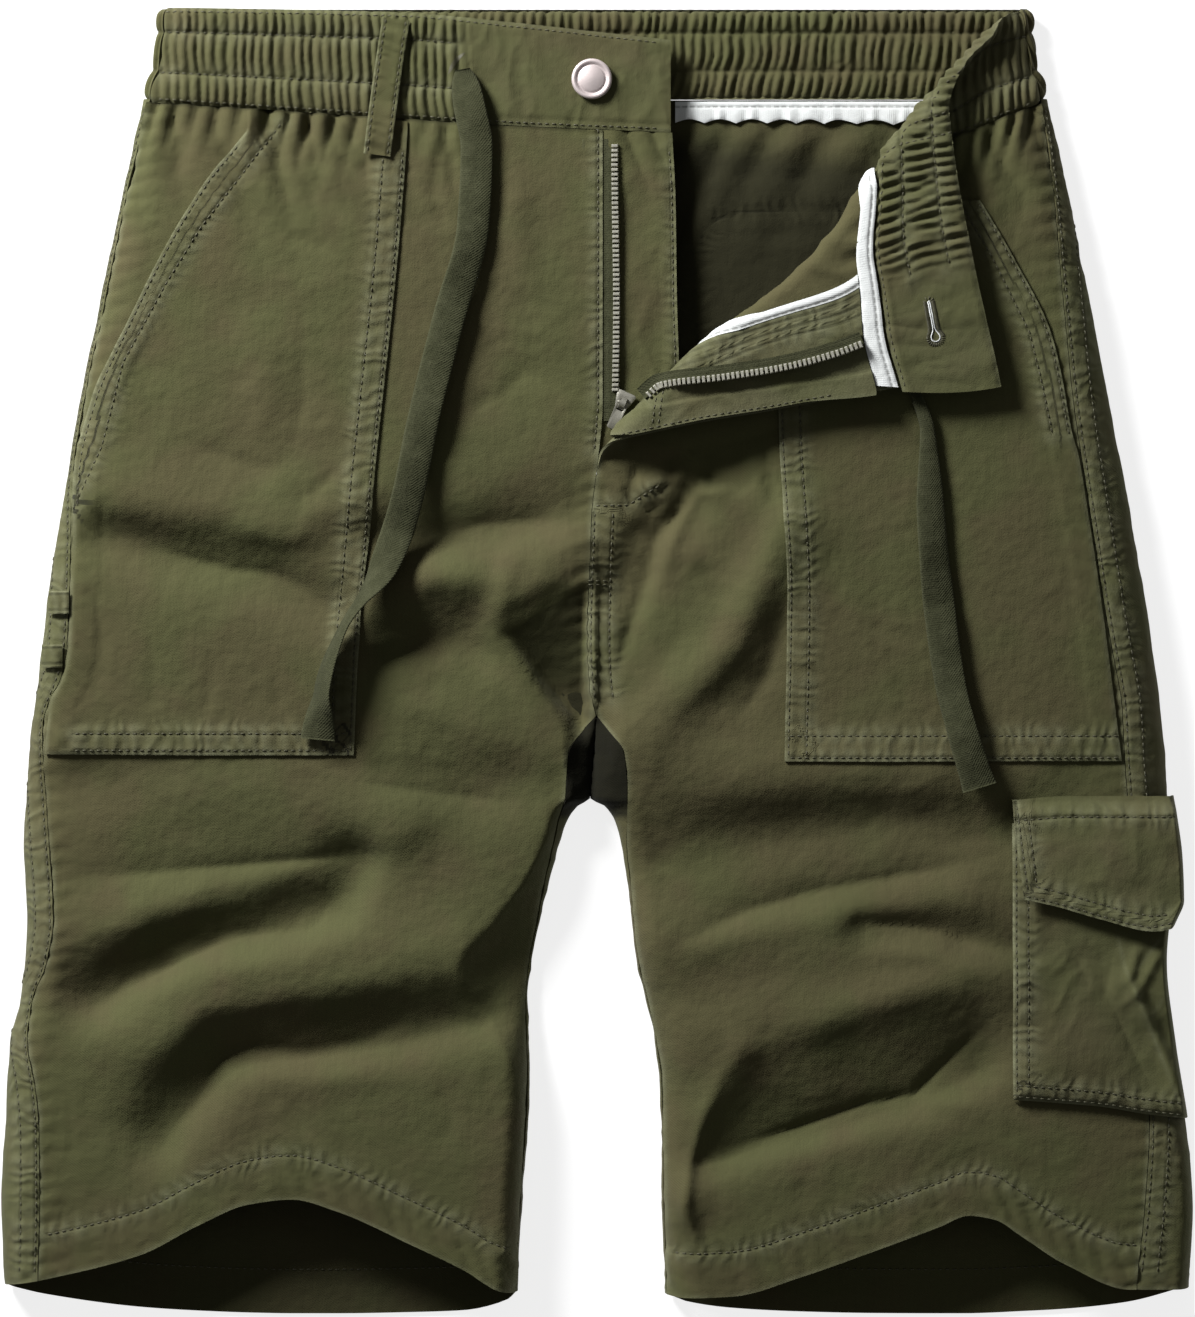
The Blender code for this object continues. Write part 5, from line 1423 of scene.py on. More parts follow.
def cargo_flap_rise(x, y):
    """How far the flap stands off the pocket: pressed at its top seam, lifting towards its free edge."""
    top, foot, left = FLAP_TOP("y", x) - y, y - FLAP_FOOT("y", x), x - FLAP_LEFT[1]
    near = np.minimum(np.minimum(left, foot), top)
    fine = 0.35 * crumple(x, y, 13, 211) + pucker(x, top - 8, 0.45, 9, 6, 213, 0.2) + creases(x, y)
    fine += pucker(x, foot - 5, 0.4, 8, 5, 215, -0.3)
    turned = 0.3 * smooth(7.5, 6.5, np.minimum(left, foot)) - 0.4 * bell(top - 8.6, 1.0)
    lift = FLAP_LIFT("lift", y)
    return GAP + CARGO_CLOTH + lift + fine * smooth(0, 4, near) + turned - 0.45 * bell(near, 0.8)


def cargo(size):
    """The puffed cargo pocket on the left leg and the flap over its mouth."""
    under = ("cloth_front_left", "cloth_back_left")
    cargo_piece(
        "cargo_pocket", "pocket", lambda t: CARGO_LEFT + 0 * t, lambda x: CARGO_TOP + 0 * x,
        lambda x: CARGO_FOOT("y", x), cargo_pocket_rise, height_over(*under), (97, 117), True,
        CARGO_ROWS, size,
    )
    cargo_piece(
        "cargo_flap", "flap", lambda t: np.interp(t, (0, 0.5, 1), FLAP_LEFT), lambda x: FLAP_TOP("y", x),
        lambda x: FLAP_FOOT("y", x), cargo_flap_rise, height_over(*under, "cloth_cargo_pocket"), (97, 71),
        False, FLAP_ROWS, size,
    )


# Tapes, facing and shield at the fly


def strip_piece(
    name, node, left, right, levels, columns, lift, thick, turns, relief, finish, slot,
    rows=(), top=None, worn=0.0,
):
    """A narrow strip between two edges on a front's surface. lift is its outer skin over the front's."""
    v, u = np.meshgrid(levels, np.linspace(0, 1, columns), indexing="ij")
    x, y = left(v) + (right(v) - left(v)) * u, v
    if top:
        y = y + (top(x) - levels[-1]) * smooth(levels[-1] - 20, levels[-1], y)
    rise = relief(x, y, u)
    hidden, shown = (lift, lift - thick - rise) if turns else (lift + rise, lift - thick)
    outer, normal = lay(x, y, turns, hidden)
    inner = folded(x, y, turns) + normal * np.asarray(shown + 0 * x)[..., None]
    near = np.minimum(u, 1 - u) * np.abs(right(v) - left(v))
    marks = seam_marks(x, y, rows, near, 0.5) + (0, 0, worn)
    piece = grid_wall(name, outer, inner, finish, np.stack([x, y], -1), marks)
    dress(piece, slot, node)
    declare_cut(x, y)
    return piece


def fly_facing(size):
    """Facing on the wrong side of the folded corner, with its bound edge."""
    levels = np.linspace(*FACING_LEVELS, 121)
    far = lambda y: FRONT_EDGE("left", y) + FACING_WIDTH("width", y)
    facing_head = lambda x: WAIST_LEFT("seam", x) - 1.3 - WAIST_TAPE_WIDTH
    strip_piece(
        "cloth_fly_facing", "fly_facing", lambda y: FRONT_EDGE("left", y) + 1.0, lambda y: far(y) - 0.4,
        levels, 49, -FRONT_CLOTH - GAP, TAPE, True,
        lambda x, y, u: 0.3 * crumple(x, y, 14, 221) + 0.4 * crumple(x, y, 30, 223)
        + 0.9 * smooth(11.5, 9.5, x - FRONT_EDGE("left", y))
        + pucker(y, x - far(y) + 16, 0.4, 9, 14, 227, 0.6),
        twill(size), "twill",
        [[(float(far(v)) - away, float(v)) for v in levels[::8]] for away in (3.0, 7.5, 12.0)],
        facing_head, 0.5,
    )
    strip_piece(
        "tape_facing", "facing_tape", far, lambda y: far(y) + FACING_TAPE_WIDTH, levels, 13,
        -FRONT_CLOTH - GAP, TAPE, True,
        lambda x, y, u: 0.25 * ripple(y + x, 11, 225) + 0.4 * np.sin(math.pi * u),
        white_tape(size), "white_tape",
        [[(float(far(v)) + 0.9, float(v)) for v in levels[::8]]], facing_head,
    )


def waist_tapes(size):
    """White seam tapes inside the folded corner's waist seam and inside the back waist seam."""
    xs = np.linspace(*WAIST_TAPE_ENDS, 131)
    u, x = np.meshgrid(np.linspace(0, 1, 15), xs, indexing="ij")
    y = WAIST_LEFT("seam", x) - 1.0 - WAIST_TAPE_WIDTH * (1 - u)
    rise = 0.35 * ripple(x, 12, 231) * np.abs(u - 0.4) + 0.5 * np.sin(math.pi * u) ** 0.5
    outer, normal = lay(x, y, True, -FRONT_CLOTH - GAP + 0 * x)
    inner = outer - normal * (TAPE + rise)[..., None]
    row = WAIST_LEFT.line("seam", xs[::6], -3.2)
    marks = seam_marks(x, y, [row], 4 + 0 * x, 0)
    piece = grid_wall("tape_waist_left", outer, inner, white_tape(size), np.stack([x, y], -1), marks)
    dress(piece, "white_tape", "waist_tape_left")
    declare_cut(x, y)
    x, u = np.meshgrid(np.linspace(*BACK_TAPE_ENDS, 171), np.linspace(0, 1, 15))
    high, low = BACK_TAPE_LEVELS
    y = low + (high - low) * u + (1.5 * ripple(x, 13, 233) - 0.6 * smooth(60, 150, x)) * (1 - u) ** 1.5
    floor = CLOTH + GAP + 1.0
    z = floor + TAPE + 0.45 * np.sin(math.pi * u) ** 0.5 + 1.1 * np.abs(ripple(x, 15, 235)) * (1 - u)
    outer = np.stack([x, y, z], -1)
    row = [(float(v), high - 2.2) for v in np.arange(33, 151, 6.0)]
    marks = seam_marks(x, y, [row], 4 + 0 * x, 0)
    inner = np.stack([x, y, floor + 0 * x], -1)
    piece = grid_wall("tape_waist_back", outer, inner, white_tape(size), np.stack([x, y], -1), marks)
    dress(piece, "white_tape", "waist_tape_back")
    declare_cut(x, y)


def fly_shield(size):
    """Shield behind the zip, doubled at its outer edge."""

    def relief(x, y, u):
        turned = 0.5 * smooth(6.5, 5.5, SHIELD("right", y) - x)
        hung = 1.4 * bell(221 - y, 20) * (0.6 + ripple(x + 0.4 * y, 13, 241))
        return 0.5 * crumple(x, 0.5 * y, 17, 243) + turned * 0.4 + hung + 0.4

    strip_piece(
        "cloth_fly_shield", "fly_shield", lambda y: SHIELD("left", y), lambda y: SHIELD("right", y),
        np.linspace(86, 219, 121), 37, SHIELD_LIFT, size.cloth / MM, False, relief, twill(size), "twill",
        SHIELD_ROWS, lambda x: WAIST_RIGHT("seam", x) - 0.1,
    )


def to_left(ahead):
    """Directions in plan, turned a quarter to their left."""
    return np.column_stack([-ahead[:, 1], ahead[:, 0]])


def run_along(line):
    """Length of a line up to each of its points."""
    return np.concatenate([[0], np.cumsum(np.hypot(*np.diff(line, axis=0).T))])


def faces_down(grid):
    """Whether a grid's quads face the ground."""
    return np.cross(grid[0, 1] - grid[0, 0], grid[1, 0] - grid[0, 0])[2] < 0


def ribbon_grid(points, ahead, width, levels, columns, curl=0.0):
    """Grid of a flat tape's upper skin along its stations. curl lifts its right edge."""
    across = to_left(ahead)
    f = np.linspace(-0.5, 0.5, columns)
    xy = points[:, None] + across[:, None] * (np.asarray(width).reshape(-1, 1) * f)[..., None]
    z = levels[:, None] + curl * np.clip(-2 * f, 0, 1) ** 2
    return np.concatenate([xy, z[..., None]], -1)


def even_line(line, spacing):
    """Stations along a smooth curve through a line's points, with their directions and the run so far."""
    line = np.array(line, float)
    reach = run_along(line)
    curve = Table("s x y", *((r, *point) for r, point in zip(reach, line)))
    at = np.linspace(0, reach[-1], int(reach[-1] / spacing) + 2)
    points = np.column_stack([curve("x", at), curve("y", at)])
    ahead = np.gradient(points, axis=0)
    return points, ahead / np.linalg.norm(ahead, axis=1, keepdims=True), at


def eased(levels, reach):
    """Levels along a line, evened out over some stations without dipping far below where they were."""
    kernel = np.exp(-np.linspace(-2, 2, 2 * reach + 1) ** 2)
    padded = np.pad(levels, reach, mode="edge")
    highest = np.array([padded[i : i + 2 * reach + 1].max() for i in range(len(levels))])
    padded = np.pad(0.65 * highest + 0.35 * levels, reach, mode="edge")
    return np.convolve(padded, kernel / kernel.sum(), mode="valid")


def tooth(half_width, half_length, height):
    """One zip tooth about its own foot: a block with its top edges eased. Returns points and quads."""
    rings = ((1.0, 1.0, 0.0), (1.0, 1.0, 0.7), (0.72, 0.6, 1.0))
    points = [
        (sx * half_length * a, sy * half_width * b, height * c)
        for a, b, c in rings
        for sx, sy in ((-1, -1), (1, -1), (1, 1), (-1, 1))
    ]
    quads = [(3, 2, 1, 0), (8, 9, 10, 11)]
    for ring in (0, 4):
        quads += [(ring + i, ring + (i + 1) % 4, ring + 4 + (i + 1) % 4, ring + 4 + i) for i in range(4)]
    return np.array(points), np.array(quads)


def zip_teeth(name, tape, edge, ahead, up, size):
    """The teeth along an edge of their tape. edge, ahead and up are given at each tooth's place."""
    shape, quads = tooth(0.66, 1.45, 1.7)
    across = np.cross(up, ahead)
    points = [
        place + shape[:, :1] * side + shape[:, 1:2] * along + shape[:, 2:] * rise
        for place, side, along, rise in zip(edge, across, ahead, up)
    ]
    faces = np.concatenate([quads + len(shape) * i for i in range(len(edge))])
    teeth = add_piece(name, np.concatenate(points), [faces], nickel(size))
    teeth.data.set_sharp_from_angle(angle=math.radians(50))
    teeth.parent = tape
    dress(teeth, "nickel")


def zip_tapes(size):
    """Both sides of the open zip: one along the right fly edge, the other on the turned-back corner."""
    right = strip_piece(
        "tape_zip_right", "zip_tape_right", lambda y: ZIP_RIGHT_EDGE + 0 * y,
        lambda y: ZIP_RIGHT_EDGE + ZIP_TAPE_WIDTH + 0 * y, np.linspace(100, 218, 119), 13, ZIP_RIGHT_LIFT,
        TAPE, False, lambda x, y, u: 0.15 * crumple(x, y, 9, 251) + 0.25, webbing(size), "webbing",
        [[(ZIP_RIGHT_EDGE + 1.4, float(v)) for v in (100, 160, 218)]],
    )
    levels = np.arange(113.0, 217.0, size.zip_pitch / MM)
    sway = 8.0 + 0.35 * np.sin(levels / 19)
    base, up = lay(sway, levels, False, ZIP_RIGHT_LIFT + 0.2 + 0 * levels)
    zip_teeth("teeth_right", right, base, np.tile((0.0, 1.0, 0.0), (len(base), 1)), up, size)

    points, ahead, run = even_line(ZIP_LEFT, 1.0)
    over = height_over("cloth_front_left", "cloth_fly_facing", "cloth_fly_shield")
    read = []
    for i, (px, py) in enumerate(points):
        ramp = float(top_height(px, py)) + 2.5 + 8.0 * min(1.0, run[i] / 24)
        start = float(top_height(px, py)) + 7.0 if run[i] < 22 else ABOVE_ALL
        read.append(max(highest_near(over, px, py, ZIP_TAPE_WIDTH / 2, start), ramp if run[i] < 24 else 0.0))
    level = eased(np.array(read), 7) + GAP + TAPE + 0.5
    grid = ribbon_grid(points, ahead, ZIP_TAPE_WIDTH, level, 13, 1.7)[:, ::-1]
    normal = grid_normals(grid.transpose(1, 0, 2)).transpose(1, 0, 2)
    if normal[..., 2].mean() < 0:
        normal = -normal
    flat = np.stack([np.broadcast_to(run[:, None], grid.shape[:2]), grid[..., 1] - points[:, None, 1]], -1)
    rows = [offset_row(points[::8], 1.2)]
    marks = seam_marks(grid[..., 0], grid[..., 1], rows, 3 + 0 * grid[..., 0], 0.3)
    outer, inner = grid.transpose(1, 0, 2), (grid - normal * TAPE).transpose(1, 0, 2)
    if faces_down(outer):
        outer, inner, flat, marks = outer[::-1], inner[::-1], flat[:, ::-1], marks[:, ::-1]
    left = grid_wall(
        "tape_zip_left", outer, inner, webbing(size), flat.transpose(1, 0, 2), marks.transpose(1, 0, 2)
    )
    dress(left, "webbing", "zip_tape_left")
    places = np.arange(2.0, run[-1] - 0.8, size.zip_pitch / MM)
    centre = np.column_stack([np.interp(places, run, points[:, i]) for i in (0, 1)])
    heading = np.column_stack([np.interp(places, run, ahead[:, i]) for i in (0, 1)])
    below = centre - to_left(heading) * (ZIP_TAPE_WIDTH / 2 - 0.2)
    edge = np.column_stack([below, np.interp(places, run, level) + 1.4])
    heading = np.column_stack([heading, 0 * places])
    zip_teeth("teeth_left", left, edge, heading, np.tile((0.0, 0.0, 1.0), (len(places), 1)), size)


# Drawstrings


def round_section(columns):
    """Section of a flat woven tape with round edges, as across from -1 to 1 and height from -1 to 1."""
    turns = np.linspace(0, 2 * math.pi, columns, endpoint=False)
    across = np.sign(np.cos(turns)) * np.abs(np.cos(turns)) ** 0.55
    return across, np.sign(np.sin(turns)) * np.abs(np.sin(turns)) ** 0.75


def drawstring(name, node, route, under, start, size, twists, lift, widths):
    """One free end of flat woven tape along its route, lying on what is under it."""
    points, ahead, run = even_line(route, 1.0)
    over = height_over(*under)
    half, thick = STRING_WIDTH / 2, STRING_THICK / 2
    read = [highest_near(over, *p, half - 1.5, start(*p)) for p in points]
    level = eased(np.array(read), 9) + thick + GAP + lift(run)
    part = run / run[-1]
    roll = np.radians(Table("part turn", *twists)("turn", part))
    roll = roll + 0.13 * np.sin(run / 17) + 0.07 * np.sin(run / 7.3)
    scale = Table("part width", *widths)("width", part)
    level = level + half * 0.8 * scale * np.abs(np.sin(roll))
    across, height = round_section(22)
    side = np.column_stack([to_left(ahead), 0 * run])
    up = np.array([0.0, 0.0, 1.0])
    axis = side * np.cos(roll)[:, None] + up * np.sin(roll)[:, None]
    face = -side * np.sin(roll)[:, None] + up * np.cos(roll)[:, None]
    middle = np.column_stack([points, level])
    cup = 0.5 * (1 - across**2)
    ring = (
        middle[:, None]
        + axis[:, None] * (across * half)[None, :, None] * scale[:, None, None]
        + face[:, None] * (height * thick * 0.8 + cup)[None, :, None]
    )
    count, columns = ring.shape[:2]
    index = np.arange(count * columns).reshape(count, columns)
    ends = [index[0][None], index[-1][::-1][None]]
    flat = np.stack(np.broadcast_arrays(across * half, run[:, None]), -1)
    marks = np.stack(np.broadcast_arrays(half - np.abs(across) * half, run[:, None], 0.0), -1)
    faces = [tube_quads(index), *ends]
    points, flat, marks = ring.reshape(-1, 3), flat.reshape(-1, 2), marks.reshape(-1, 3)
    piece = add_piece(name, points, faces, webbing(size), flat, marks)
    dress(piece, "webbing", node)


def drawstrings(size):
    """The two free ends of the waist cord."""
    drawstring(
        "cord_right", "drawstring_right", STRING_RIGHT,
        ("cloth_waistband_right", "cloth_front_right", "cloth_pocket_right"), lambda x, y: ABOVE_ALL, size,
        ((0, 0), (0.66, 0), (0.72, 22), (0.79, 62), (0.93, 64), (0.985, 14), (1, 8)),
        lambda run: 0.9 + 2.4 * np.sin(math.pi * run / 297) ** 2 - 1.6 * bell(run, 7),
        ((0, 0.45), (0.012, 0.72), (0.03, 0.92), (0.06, 1.0), (0.7, 1.0), (0.8, 0.95), (0.96, 1.0),
         (1, 1.08)),
    )
    drawstring(
        "cord_left", "drawstring_left", STRING_LEFT, ("cloth_front_left", "cloth_pocket_left"),
        lambda x, y: float(top_height(x, y)) + 6.0, size, ((0, 14), (0.3, -6), (0.7, 4), (1, 10)),
        lambda run: 0.8 + 0.8 * smooth(20, 60, run),
        ((0, 0.3), (0.14, 0.45), (0.32, 0.85), (0.5, 0.98), (0.8, 0.95), (0.96, 1.0), (1, 1.08)),
    )


# Loops


def loop_piece(name, node, points, ahead, run, width, thick, levels, size):
    """A belt or side loop: a folded and stitched strip along its stations, pressed down at both ends."""
    grid = ribbon_grid(points, ahead, width, levels, 21)
    f = np.linspace(-1, 1, 21)
    grid[..., 2] += 0.25 * np.abs(f) ** 3 - 0.5 * np.abs(f) ** 14
    grid[..., 2] += 0.12 * crumple(grid[..., 0], grid[..., 1], 6, 261)
    flat = np.stack(np.broadcast_arrays(f * width / 2, run[:, None]), -1)
    marks = np.zeros((*grid.shape[:2], 3))
    marks[..., 0] = np.abs(np.abs(f) * width / 2 - (width / 2 - 1.5))
    marks[..., 1] = run[:, None]
    # Pale folded edges from wear; the small side loops are also painted paler, painted light on the side that
    # faces the lamp
    marks[..., 2] = bell((1 - np.abs(f)) * width / 2, 1.0) * 0.9 + 0.3 * (width < 10)
    grid, flat, marks = (g.transpose(1, 0, 2) for g in (grid, flat, marks))
    if faces_down(grid):
        grid, flat, marks = grid[::-1], flat[::-1], marks[::-1]
    piece = grid_wall(name, grid, grid - grid_normals(grid) * thick, twill(size), flat, marks)
    dress(piece, "twill", node)


def loops(size):
    """The belt loop over the waist seam, and the two small loops at the right side seam."""
    points, ahead, run = even_line(BELT_LOOP, 0.7)
    over = height_over("cloth_waistband_right", "cloth_front_right", "cloth_pocket_right")
    read = np.array([highest_near(over, *p, BELT_LOOP_WIDTH / 2 - 1) for p in points[::3]])
    level = eased(np.interp(run, run[::3], read), 6)
    tack = np.minimum(run, run[-1] - run)
    level = level + 1.0 + 0.9 * smooth(1.5, 7, tack)
    loop_piece("cloth_belt_loop", "belt_loop", points, ahead, run, BELT_LOOP_WIDTH, 1.0, level, size)
    over = height_over("cloth_front_right", "cloth_back_right", "cloth_pocket_right")
    for name, x, y in SIDE_LOOPS:
        length, width = SIDE_LOOP_SIZE
        run = np.linspace(0, length, 19)
        points = np.column_stack([x - length / 2 + run, y + 0 * run])
        near = [(dx, dy) for dx in (-1.2, 0, 1.2) for dy in (-width / 2, 0, width / 2)]
        read = np.array([max(over(p[0] + dx, p[1] + dy)[0] for dx, dy in near) for p in points])
        level = eased(read, 2) + 1.0 + 1.1 * np.sin(math.pi * run / length)
        loop_piece("cloth_" + name, name, points, np.tile((1.0, 0.0), (19, 1)), run, width, 0.9, level, size)


# Hardware


def placed(points, at, turn, tilt=0.0):
    """Points of a small part tilted about X, turned about Z and set at their place, in millimetres."""
    x, y, z = np.asarray(points, float).T
    y, z = y * math.cos(tilt) - z * math.sin(tilt), y * math.sin(tilt) + z * math.cos(tilt)
    x, y = x * math.cos(turn) - y * math.sin(turn), x * math.sin(turn) + y * math.cos(turn)
    return np.stack([x, y, z], -1) + at


def rounded_outline(half_width, low, high, corner, taper=0.0, count=6):
    """Rectangle with round corners from y low to y high. taper narrows its lower end."""
    points = []
    corners = ((1, high, 0.0), (-1, high, 90.0), (-1, low, 180.0), (1, low, 270.0))
    for sign, y, start in corners:
        half = half_width - (taper if y == low else 0.0)
        inward = -1 if y == high else 1
        for i in range(count):
            a = math.radians(start + 90 * i / (count - 1))
            x = sign * (half - corner) + corner * math.cos(a)
            points.append((x, y + inward * corner + corner * math.sin(a)))
    return np.array(points)


def plate_rings(loops):
    """Closed skin through a list of loops of points, the last one joined back to the first."""
    count = len(loops[0])
    index = np.arange(len(loops) * count).reshape(len(loops), count)
    return np.concatenate(loops), tube_quads(np.concatenate([index, index[:1]], 0))


def pierced_plate(outline, window, thick, edge):
    """A flat plate with a window, its edges eased."""
    def ring(flat, grow, z):
        middle = flat.mean(0)
        away = flat - middle
        return np.column_stack([middle + away * (1 + grow / np.abs(away).max()), np.full(len(flat), z)])

    half = thick / 2
    loops = [
        ring(outline, -edge, half), ring(outline, 0, half - edge), ring(outline, 0, edge - half),
        ring(outline, -edge, -half), ring(window, edge, -half), ring(window, 0, edge - half),
        ring(window, 0, half - edge), ring(window, edge, half),
    ]
    return plate_rings(loops)


def smooth_metal(piece):
    piece.data.set_sharp_from_angle(angle=math.radians(48))
    return piece


def zip_slider(size):
    """The slider at the foot of the zip: two flared plates held apart, and the bridge that holds the tab."""
    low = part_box("zip_slider")[0][2] / MM
    at = np.array([*SLIDER_AT, low])
    body = rounded_outline(4.3, -3.1, 4.8, 1.3, 1.6)
    hole = rounded_outline(0.9, -0.6, 1.4, 0.8)
    points, quads = pierced_plate(body, hole, 1.0, 0.25)
    section = ((-1.15, 1, 1), (1.15, 1, 1), (1.15, 0.68, 0.76), (-1.15, 0.68, 0.76))
    rings = []
    for a in np.linspace(0, math.pi, 13):
        y, z = 2.3 * math.cos(a), 0.6 + 3.2 * math.sin(a) ** 0.7
        rings.append([(x, y * inward, z * lowered) for x, inward, lowered in section])
    bridge = np.array(rings).reshape(-1, 3)
    index = np.arange(len(bridge)).reshape(-1, 4)
    index += len(points)
    faces = [quads[:, ::-1], tube_quads(index), index[0][None], index[-1][::-1][None]]
    points = placed(np.concatenate([points + (0, 0, 0.5), bridge]), at, PULL_TURN)
    piece = smooth_metal(add_piece("metal_slider", points, faces, dark_nickel(size)))
    dress(piece, "nickel", "zip_slider")


def pull_tab(size):
    """The pull tab: a crossbar in the slider's bridge, a window below it, and a round-cornered plate."""
    at = np.array([*SLIDER_AT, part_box("zip_slider")[0][2] / MM + 2.2])
    outline = rounded_outline(TAB_WIDTH / 2, -TAB_LENGTH, 0.45, 1.0, 0.35)
    window = rounded_outline(TAB_WIDTH / 2 - 0.95, -3.6, -0.45, 0.6)
    points, quads = pierced_plate(outline, window, 0.9, 0.2)
    points[:, 2] += 0.12 * np.cos(points[:, 1] * math.pi / TAB_LENGTH)
    points = placed(points, at, PULL_TURN, PULL_TILT)
    piece = add_piece("metal_pull_tab", points, [quads[:, ::-1]], dark_nickel(size))
    dress(smooth_metal(piece), "nickel", "zip_pull_tab", body="zip_pull")


def turned(profile, sides):
    """A round part from radius and height pairs, from the middle of its foot to the middle of its top."""
    points, faces = [], []
    turns = np.arange(sides) * 2 * math.pi / sides
    for radius, z in profile[1:-1]:
        points += [(radius * math.cos(a), radius * math.sin(a), z) for a in turns]
    index = np.arange(len(points)).reshape(-1, sides)
    foot, top = len(points), len(points) + 1
    points += [(0, 0, profile[0][1]), (0, 0, profile[-1][1])]
    faces.append(tube_quads(index))
    faces.append(np.array([(foot, index[0][(i + 1) % sides], index[0][i]) for i in range(sides)]))
    faces.append(np.array([(top, index[-1][i], index[-1][(i + 1) % sides]) for i in range(sides)]))
    return np.array(points), faces


def button(size):
    """Jeans button: rolled rim, sunk ring and low dome."""
    low, high = (np.array(c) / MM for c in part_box("button"))
    points, faces = turned(BUTTON_PROFILE, 72)
    at = np.array([(low[0] + high[0]) / 2, (low[1] + high[1]) / 2, low[2]])
    piece = add_piece("metal_button", points + at, faces, button_metal(size))
    piece.data.set_sharp_from_angle(angle=math.radians(60))
    dress(piece, "nickel", "button")


# Stitching


def stitch_shape(length, width):
    """One stitch lying along X: a thread with pointed ends that dip into the cloth."""
    half = length / 2
    points = [(-half, 0, -0.25)]
    for x in (-0.55 * half, 0.55 * half):
        points += [(x, width / 2, 0.0), (x, 0, width * 0.62), (x, -width / 2, 0.0), (x, 0, -width * 0.3)]
    points.append((half, 0, -0.25))
    quads = [(1 + i, 5 + i, 5 + (i + 1) % 4, 1 + (i + 1) % 4) for i in range(4)]
    ends = [(0, 1 + i, 1 + (i + 1) % 4) for i in range(4)] + [(9, 5 + (i + 1) % 4, 5 + i) for i in range(4)]
    return np.array(points), np.array(quads), np.array(ends)


def stitches(name, cloth, rows, size, top):
    """A piece's stitches along rows in plan, dropped on to it where nothing else lies above."""
    pitch, width = size.stitch_pitch / MM, size.thread / MM
    shape, quads, ends = stitch_shape(pitch * 0.74, width)
    drop = height_over(cloth)
    points = []
    for row in rows:
        row = np.array(row, float)
        reach = run_along(row)
        for at in np.arange(pitch / 2, reach[-1], pitch):
            x, y = (float(np.interp(at, reach, row[:, i])) for i in (0, 1))
            ahead = [float(np.interp(at + d, reach, row[:, i])) for d in (-0.5, 0.5) for i in (0, 1)]
            heading = math.atan2(ahead[3] - ahead[1], ahead[2] - ahead[0])
            height, normal = drop(x, y)
            if height <= 0 or top(x, y)[0] > height + 0.3:
                continue
            up = Vector(normal)
            forward = Vector((math.cos(heading), math.sin(heading), 0))
            forward = (forward - up * forward.dot(up)).normalized()
            side = up.cross(forward)
            basis = np.array([forward, side, up])
            points.append(shape @ basis + (x, y, height + STITCH_PROUD))
    if not points:
        raise RuntimeError(f"{name}: no stitch landed on {cloth}")
    shift = 10 * np.arange(len(points))[:, None, None]
    faces = [(quads + shift).reshape(-1, 4), (ends + shift).reshape(-1, 3)]
    piece = add_piece(name, np.concatenate(points), faces, thread(size))
    piece.parent = bpy.data.objects[cloth]
    dress(piece, "twill")


def turned_row(row):
    """Plan of a row of the left front or band once its corner is turned back."""
    row = np.array(row, float)
    fine = np.linspace(0, len(row) - 1, 6 * len(row))
    x, y = (np.interp(fine, np.arange(len(row)), row[:, i]) for i in (0, 1))
    return [tuple(p) for p in folded(x, y, True)[:, :2]]


def edge_row(side, away, low, high):
    """Row beside the top edge or the waist seam of a front waistband piece."""
    return WAIST[side].line("top" if away < 0 else "seam", np.arange(low, high, 6.0), away)


def stitching(size):
    """The seams that show, sewn through the cloth that they hold."""
    names = [piece.name for piece in bpy.context.scene.objects]
    top = height_over(*(name for name in names if name.startswith(("cloth_", "tape_"))))
    levels = np.arange(98, 188, 6.0)
    seams = {
        "front_right": front_rows("right"),
        "front_left": [*front_rows("left"), *BARTACKS],
        "pocket_right": POCKET_ROWS["right"],
        "pocket_left": POCKET_ROWS["left"],
        "back_right": [*BACK_ROWS["right"], hem_back_row("right")],
        "back_left": [*BACK_ROWS["left"][:2], hem_back_row("left")],
        "waistband_right": [
            *band_rows("right"), edge_row("right", 1.6, -184, 30), edge_row("right", -1.8, -184, 30)
        ],
        "waistband_left": [turned_row(r) for r in (*band_rows("left"), edge_row("left", 1.6, 27, 184))],
        "cargo_pocket": CARGO_ROWS,
        "cargo_flap": FLAP_ROWS,
        "fly_facing": [turned_row(FRONT_EDGE.line("left", levels, away)) for away in (2.2, 20.5, 23.0)],
        "fly_shield": SHIELD_ROWS,
        "belt_loop": [offset_row(BELT_LOOP, away) for away in (-4.2, 4.2)],
    }
    for name, rows in seams.items():
        stitches("stitch_" + name, "cloth_" + name, rows, size, top)
    openings(size)


def keyhole(away):
    """Closed outline round the buttonhole, away from its slit, and its outward directions."""
    head, foot, radius = BUTTONHOLE
    head, foot = np.array(head), np.array(foot)
    down = (foot - head) / np.linalg.norm(foot - head)
    side = np.array([-down[1], down[0]])
    run = np.linalg.norm(foot - head)
    half = lambda at: away + radius * bell(at - run, 2.2)
    at = np.arange(0, run, 0.5)
    turns = np.linspace(-math.pi / 2, math.pi / 2, 13)
    points = [head + down * a + side * half(a) for a in at]
    points += [foot + down * math.cos(t) * half(run) - side * math.sin(t) * half(run) for t in turns]
    points += [head + down * a - side * half(a) for a in at[::-1]]
    points += [head - down * math.cos(t) * away + side * math.sin(t) * away for t in turns[1:-1:3]]
    points = np.array(points)
    ahead = np.roll(points, -1, 0) - np.roll(points, 1, 0)
    ahead /= np.maximum(np.linalg.norm(ahead, axis=1, keepdims=True), 1e-9)
    return points, to_left(ahead)


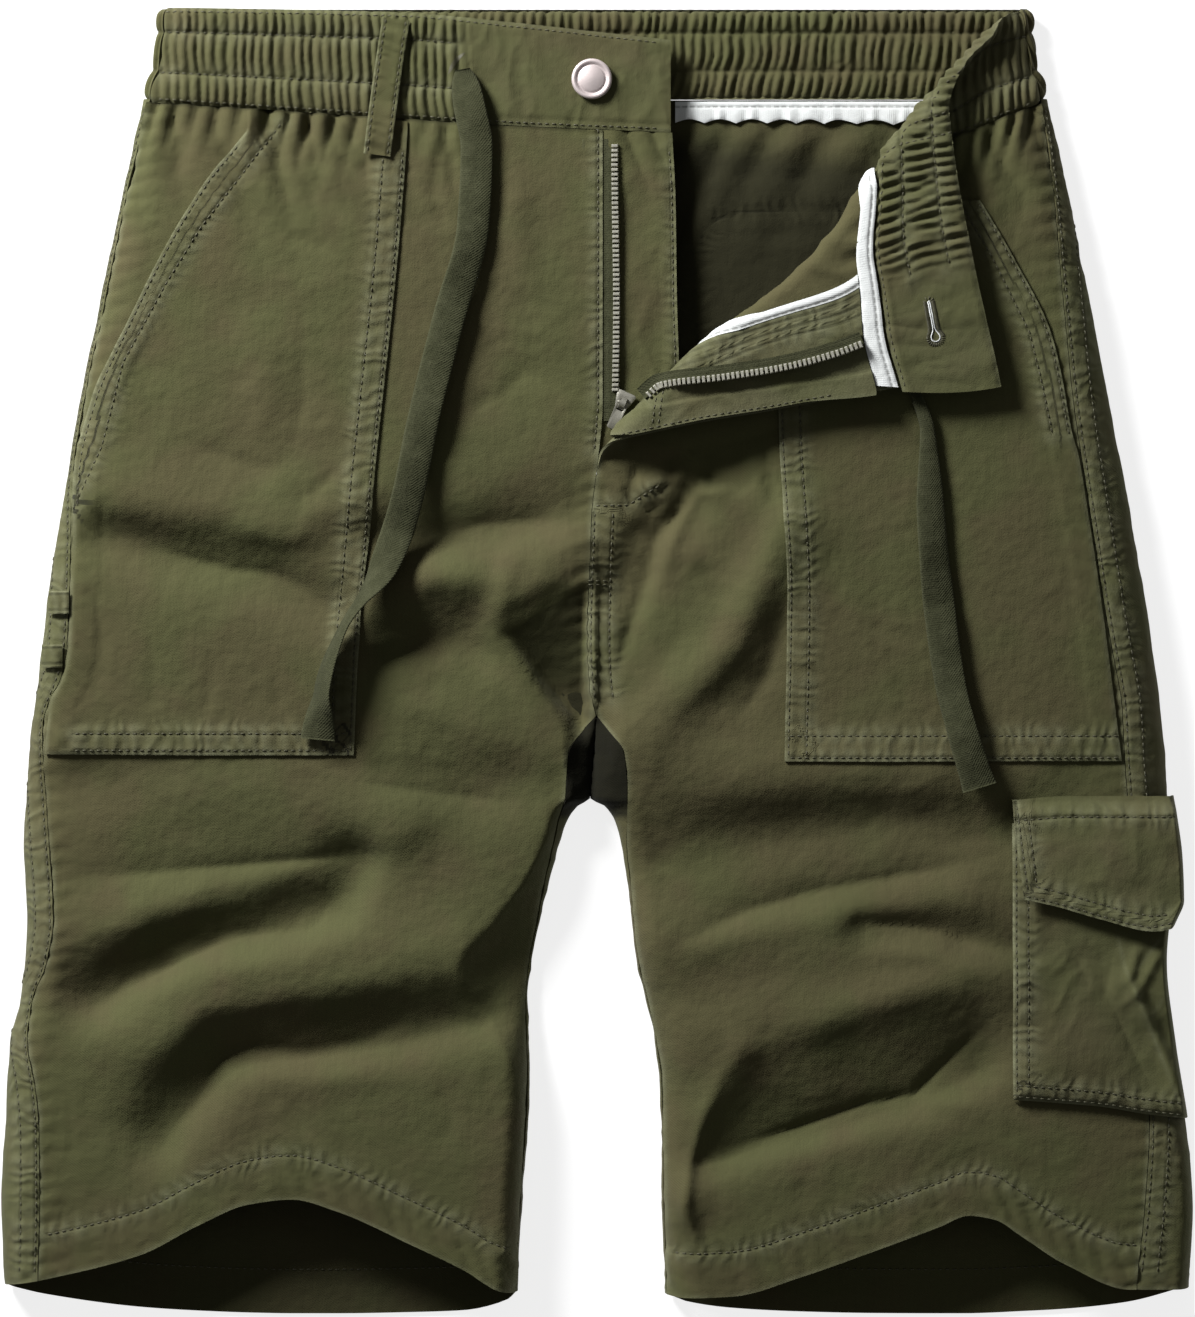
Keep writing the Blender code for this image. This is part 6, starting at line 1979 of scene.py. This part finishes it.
def openings(size):
    """The buttonhole's sewn ring and pale slit, and the dark slit that the right cord leaves by, a
    thread-coloured patch that is painted shade of its opening.
    """
    ring, outward = keyhole(1.7)
    band = "cloth_waistband_left"
    rows = [[tuple(p - 1.5 * n), tuple(p + 1.5 * n)] for p, n in zip(ring, outward)]
    stitches("stitch_buttonhole", band, rows, size, height_over(band))
    lips = []
    for away, rise in ((0.65, 0.05), (0.3, 0.5), (0.12, 0.05)):
        lips.append(np.column_stack([keyhole(away)[0], rise + 0 * ring[:, 0]]))
    patch("buttonhole_lining", band, lips, white_tape(size), "white_tape")
    # The cord's slit is a dark patch in thread colour, painted shade standing in for the opening
    line, ahead, run = even_line(CORD_SLIT, 0.5)
    half = (0.9 * np.sin(math.pi * run / run[-1]) ** 0.6)[:, None] * to_left(ahead)
    rings = [np.column_stack([line + k * half, 0.12 + 0 * run]) for k in (1, 0.33, -0.33, -1)]
    patch("cord_slit", "cloth_waistband_right", rings, thread(size), "twill")


def patch(name, cloth, rings, finish, slot):
    """A small strip that lies close on a cloth piece. rings are rows of points with their rise over it."""
    drop = height_over(cloth)
    grid = np.array([[(x, y, drop(x, y)[0] + rise) for x, y, rise in row] for row in rings])
    if faces_down(grid):
        grid = grid[::-1]
    flat = grid[..., :2]
    marks = np.stack([20 + 0 * flat[..., 0], flat[..., 1], 0 * flat[..., 0]], -1)
    piece = grid_wall(name, grid, grid - (0, 0, 0.15), finish, flat, marks)
    piece.parent = bpy.data.objects[cloth]
    dress(piece, slot)


def hem_back_row(side):
    """Stitch row of a back hem, seen inside the open leg."""
    xs = np.arange(-224, -38, 8.0) if side == "right" else np.arange(38, 222, 8.0)
    return HEM[side].line("back", xs, HEM_DEPTH)


# Materials


class Socket:
    """A socket of a material's nodes. Python's operators add Math nodes to it."""

    def __init__(self, graph, out):
        self.graph, self.out = graph, out

    def math(self, operation, *others, swap=False):
        ends = (*others, self) if swap else (self, *others)
        return self.graph.add("ShaderNodeMath", {"operation": operation}, dict(enumerate(ends)))

    def __add__(self, other):
        return self.math("ADD", other)

    __radd__ = __add__

    def __sub__(self, other):
        return self.math("SUBTRACT", other)

    def __rsub__(self, other):
        return self.math("SUBTRACT", other, swap=True)

    def __mul__(self, other):
        return self.math("MULTIPLY", other)

    __rmul__ = __mul__

    def __neg__(self):
        return self.math("MULTIPLY", -1.0)

    def __abs__(self):
        return self.math("ABSOLUTE")

    def sine(self):
        return self.math("SINE")

    def bell(self):
        """1 at zero, falling off to both sides."""
        return (-(self * self)).math("EXPONENT")

    def between(self, low, high):
        """0 at low and 1 at high, smooth between them."""
        return self.graph.add(
            "ShaderNodeMapRange", {"interpolation_type": "SMOOTHSTEP"}, {0: self, 1: low, 2: high}
        )


class Graph:
    """A material under construction."""

    def __init__(self, name):
        self.material = bpy.data.materials.new(name)
        self.material.use_nodes = True
        self.tree = self.material.node_tree
        self.shader = self.tree.nodes["Principled BSDF"]

    def add(self, kind, settings=None, values=None, out=0):
        """A node with its settings, then the values or links of its sockets. Returns its output."""
        node = self.tree.nodes.new(kind)
        for name, value in (settings or {}).items():
            if name == "stops":
                for stop, (place, colour) in zip(node.color_ramp.elements, value):
                    stop.position, stop.color = place, colour
            else:
                setattr(node, name, value)
        for name, value in (values or {}).items():
            self.feed(node.inputs[name], value)
        return Socket(self, node.outputs[out])

    def feed(self, socket, value):
        if isinstance(value, Socket):
            self.tree.links.new(value.out, socket)
        elif socket.type == "RGBA" and len(value) == 3:
            socket.default_value = (*value, 1.0)
        else:
            socket.default_value = value

    def mix(self, a, b, factor):
        """Two colours mixed by a factor from 0 to 1."""
        settings = {"data_type": "RGBA", "clamp_factor": True}
        return self.add("ShaderNodeMix", settings, {"Factor": factor, 6: a, 7: b}, 2)

    def scale(self, vector, value):
        return self.add("ShaderNodeVectorMath", {"operation": "SCALE"}, {0: vector, "Scale": value})

    def stretch(self, vector, factors):
        return self.add("ShaderNodeVectorMath", {"operation": "MULTIPLY"}, {0: vector, 1: factors})

    def split(self, vector):
        node = self.add("ShaderNodeSeparateXYZ", {}, {0: vector}).out.node
        return [Socket(self, node.outputs[i]) for i in range(3)]

    def noise(self, vector, scale, detail=2.0, rough=0.5, seed=0.0):
        """Noise from 0 to 1 with about scale features a unit."""
        shift = (seed, seed * 0.7, seed * 1.3)
        where = self.add("ShaderNodeVectorMath", {"operation": "ADD"}, {0: vector, 1: shift})
        return self.add(
            "ShaderNodeTexNoise", {}, {"Vector": where, "Scale": scale, "Detail": detail, "Roughness": rough}
        )

    def cloth(self):
        """Cut coordinates in millimetres, and the piece's own position in millimetres."""
        flat = self.add("ShaderNodeUVMap", {"uv_map": "cloth"}, {})
        return self.scale(flat, 1000.0), self.scale(self.add("ShaderNodeTexCoord", {}, {}, 3), 1000.0)

    def seam(self):
        """Distance to the nearest stitch row, distance along it, and wear with painted light and shade."""
        return self.split(self.add("ShaderNodeAttribute", {"attribute_name": "seam"}, {}, 1))

    def finish(self, colour, roughness, height=None, metallic=0.0, sheen=0.0, specular=0.5):
        """Feeds the shader. height is in millimetres."""
        self.feed(self.shader.inputs["Base Color"], colour)
        self.feed(self.shader.inputs["Roughness"], roughness)
        self.shader.inputs["Metallic"].default_value = metallic
        self.shader.inputs["Sheen Weight"].default_value = sheen
        self.shader.inputs["Specular IOR Level"].default_value = specular
        if height is not None:
            bump = self.add("ShaderNodeBump", {}, {"Strength": 1.0, "Distance": MM, "Height": height})
            self.feed(self.shader.inputs["Normal"], bump)


def made_once(build):
    """Makes a finish the first time that a piece asks for it, and keeps it for the others."""
    name = "shorts_" + build.__name__

    def finish(size):
        if name not in bpy.data.materials:
            build(Graph(name), size)
        return bpy.data.materials[name]

    return finish


@made_once
def twill(g, size):
    """Garment-dyed cotton twill: diagonal ribs, slubs, uneven dye, pale puckers along its seams from wear,
    painted highlights on some creases and edges, and painted shade inside the legs, between them, beside the
    centre seam and along the waist seam.
    """
    flat, where = g.cloth()
    u, v, _ = g.split(flat)
    away, along, worn = g.seam()
    cloud = g.noise(where, 1 / 55, 2.0, 0.55)
    patch = g.noise(where, 1 / 15, 1.0, 0.6, 31.0)
    slub = g.noise(g.stretch(flat, (1.0, 0.06, 0.0)), 0.8, 1.0, 0.6, 7.0)
    grain = g.noise(flat, 1.3, 1.0, 0.7, 3.0)
    rib = ((u * 0.82 + v) * (2 * math.pi / 1.05) + grain * 2.5).sine()
    colour = g.mix(size.olive, size.brown, cloud.between(0.4, 0.62) * 0.85 + patch.between(0.45, 0.75) * 0.4)
    puckers = ((along * (2 * math.pi / 5.5) + patch * 18.0).sine() * 0.5 + 0.5) * (away * 0.2).bell()
    wear = worn * (0.35 + grain * 0.5) + puckers * 0.3 * worn.between(0.02, 0.3)
    # The third seam value mixes in the pale colour: wear at seams and puckers, and painted highlights on the
    # cargo creases, the turned edge strip and the side loops
    colour = g.mix(colour, size.worn, wear * (0.35 + patch.between(0.25, 0.65) * 0.65))
    shade = 0.8 + slub * 0.14 + grain * 0.26 + rib * 0.03
    # Painted shade: below zero the third seam value mixes in the painted shade colour, and below -1 it
    # darkens the cloth further
    colour = g.mix(colour, size.wrong_side, worn.between(-0.2, -0.9))
    colour = g.scale(colour, 1.0 - worn.between(-1.1, -1.9) * 0.6)
    colour = g.scale(colour, shade * (1.0 - (away * 1.6).bell() * 0.3))
    groove = (away * 1.25).bell() * -0.26
    height = rib * 0.03 + grain * 0.16 + slub * 0.04 + groove + puckers * 0.32
    height = height + g.noise(where, 1 / 5.5, 1.0, 0.6, 11.0) * 0.5
    g.finish(colour, 0.84 + grain * 0.12, height, sheen=0.03, specular=0.12)


@made_once
def webbing(g, size):
    """Soft woven cotton tape with a herringbone of fine ribs."""
    flat, where = g.cloth()
    u, v, _ = g.split(flat)
    mottle = g.noise(where, 1 / 7, 2.0, 0.6)
    grain = g.noise(flat, 1.1, 2.0, 0.7, 5.0)
    rib = ((abs(u) + v) * (2 * math.pi / 1.3) + grain * 3.0).sine()
    rows = (v * (2 * math.pi / 0.9)).sine()
    colour = g.mix(size.string, size.string_worn, mottle.between(0.35, 0.75) * 0.55 + grain * 0.15)
    away = g.seam()[0]
    colour = g.mix(colour, size.string_worn, (away * 1.3).bell() * 0.6)
    colour = g.scale(colour, 0.6 + grain * 0.7 + rib * 0.05)
    height = rib * 0.05 + rows * 0.02 + grain * 0.3 + mottle * 0.7
    g.finish(colour, 0.9, height, sheen=0.03, specular=0.1)


@made_once
def white_tape(g, size):
    """White cotton seam tape with a fine rib and one dark row of stitches."""
    flat, where = g.cloth()
    u = g.split(flat)[0]
    away, along, _ = g.seam()
    grain = g.noise(flat, 1.8, 2.0, 0.6)
    cloud = g.noise(where, 1 / 8, 2.0, 0.5)
    dashes = (along * (2 * math.pi / 3.2)).sine().between(-0.7, -0.2)
    line = (away * 2.4).bell() * (0.35 + dashes * 0.5)
    colour = g.mix(size.tape, size.tape_shade, cloud * 0.35 + grain * 0.15)
    colour = g.mix(colour, (0.07, 0.07, 0.06), line * 0.8)
    ribs = (u * (2 * math.pi / 0.9)).sine()
    height = grain * 0.12 + ribs * 0.02 - (away * 1.3).bell() * 0.3 + cloud * 0.6
    g.finish(colour, 0.85, height, sheen=0.1, specular=0.2)


@made_once
def thread(g, size):
    """Core-spun polyester thread, dyed with the cloth."""
    where = g.cloth()[1]
    grain = g.noise(where, 2.2, 2.0, 0.6)
    g.finish(g.mix(size.thread_dark, size.thread_light, grain.between(0.45, 0.75)), 0.6, grain * 0.06)


@made_once
def nickel(g, size):
    """Zip metal, tumbled and slightly matt."""
    where = g.cloth()[1]
    grain = g.noise(where, 2.5, 3.0, 0.6)
    cloud = g.noise(where, 0.4, 2.0, 0.5, 9.0)
    colour = g.mix(size.metal, (0.3, 0.28, 0.25), cloud.between(0.5, 0.8) * 0.5)
    g.finish(colour, 0.34 + grain * 0.16, grain * 0.03, metallic=0.6)


@made_once
def dark_nickel(g, size):
    """The slider's metal, darker than the teeth from rubbing."""
    grain = g.noise(g.cloth()[1], 2.5, 3.0, 0.6)
    colour = g.mix(size.slider, (0.12, 0.115, 0.09), grain.between(0.4, 0.8) * 0.6)
    g.finish(colour, 0.42 + grain * 0.16, grain * 0.05, metallic=0.6)


@made_once
def button_metal(g, size):
    """Pale nickel with a faint pink cast and brushed face."""
    where = g.cloth()[1]
    grain = g.noise(g.stretch(where, (0.4, 3.0, 1.0)), 1.5, 3.0, 0.6)
    cloud = g.noise(where, 0.25, 2.0, 0.5, 9.0)
    colour = g.mix(size.button, (0.5, 0.45, 0.44), cloud.between(0.45, 0.8) * 0.4)
    g.finish(colour, 0.42 + grain * 0.2, grain * 0.04, metallic=0.5)


@made_once
def studio_floor(g, size):
    """Plain pale paper."""
    where = g.cloth()[1]
    g.finish(g.mix(size.floor, (0.33, 0.33, 0.33), g.noise(where, 0.004, 2.0) * 0.1), 0.9, specular=0.1)
    g.shader.inputs["Emission Color"].default_value = (1.0, 1.0, 1.0, 1.0)
    g.shader.inputs["Emission Strength"].default_value = size.floor_glow


# Stage


def lamp(name, at, aim, power, across):
    """A square area lamp that faces a point."""
    data = bpy.data.lights.new(name, "AREA")
    data.energy, data.shape, data.size = power, "SQUARE", across
    made = bpy.data.objects.new(name, data)
    made.location = at
    made.rotation_euler = (Vector(aim) - Vector(at)).to_track_quat("-Z", "Y").to_euler()
    bpy.context.scene.collection.objects.link(made)


def stage(size):
    """Pale floor, a low soft key light beyond the waist to the right, fill, and the camera overhead."""
    mesh = bpy.data.meshes.new("floor")
    corners = [(x * FLOOR_HALF, y * FLOOR_HALF, 0) for x, y in ((-1, -1), (1, -1), (1, 1), (-1, 1))]
    mesh.from_pydata(corners, [], [(0, 1, 2, 3)])
    mesh.materials.append(studio_floor(size))
    floor = bpy.data.objects.new("floor", mesh)
    floor.location.z = FLOOR_LEVEL * MM
    bpy.context.scene.collection.objects.link(floor)
    lamp("key", KEY_AT, (0, 0, 0), size.key_power, KEY_SIZE)
    lamp("fill", (1.2, -0.9, 1.6), (0, 0, 0), size.fill_power, 1.6)
    world = bpy.data.worlds.new("studio")
    world.use_nodes = True
    world.node_tree.nodes["Background"].inputs["Color"].default_value = (1.0, 1.0, 1.0, 1.0)
    world.node_tree.nodes["Background"].inputs["Strength"].default_value = size.sky
    bpy.context.scene.world = world
    bpy.context.scene.view_settings.view_transform = "Standard"
    data = bpy.data.cameras.new("camera")
    data.sensor_width, data.lens = SENSOR, SENSOR * CAMERA_HEIGHT / VIEW_ACROSS
    data.sensor_fit = "HORIZONTAL"
    camera = bpy.data.objects.new("camera", data)
    camera.location = (*CAMERA_OVER, CAMERA_HEIGHT)
    bpy.context.scene.collection.objects.link(camera)
    bpy.context.scene.camera = camera


# Add-on


def amount(name, description, default, unit="NONE"):
    return bpy.props.FloatProperty(name=name, description=description, default=default, min=0.0, unit=unit)


def sized(name, description, default):
    return amount(name, description, default, "LENGTH")


def tint(name, description, default):
    return bpy.props.FloatVectorProperty(
        name=name, description=description, default=default, size=3, min=0.0, max=1.0, subtype="COLOR"
    )


class ShortsSize(bpy.types.PropertyGroup):
    """Sizes and colours that a user would change."""

    cloth: sized("Cloth", "Thickness of the twill", 0.001)
    band: sized("Waistband", "Thickness of the doubled band with its elastic", 0.002)
    thread: sized("Thread", "Width of a stitch", 0.0006)
    stitch_pitch: sized("Stitch pitch", "Distance from one stitch to the next", 0.003)
    zip_pitch: sized("Zip pitch", "Distance from one tooth to the next", 0.002)
    olive: tint("Olive", "Colour of the cloth", (0.0685, 0.07, 0.0285))
    brown: tint("Brown", "Colour of the cloth where the dye took unevenly", (0.071, 0.0637, 0.0292))
    # Pale colour of wear at edges and puckers, also painted on as highlights along the cargo pocket's
    # creases, on the turned edge strip and on the side loops
    worn: tint("Worn", "Colour of worn edges and puckers", (0.142, 0.145, 0.084))
    # Painted shade: a colour that stands in for the shade inside the legs, between them, beside the centre
    # seam and along the waist seam
    wrong_side: tint("Wrong side", "Colour of the cloth seen inside the legs", (0.02, 0.019, 0.0085))
    string: tint("Drawstring", "Colour of the waist cord", (0.034, 0.036, 0.017))
    string_worn: tint("Worn drawstring", "Colour of the cord's edges", (0.057, 0.059, 0.031))
    tape: tint("Seam tape", "Colour of the white seam tape", (0.72, 0.74, 0.73))
    tape_shade: tint("Seam tape shade", "Colour of the seam tape in its hollows", (0.5, 0.52, 0.52))
    thread_dark: tint("Thread", "Colour of the thread", (0.052, 0.05, 0.025))
    thread_light: tint("Light thread", "Colour of the thread where it catches light", (0.09, 0.086, 0.047))
    metal: tint("Zip metal", "Colour of the zip", (0.54, 0.53, 0.45))
    slider: tint("Slider metal", "Colour of the zip's slider and pull tab", (0.33, 0.32, 0.27))
    button: tint("Button", "Colour of the button", (0.6, 0.52, 0.51))
    floor: tint("Floor", "Colour of the floor", (0.38, 0.38, 0.38))
    key_power: amount("Key light", "Power of the key light", 58.0, "POWER")
    fill_power: amount("Fill light", "Power of the fill light", 0.6, "POWER")
    floor_glow: amount("Floor glow", "Light of the floor itself", 0.8)
    sky: amount("Sky", "Strength of the light from all round", 0.125)


class SHORTS_OT_fronts(bpy.types.Operator):
    """Builds the two front panels"""

    bl_idname = "shorts.fronts"
    bl_label = "Fronts"

    def execute(self, context):
        for side in ("right", "left"):
            front_panel(side, context.scene.shorts)
        return {"FINISHED"}


class SHORTS_OT_patch_pockets(bpy.types.Operator):
    """Builds the two patch pockets"""

    bl_idname = "shorts.patch_pockets"
    bl_label = "Patch pockets"

    def execute(self, context):
        for side in ("right", "left"):
            patch_pocket(side, context.scene.shorts)
        return {"FINISHED"}


class SHORTS_OT_backs(bpy.types.Operator):
    """Builds the two back panels and the back pocket"""

    bl_idname = "shorts.backs"
    bl_label = "Backs"

    def execute(self, context):
        for side in ("right", "left"):
            back_panel(side, context.scene.shorts)
        back_pocket(context.scene.shorts)
        return {"FINISHED"}


class SHORTS_OT_waistband(bpy.types.Operator):
    """Builds the waistband's three pieces"""

    bl_idname = "shorts.waistband"
    bl_label = "Waistband"

    def execute(self, context):
        for side in ("right", "left"):
            front_band(side, context.scene.shorts)
        back_band(context.scene.shorts)
        return {"FINISHED"}


class SHORTS_OT_cargo(bpy.types.Operator):
    """Builds the cargo pocket and its flap"""

    bl_idname = "shorts.cargo"
    bl_label = "Cargo pocket"

    def execute(self, context):
        cargo(context.scene.shorts)
        return {"FINISHED"}


class SHORTS_OT_loops(bpy.types.Operator):
    """Builds the belt loop and the side loops"""

    bl_idname = "shorts.loops"
    bl_label = "Loops"

    def execute(self, context):
        loops(context.scene.shorts)
        return {"FINISHED"}


class SHORTS_OT_fly(bpy.types.Operator):
    """Builds the fly's facing, shield, seam tapes and zip"""

    bl_idname = "shorts.fly"
    bl_label = "Fly"

    def execute(self, context):
        size = context.scene.shorts
        fly_facing(size)
        waist_tapes(size)
        fly_shield(size)
        zip_tapes(size)
        return {"FINISHED"}


class SHORTS_OT_hardware(bpy.types.Operator):
    """Builds the button, the zip's slider and its pull tab"""

    bl_idname = "shorts.hardware"
    bl_label = "Button and slider"

    def execute(self, context):
        size = context.scene.shorts
        button(size)
        zip_slider(size)
        pull_tab(size)
        return {"FINISHED"}


class SHORTS_OT_drawstrings(bpy.types.Operator):
    """Builds the two ends of the waist cord"""

    bl_idname = "shorts.drawstrings"
    bl_label = "Drawstrings"

    def execute(self, context):
        drawstrings(context.scene.shorts)
        return {"FINISHED"}


class SHORTS_OT_stitching(bpy.types.Operator):
    """Sews the seams"""

    bl_idname = "shorts.stitching"
    bl_label = "Stitching"

    def execute(self, context):
        stitching(context.scene.shorts)
        return {"FINISHED"}


class SHORTS_OT_stage(bpy.types.Operator):
    """Sets the floor, the lights and the camera"""

    bl_idname = "shorts.stage"
    bl_label = "Stage"

    def execute(self, context):
        stage(context.scene.shorts)
        return {"FINISHED"}


OPERATORS = (
    SHORTS_OT_stage,
    SHORTS_OT_fronts,
    SHORTS_OT_patch_pockets,
    SHORTS_OT_backs,
    SHORTS_OT_waistband,
    SHORTS_OT_cargo,
    SHORTS_OT_loops,
    SHORTS_OT_fly,
    SHORTS_OT_hardware,
    SHORTS_OT_drawstrings,
    SHORTS_OT_stitching,
)


class SHORTS_PT_build(bpy.types.Panel):
    """Lists the shorts' pieces and sizes"""

    bl_label = "Cargo Shorts"
    bl_idname = "SHORTS_PT_build"
    bl_space_type = "VIEW_3D"
    bl_region_type = "UI"
    bl_category = "Cargo Shorts"

    def draw(self, context):
        for name in ShortsSize.__annotations__:
            self.layout.prop(context.scene.shorts, name)
        for operator in OPERATORS:
            self.layout.operator(operator.bl_idname)


CLASSES = (ShortsSize, *OPERATORS, SHORTS_PT_build)


def register():
    for each in CLASSES:
        bpy.utils.register_class(each)
    bpy.types.Scene.shorts = bpy.props.PointerProperty(type=ShortsSize)


def unregister():
    del bpy.types.Scene.shorts
    for each in reversed(CLASSES):
        bpy.utils.unregister_class(each)


def main():
    register()
    for operator in OPERATORS:
        group, name = operator.bl_idname.split(".")
        getattr(getattr(bpy.ops, group), name)()


if __name__ == "__main__":
    main()
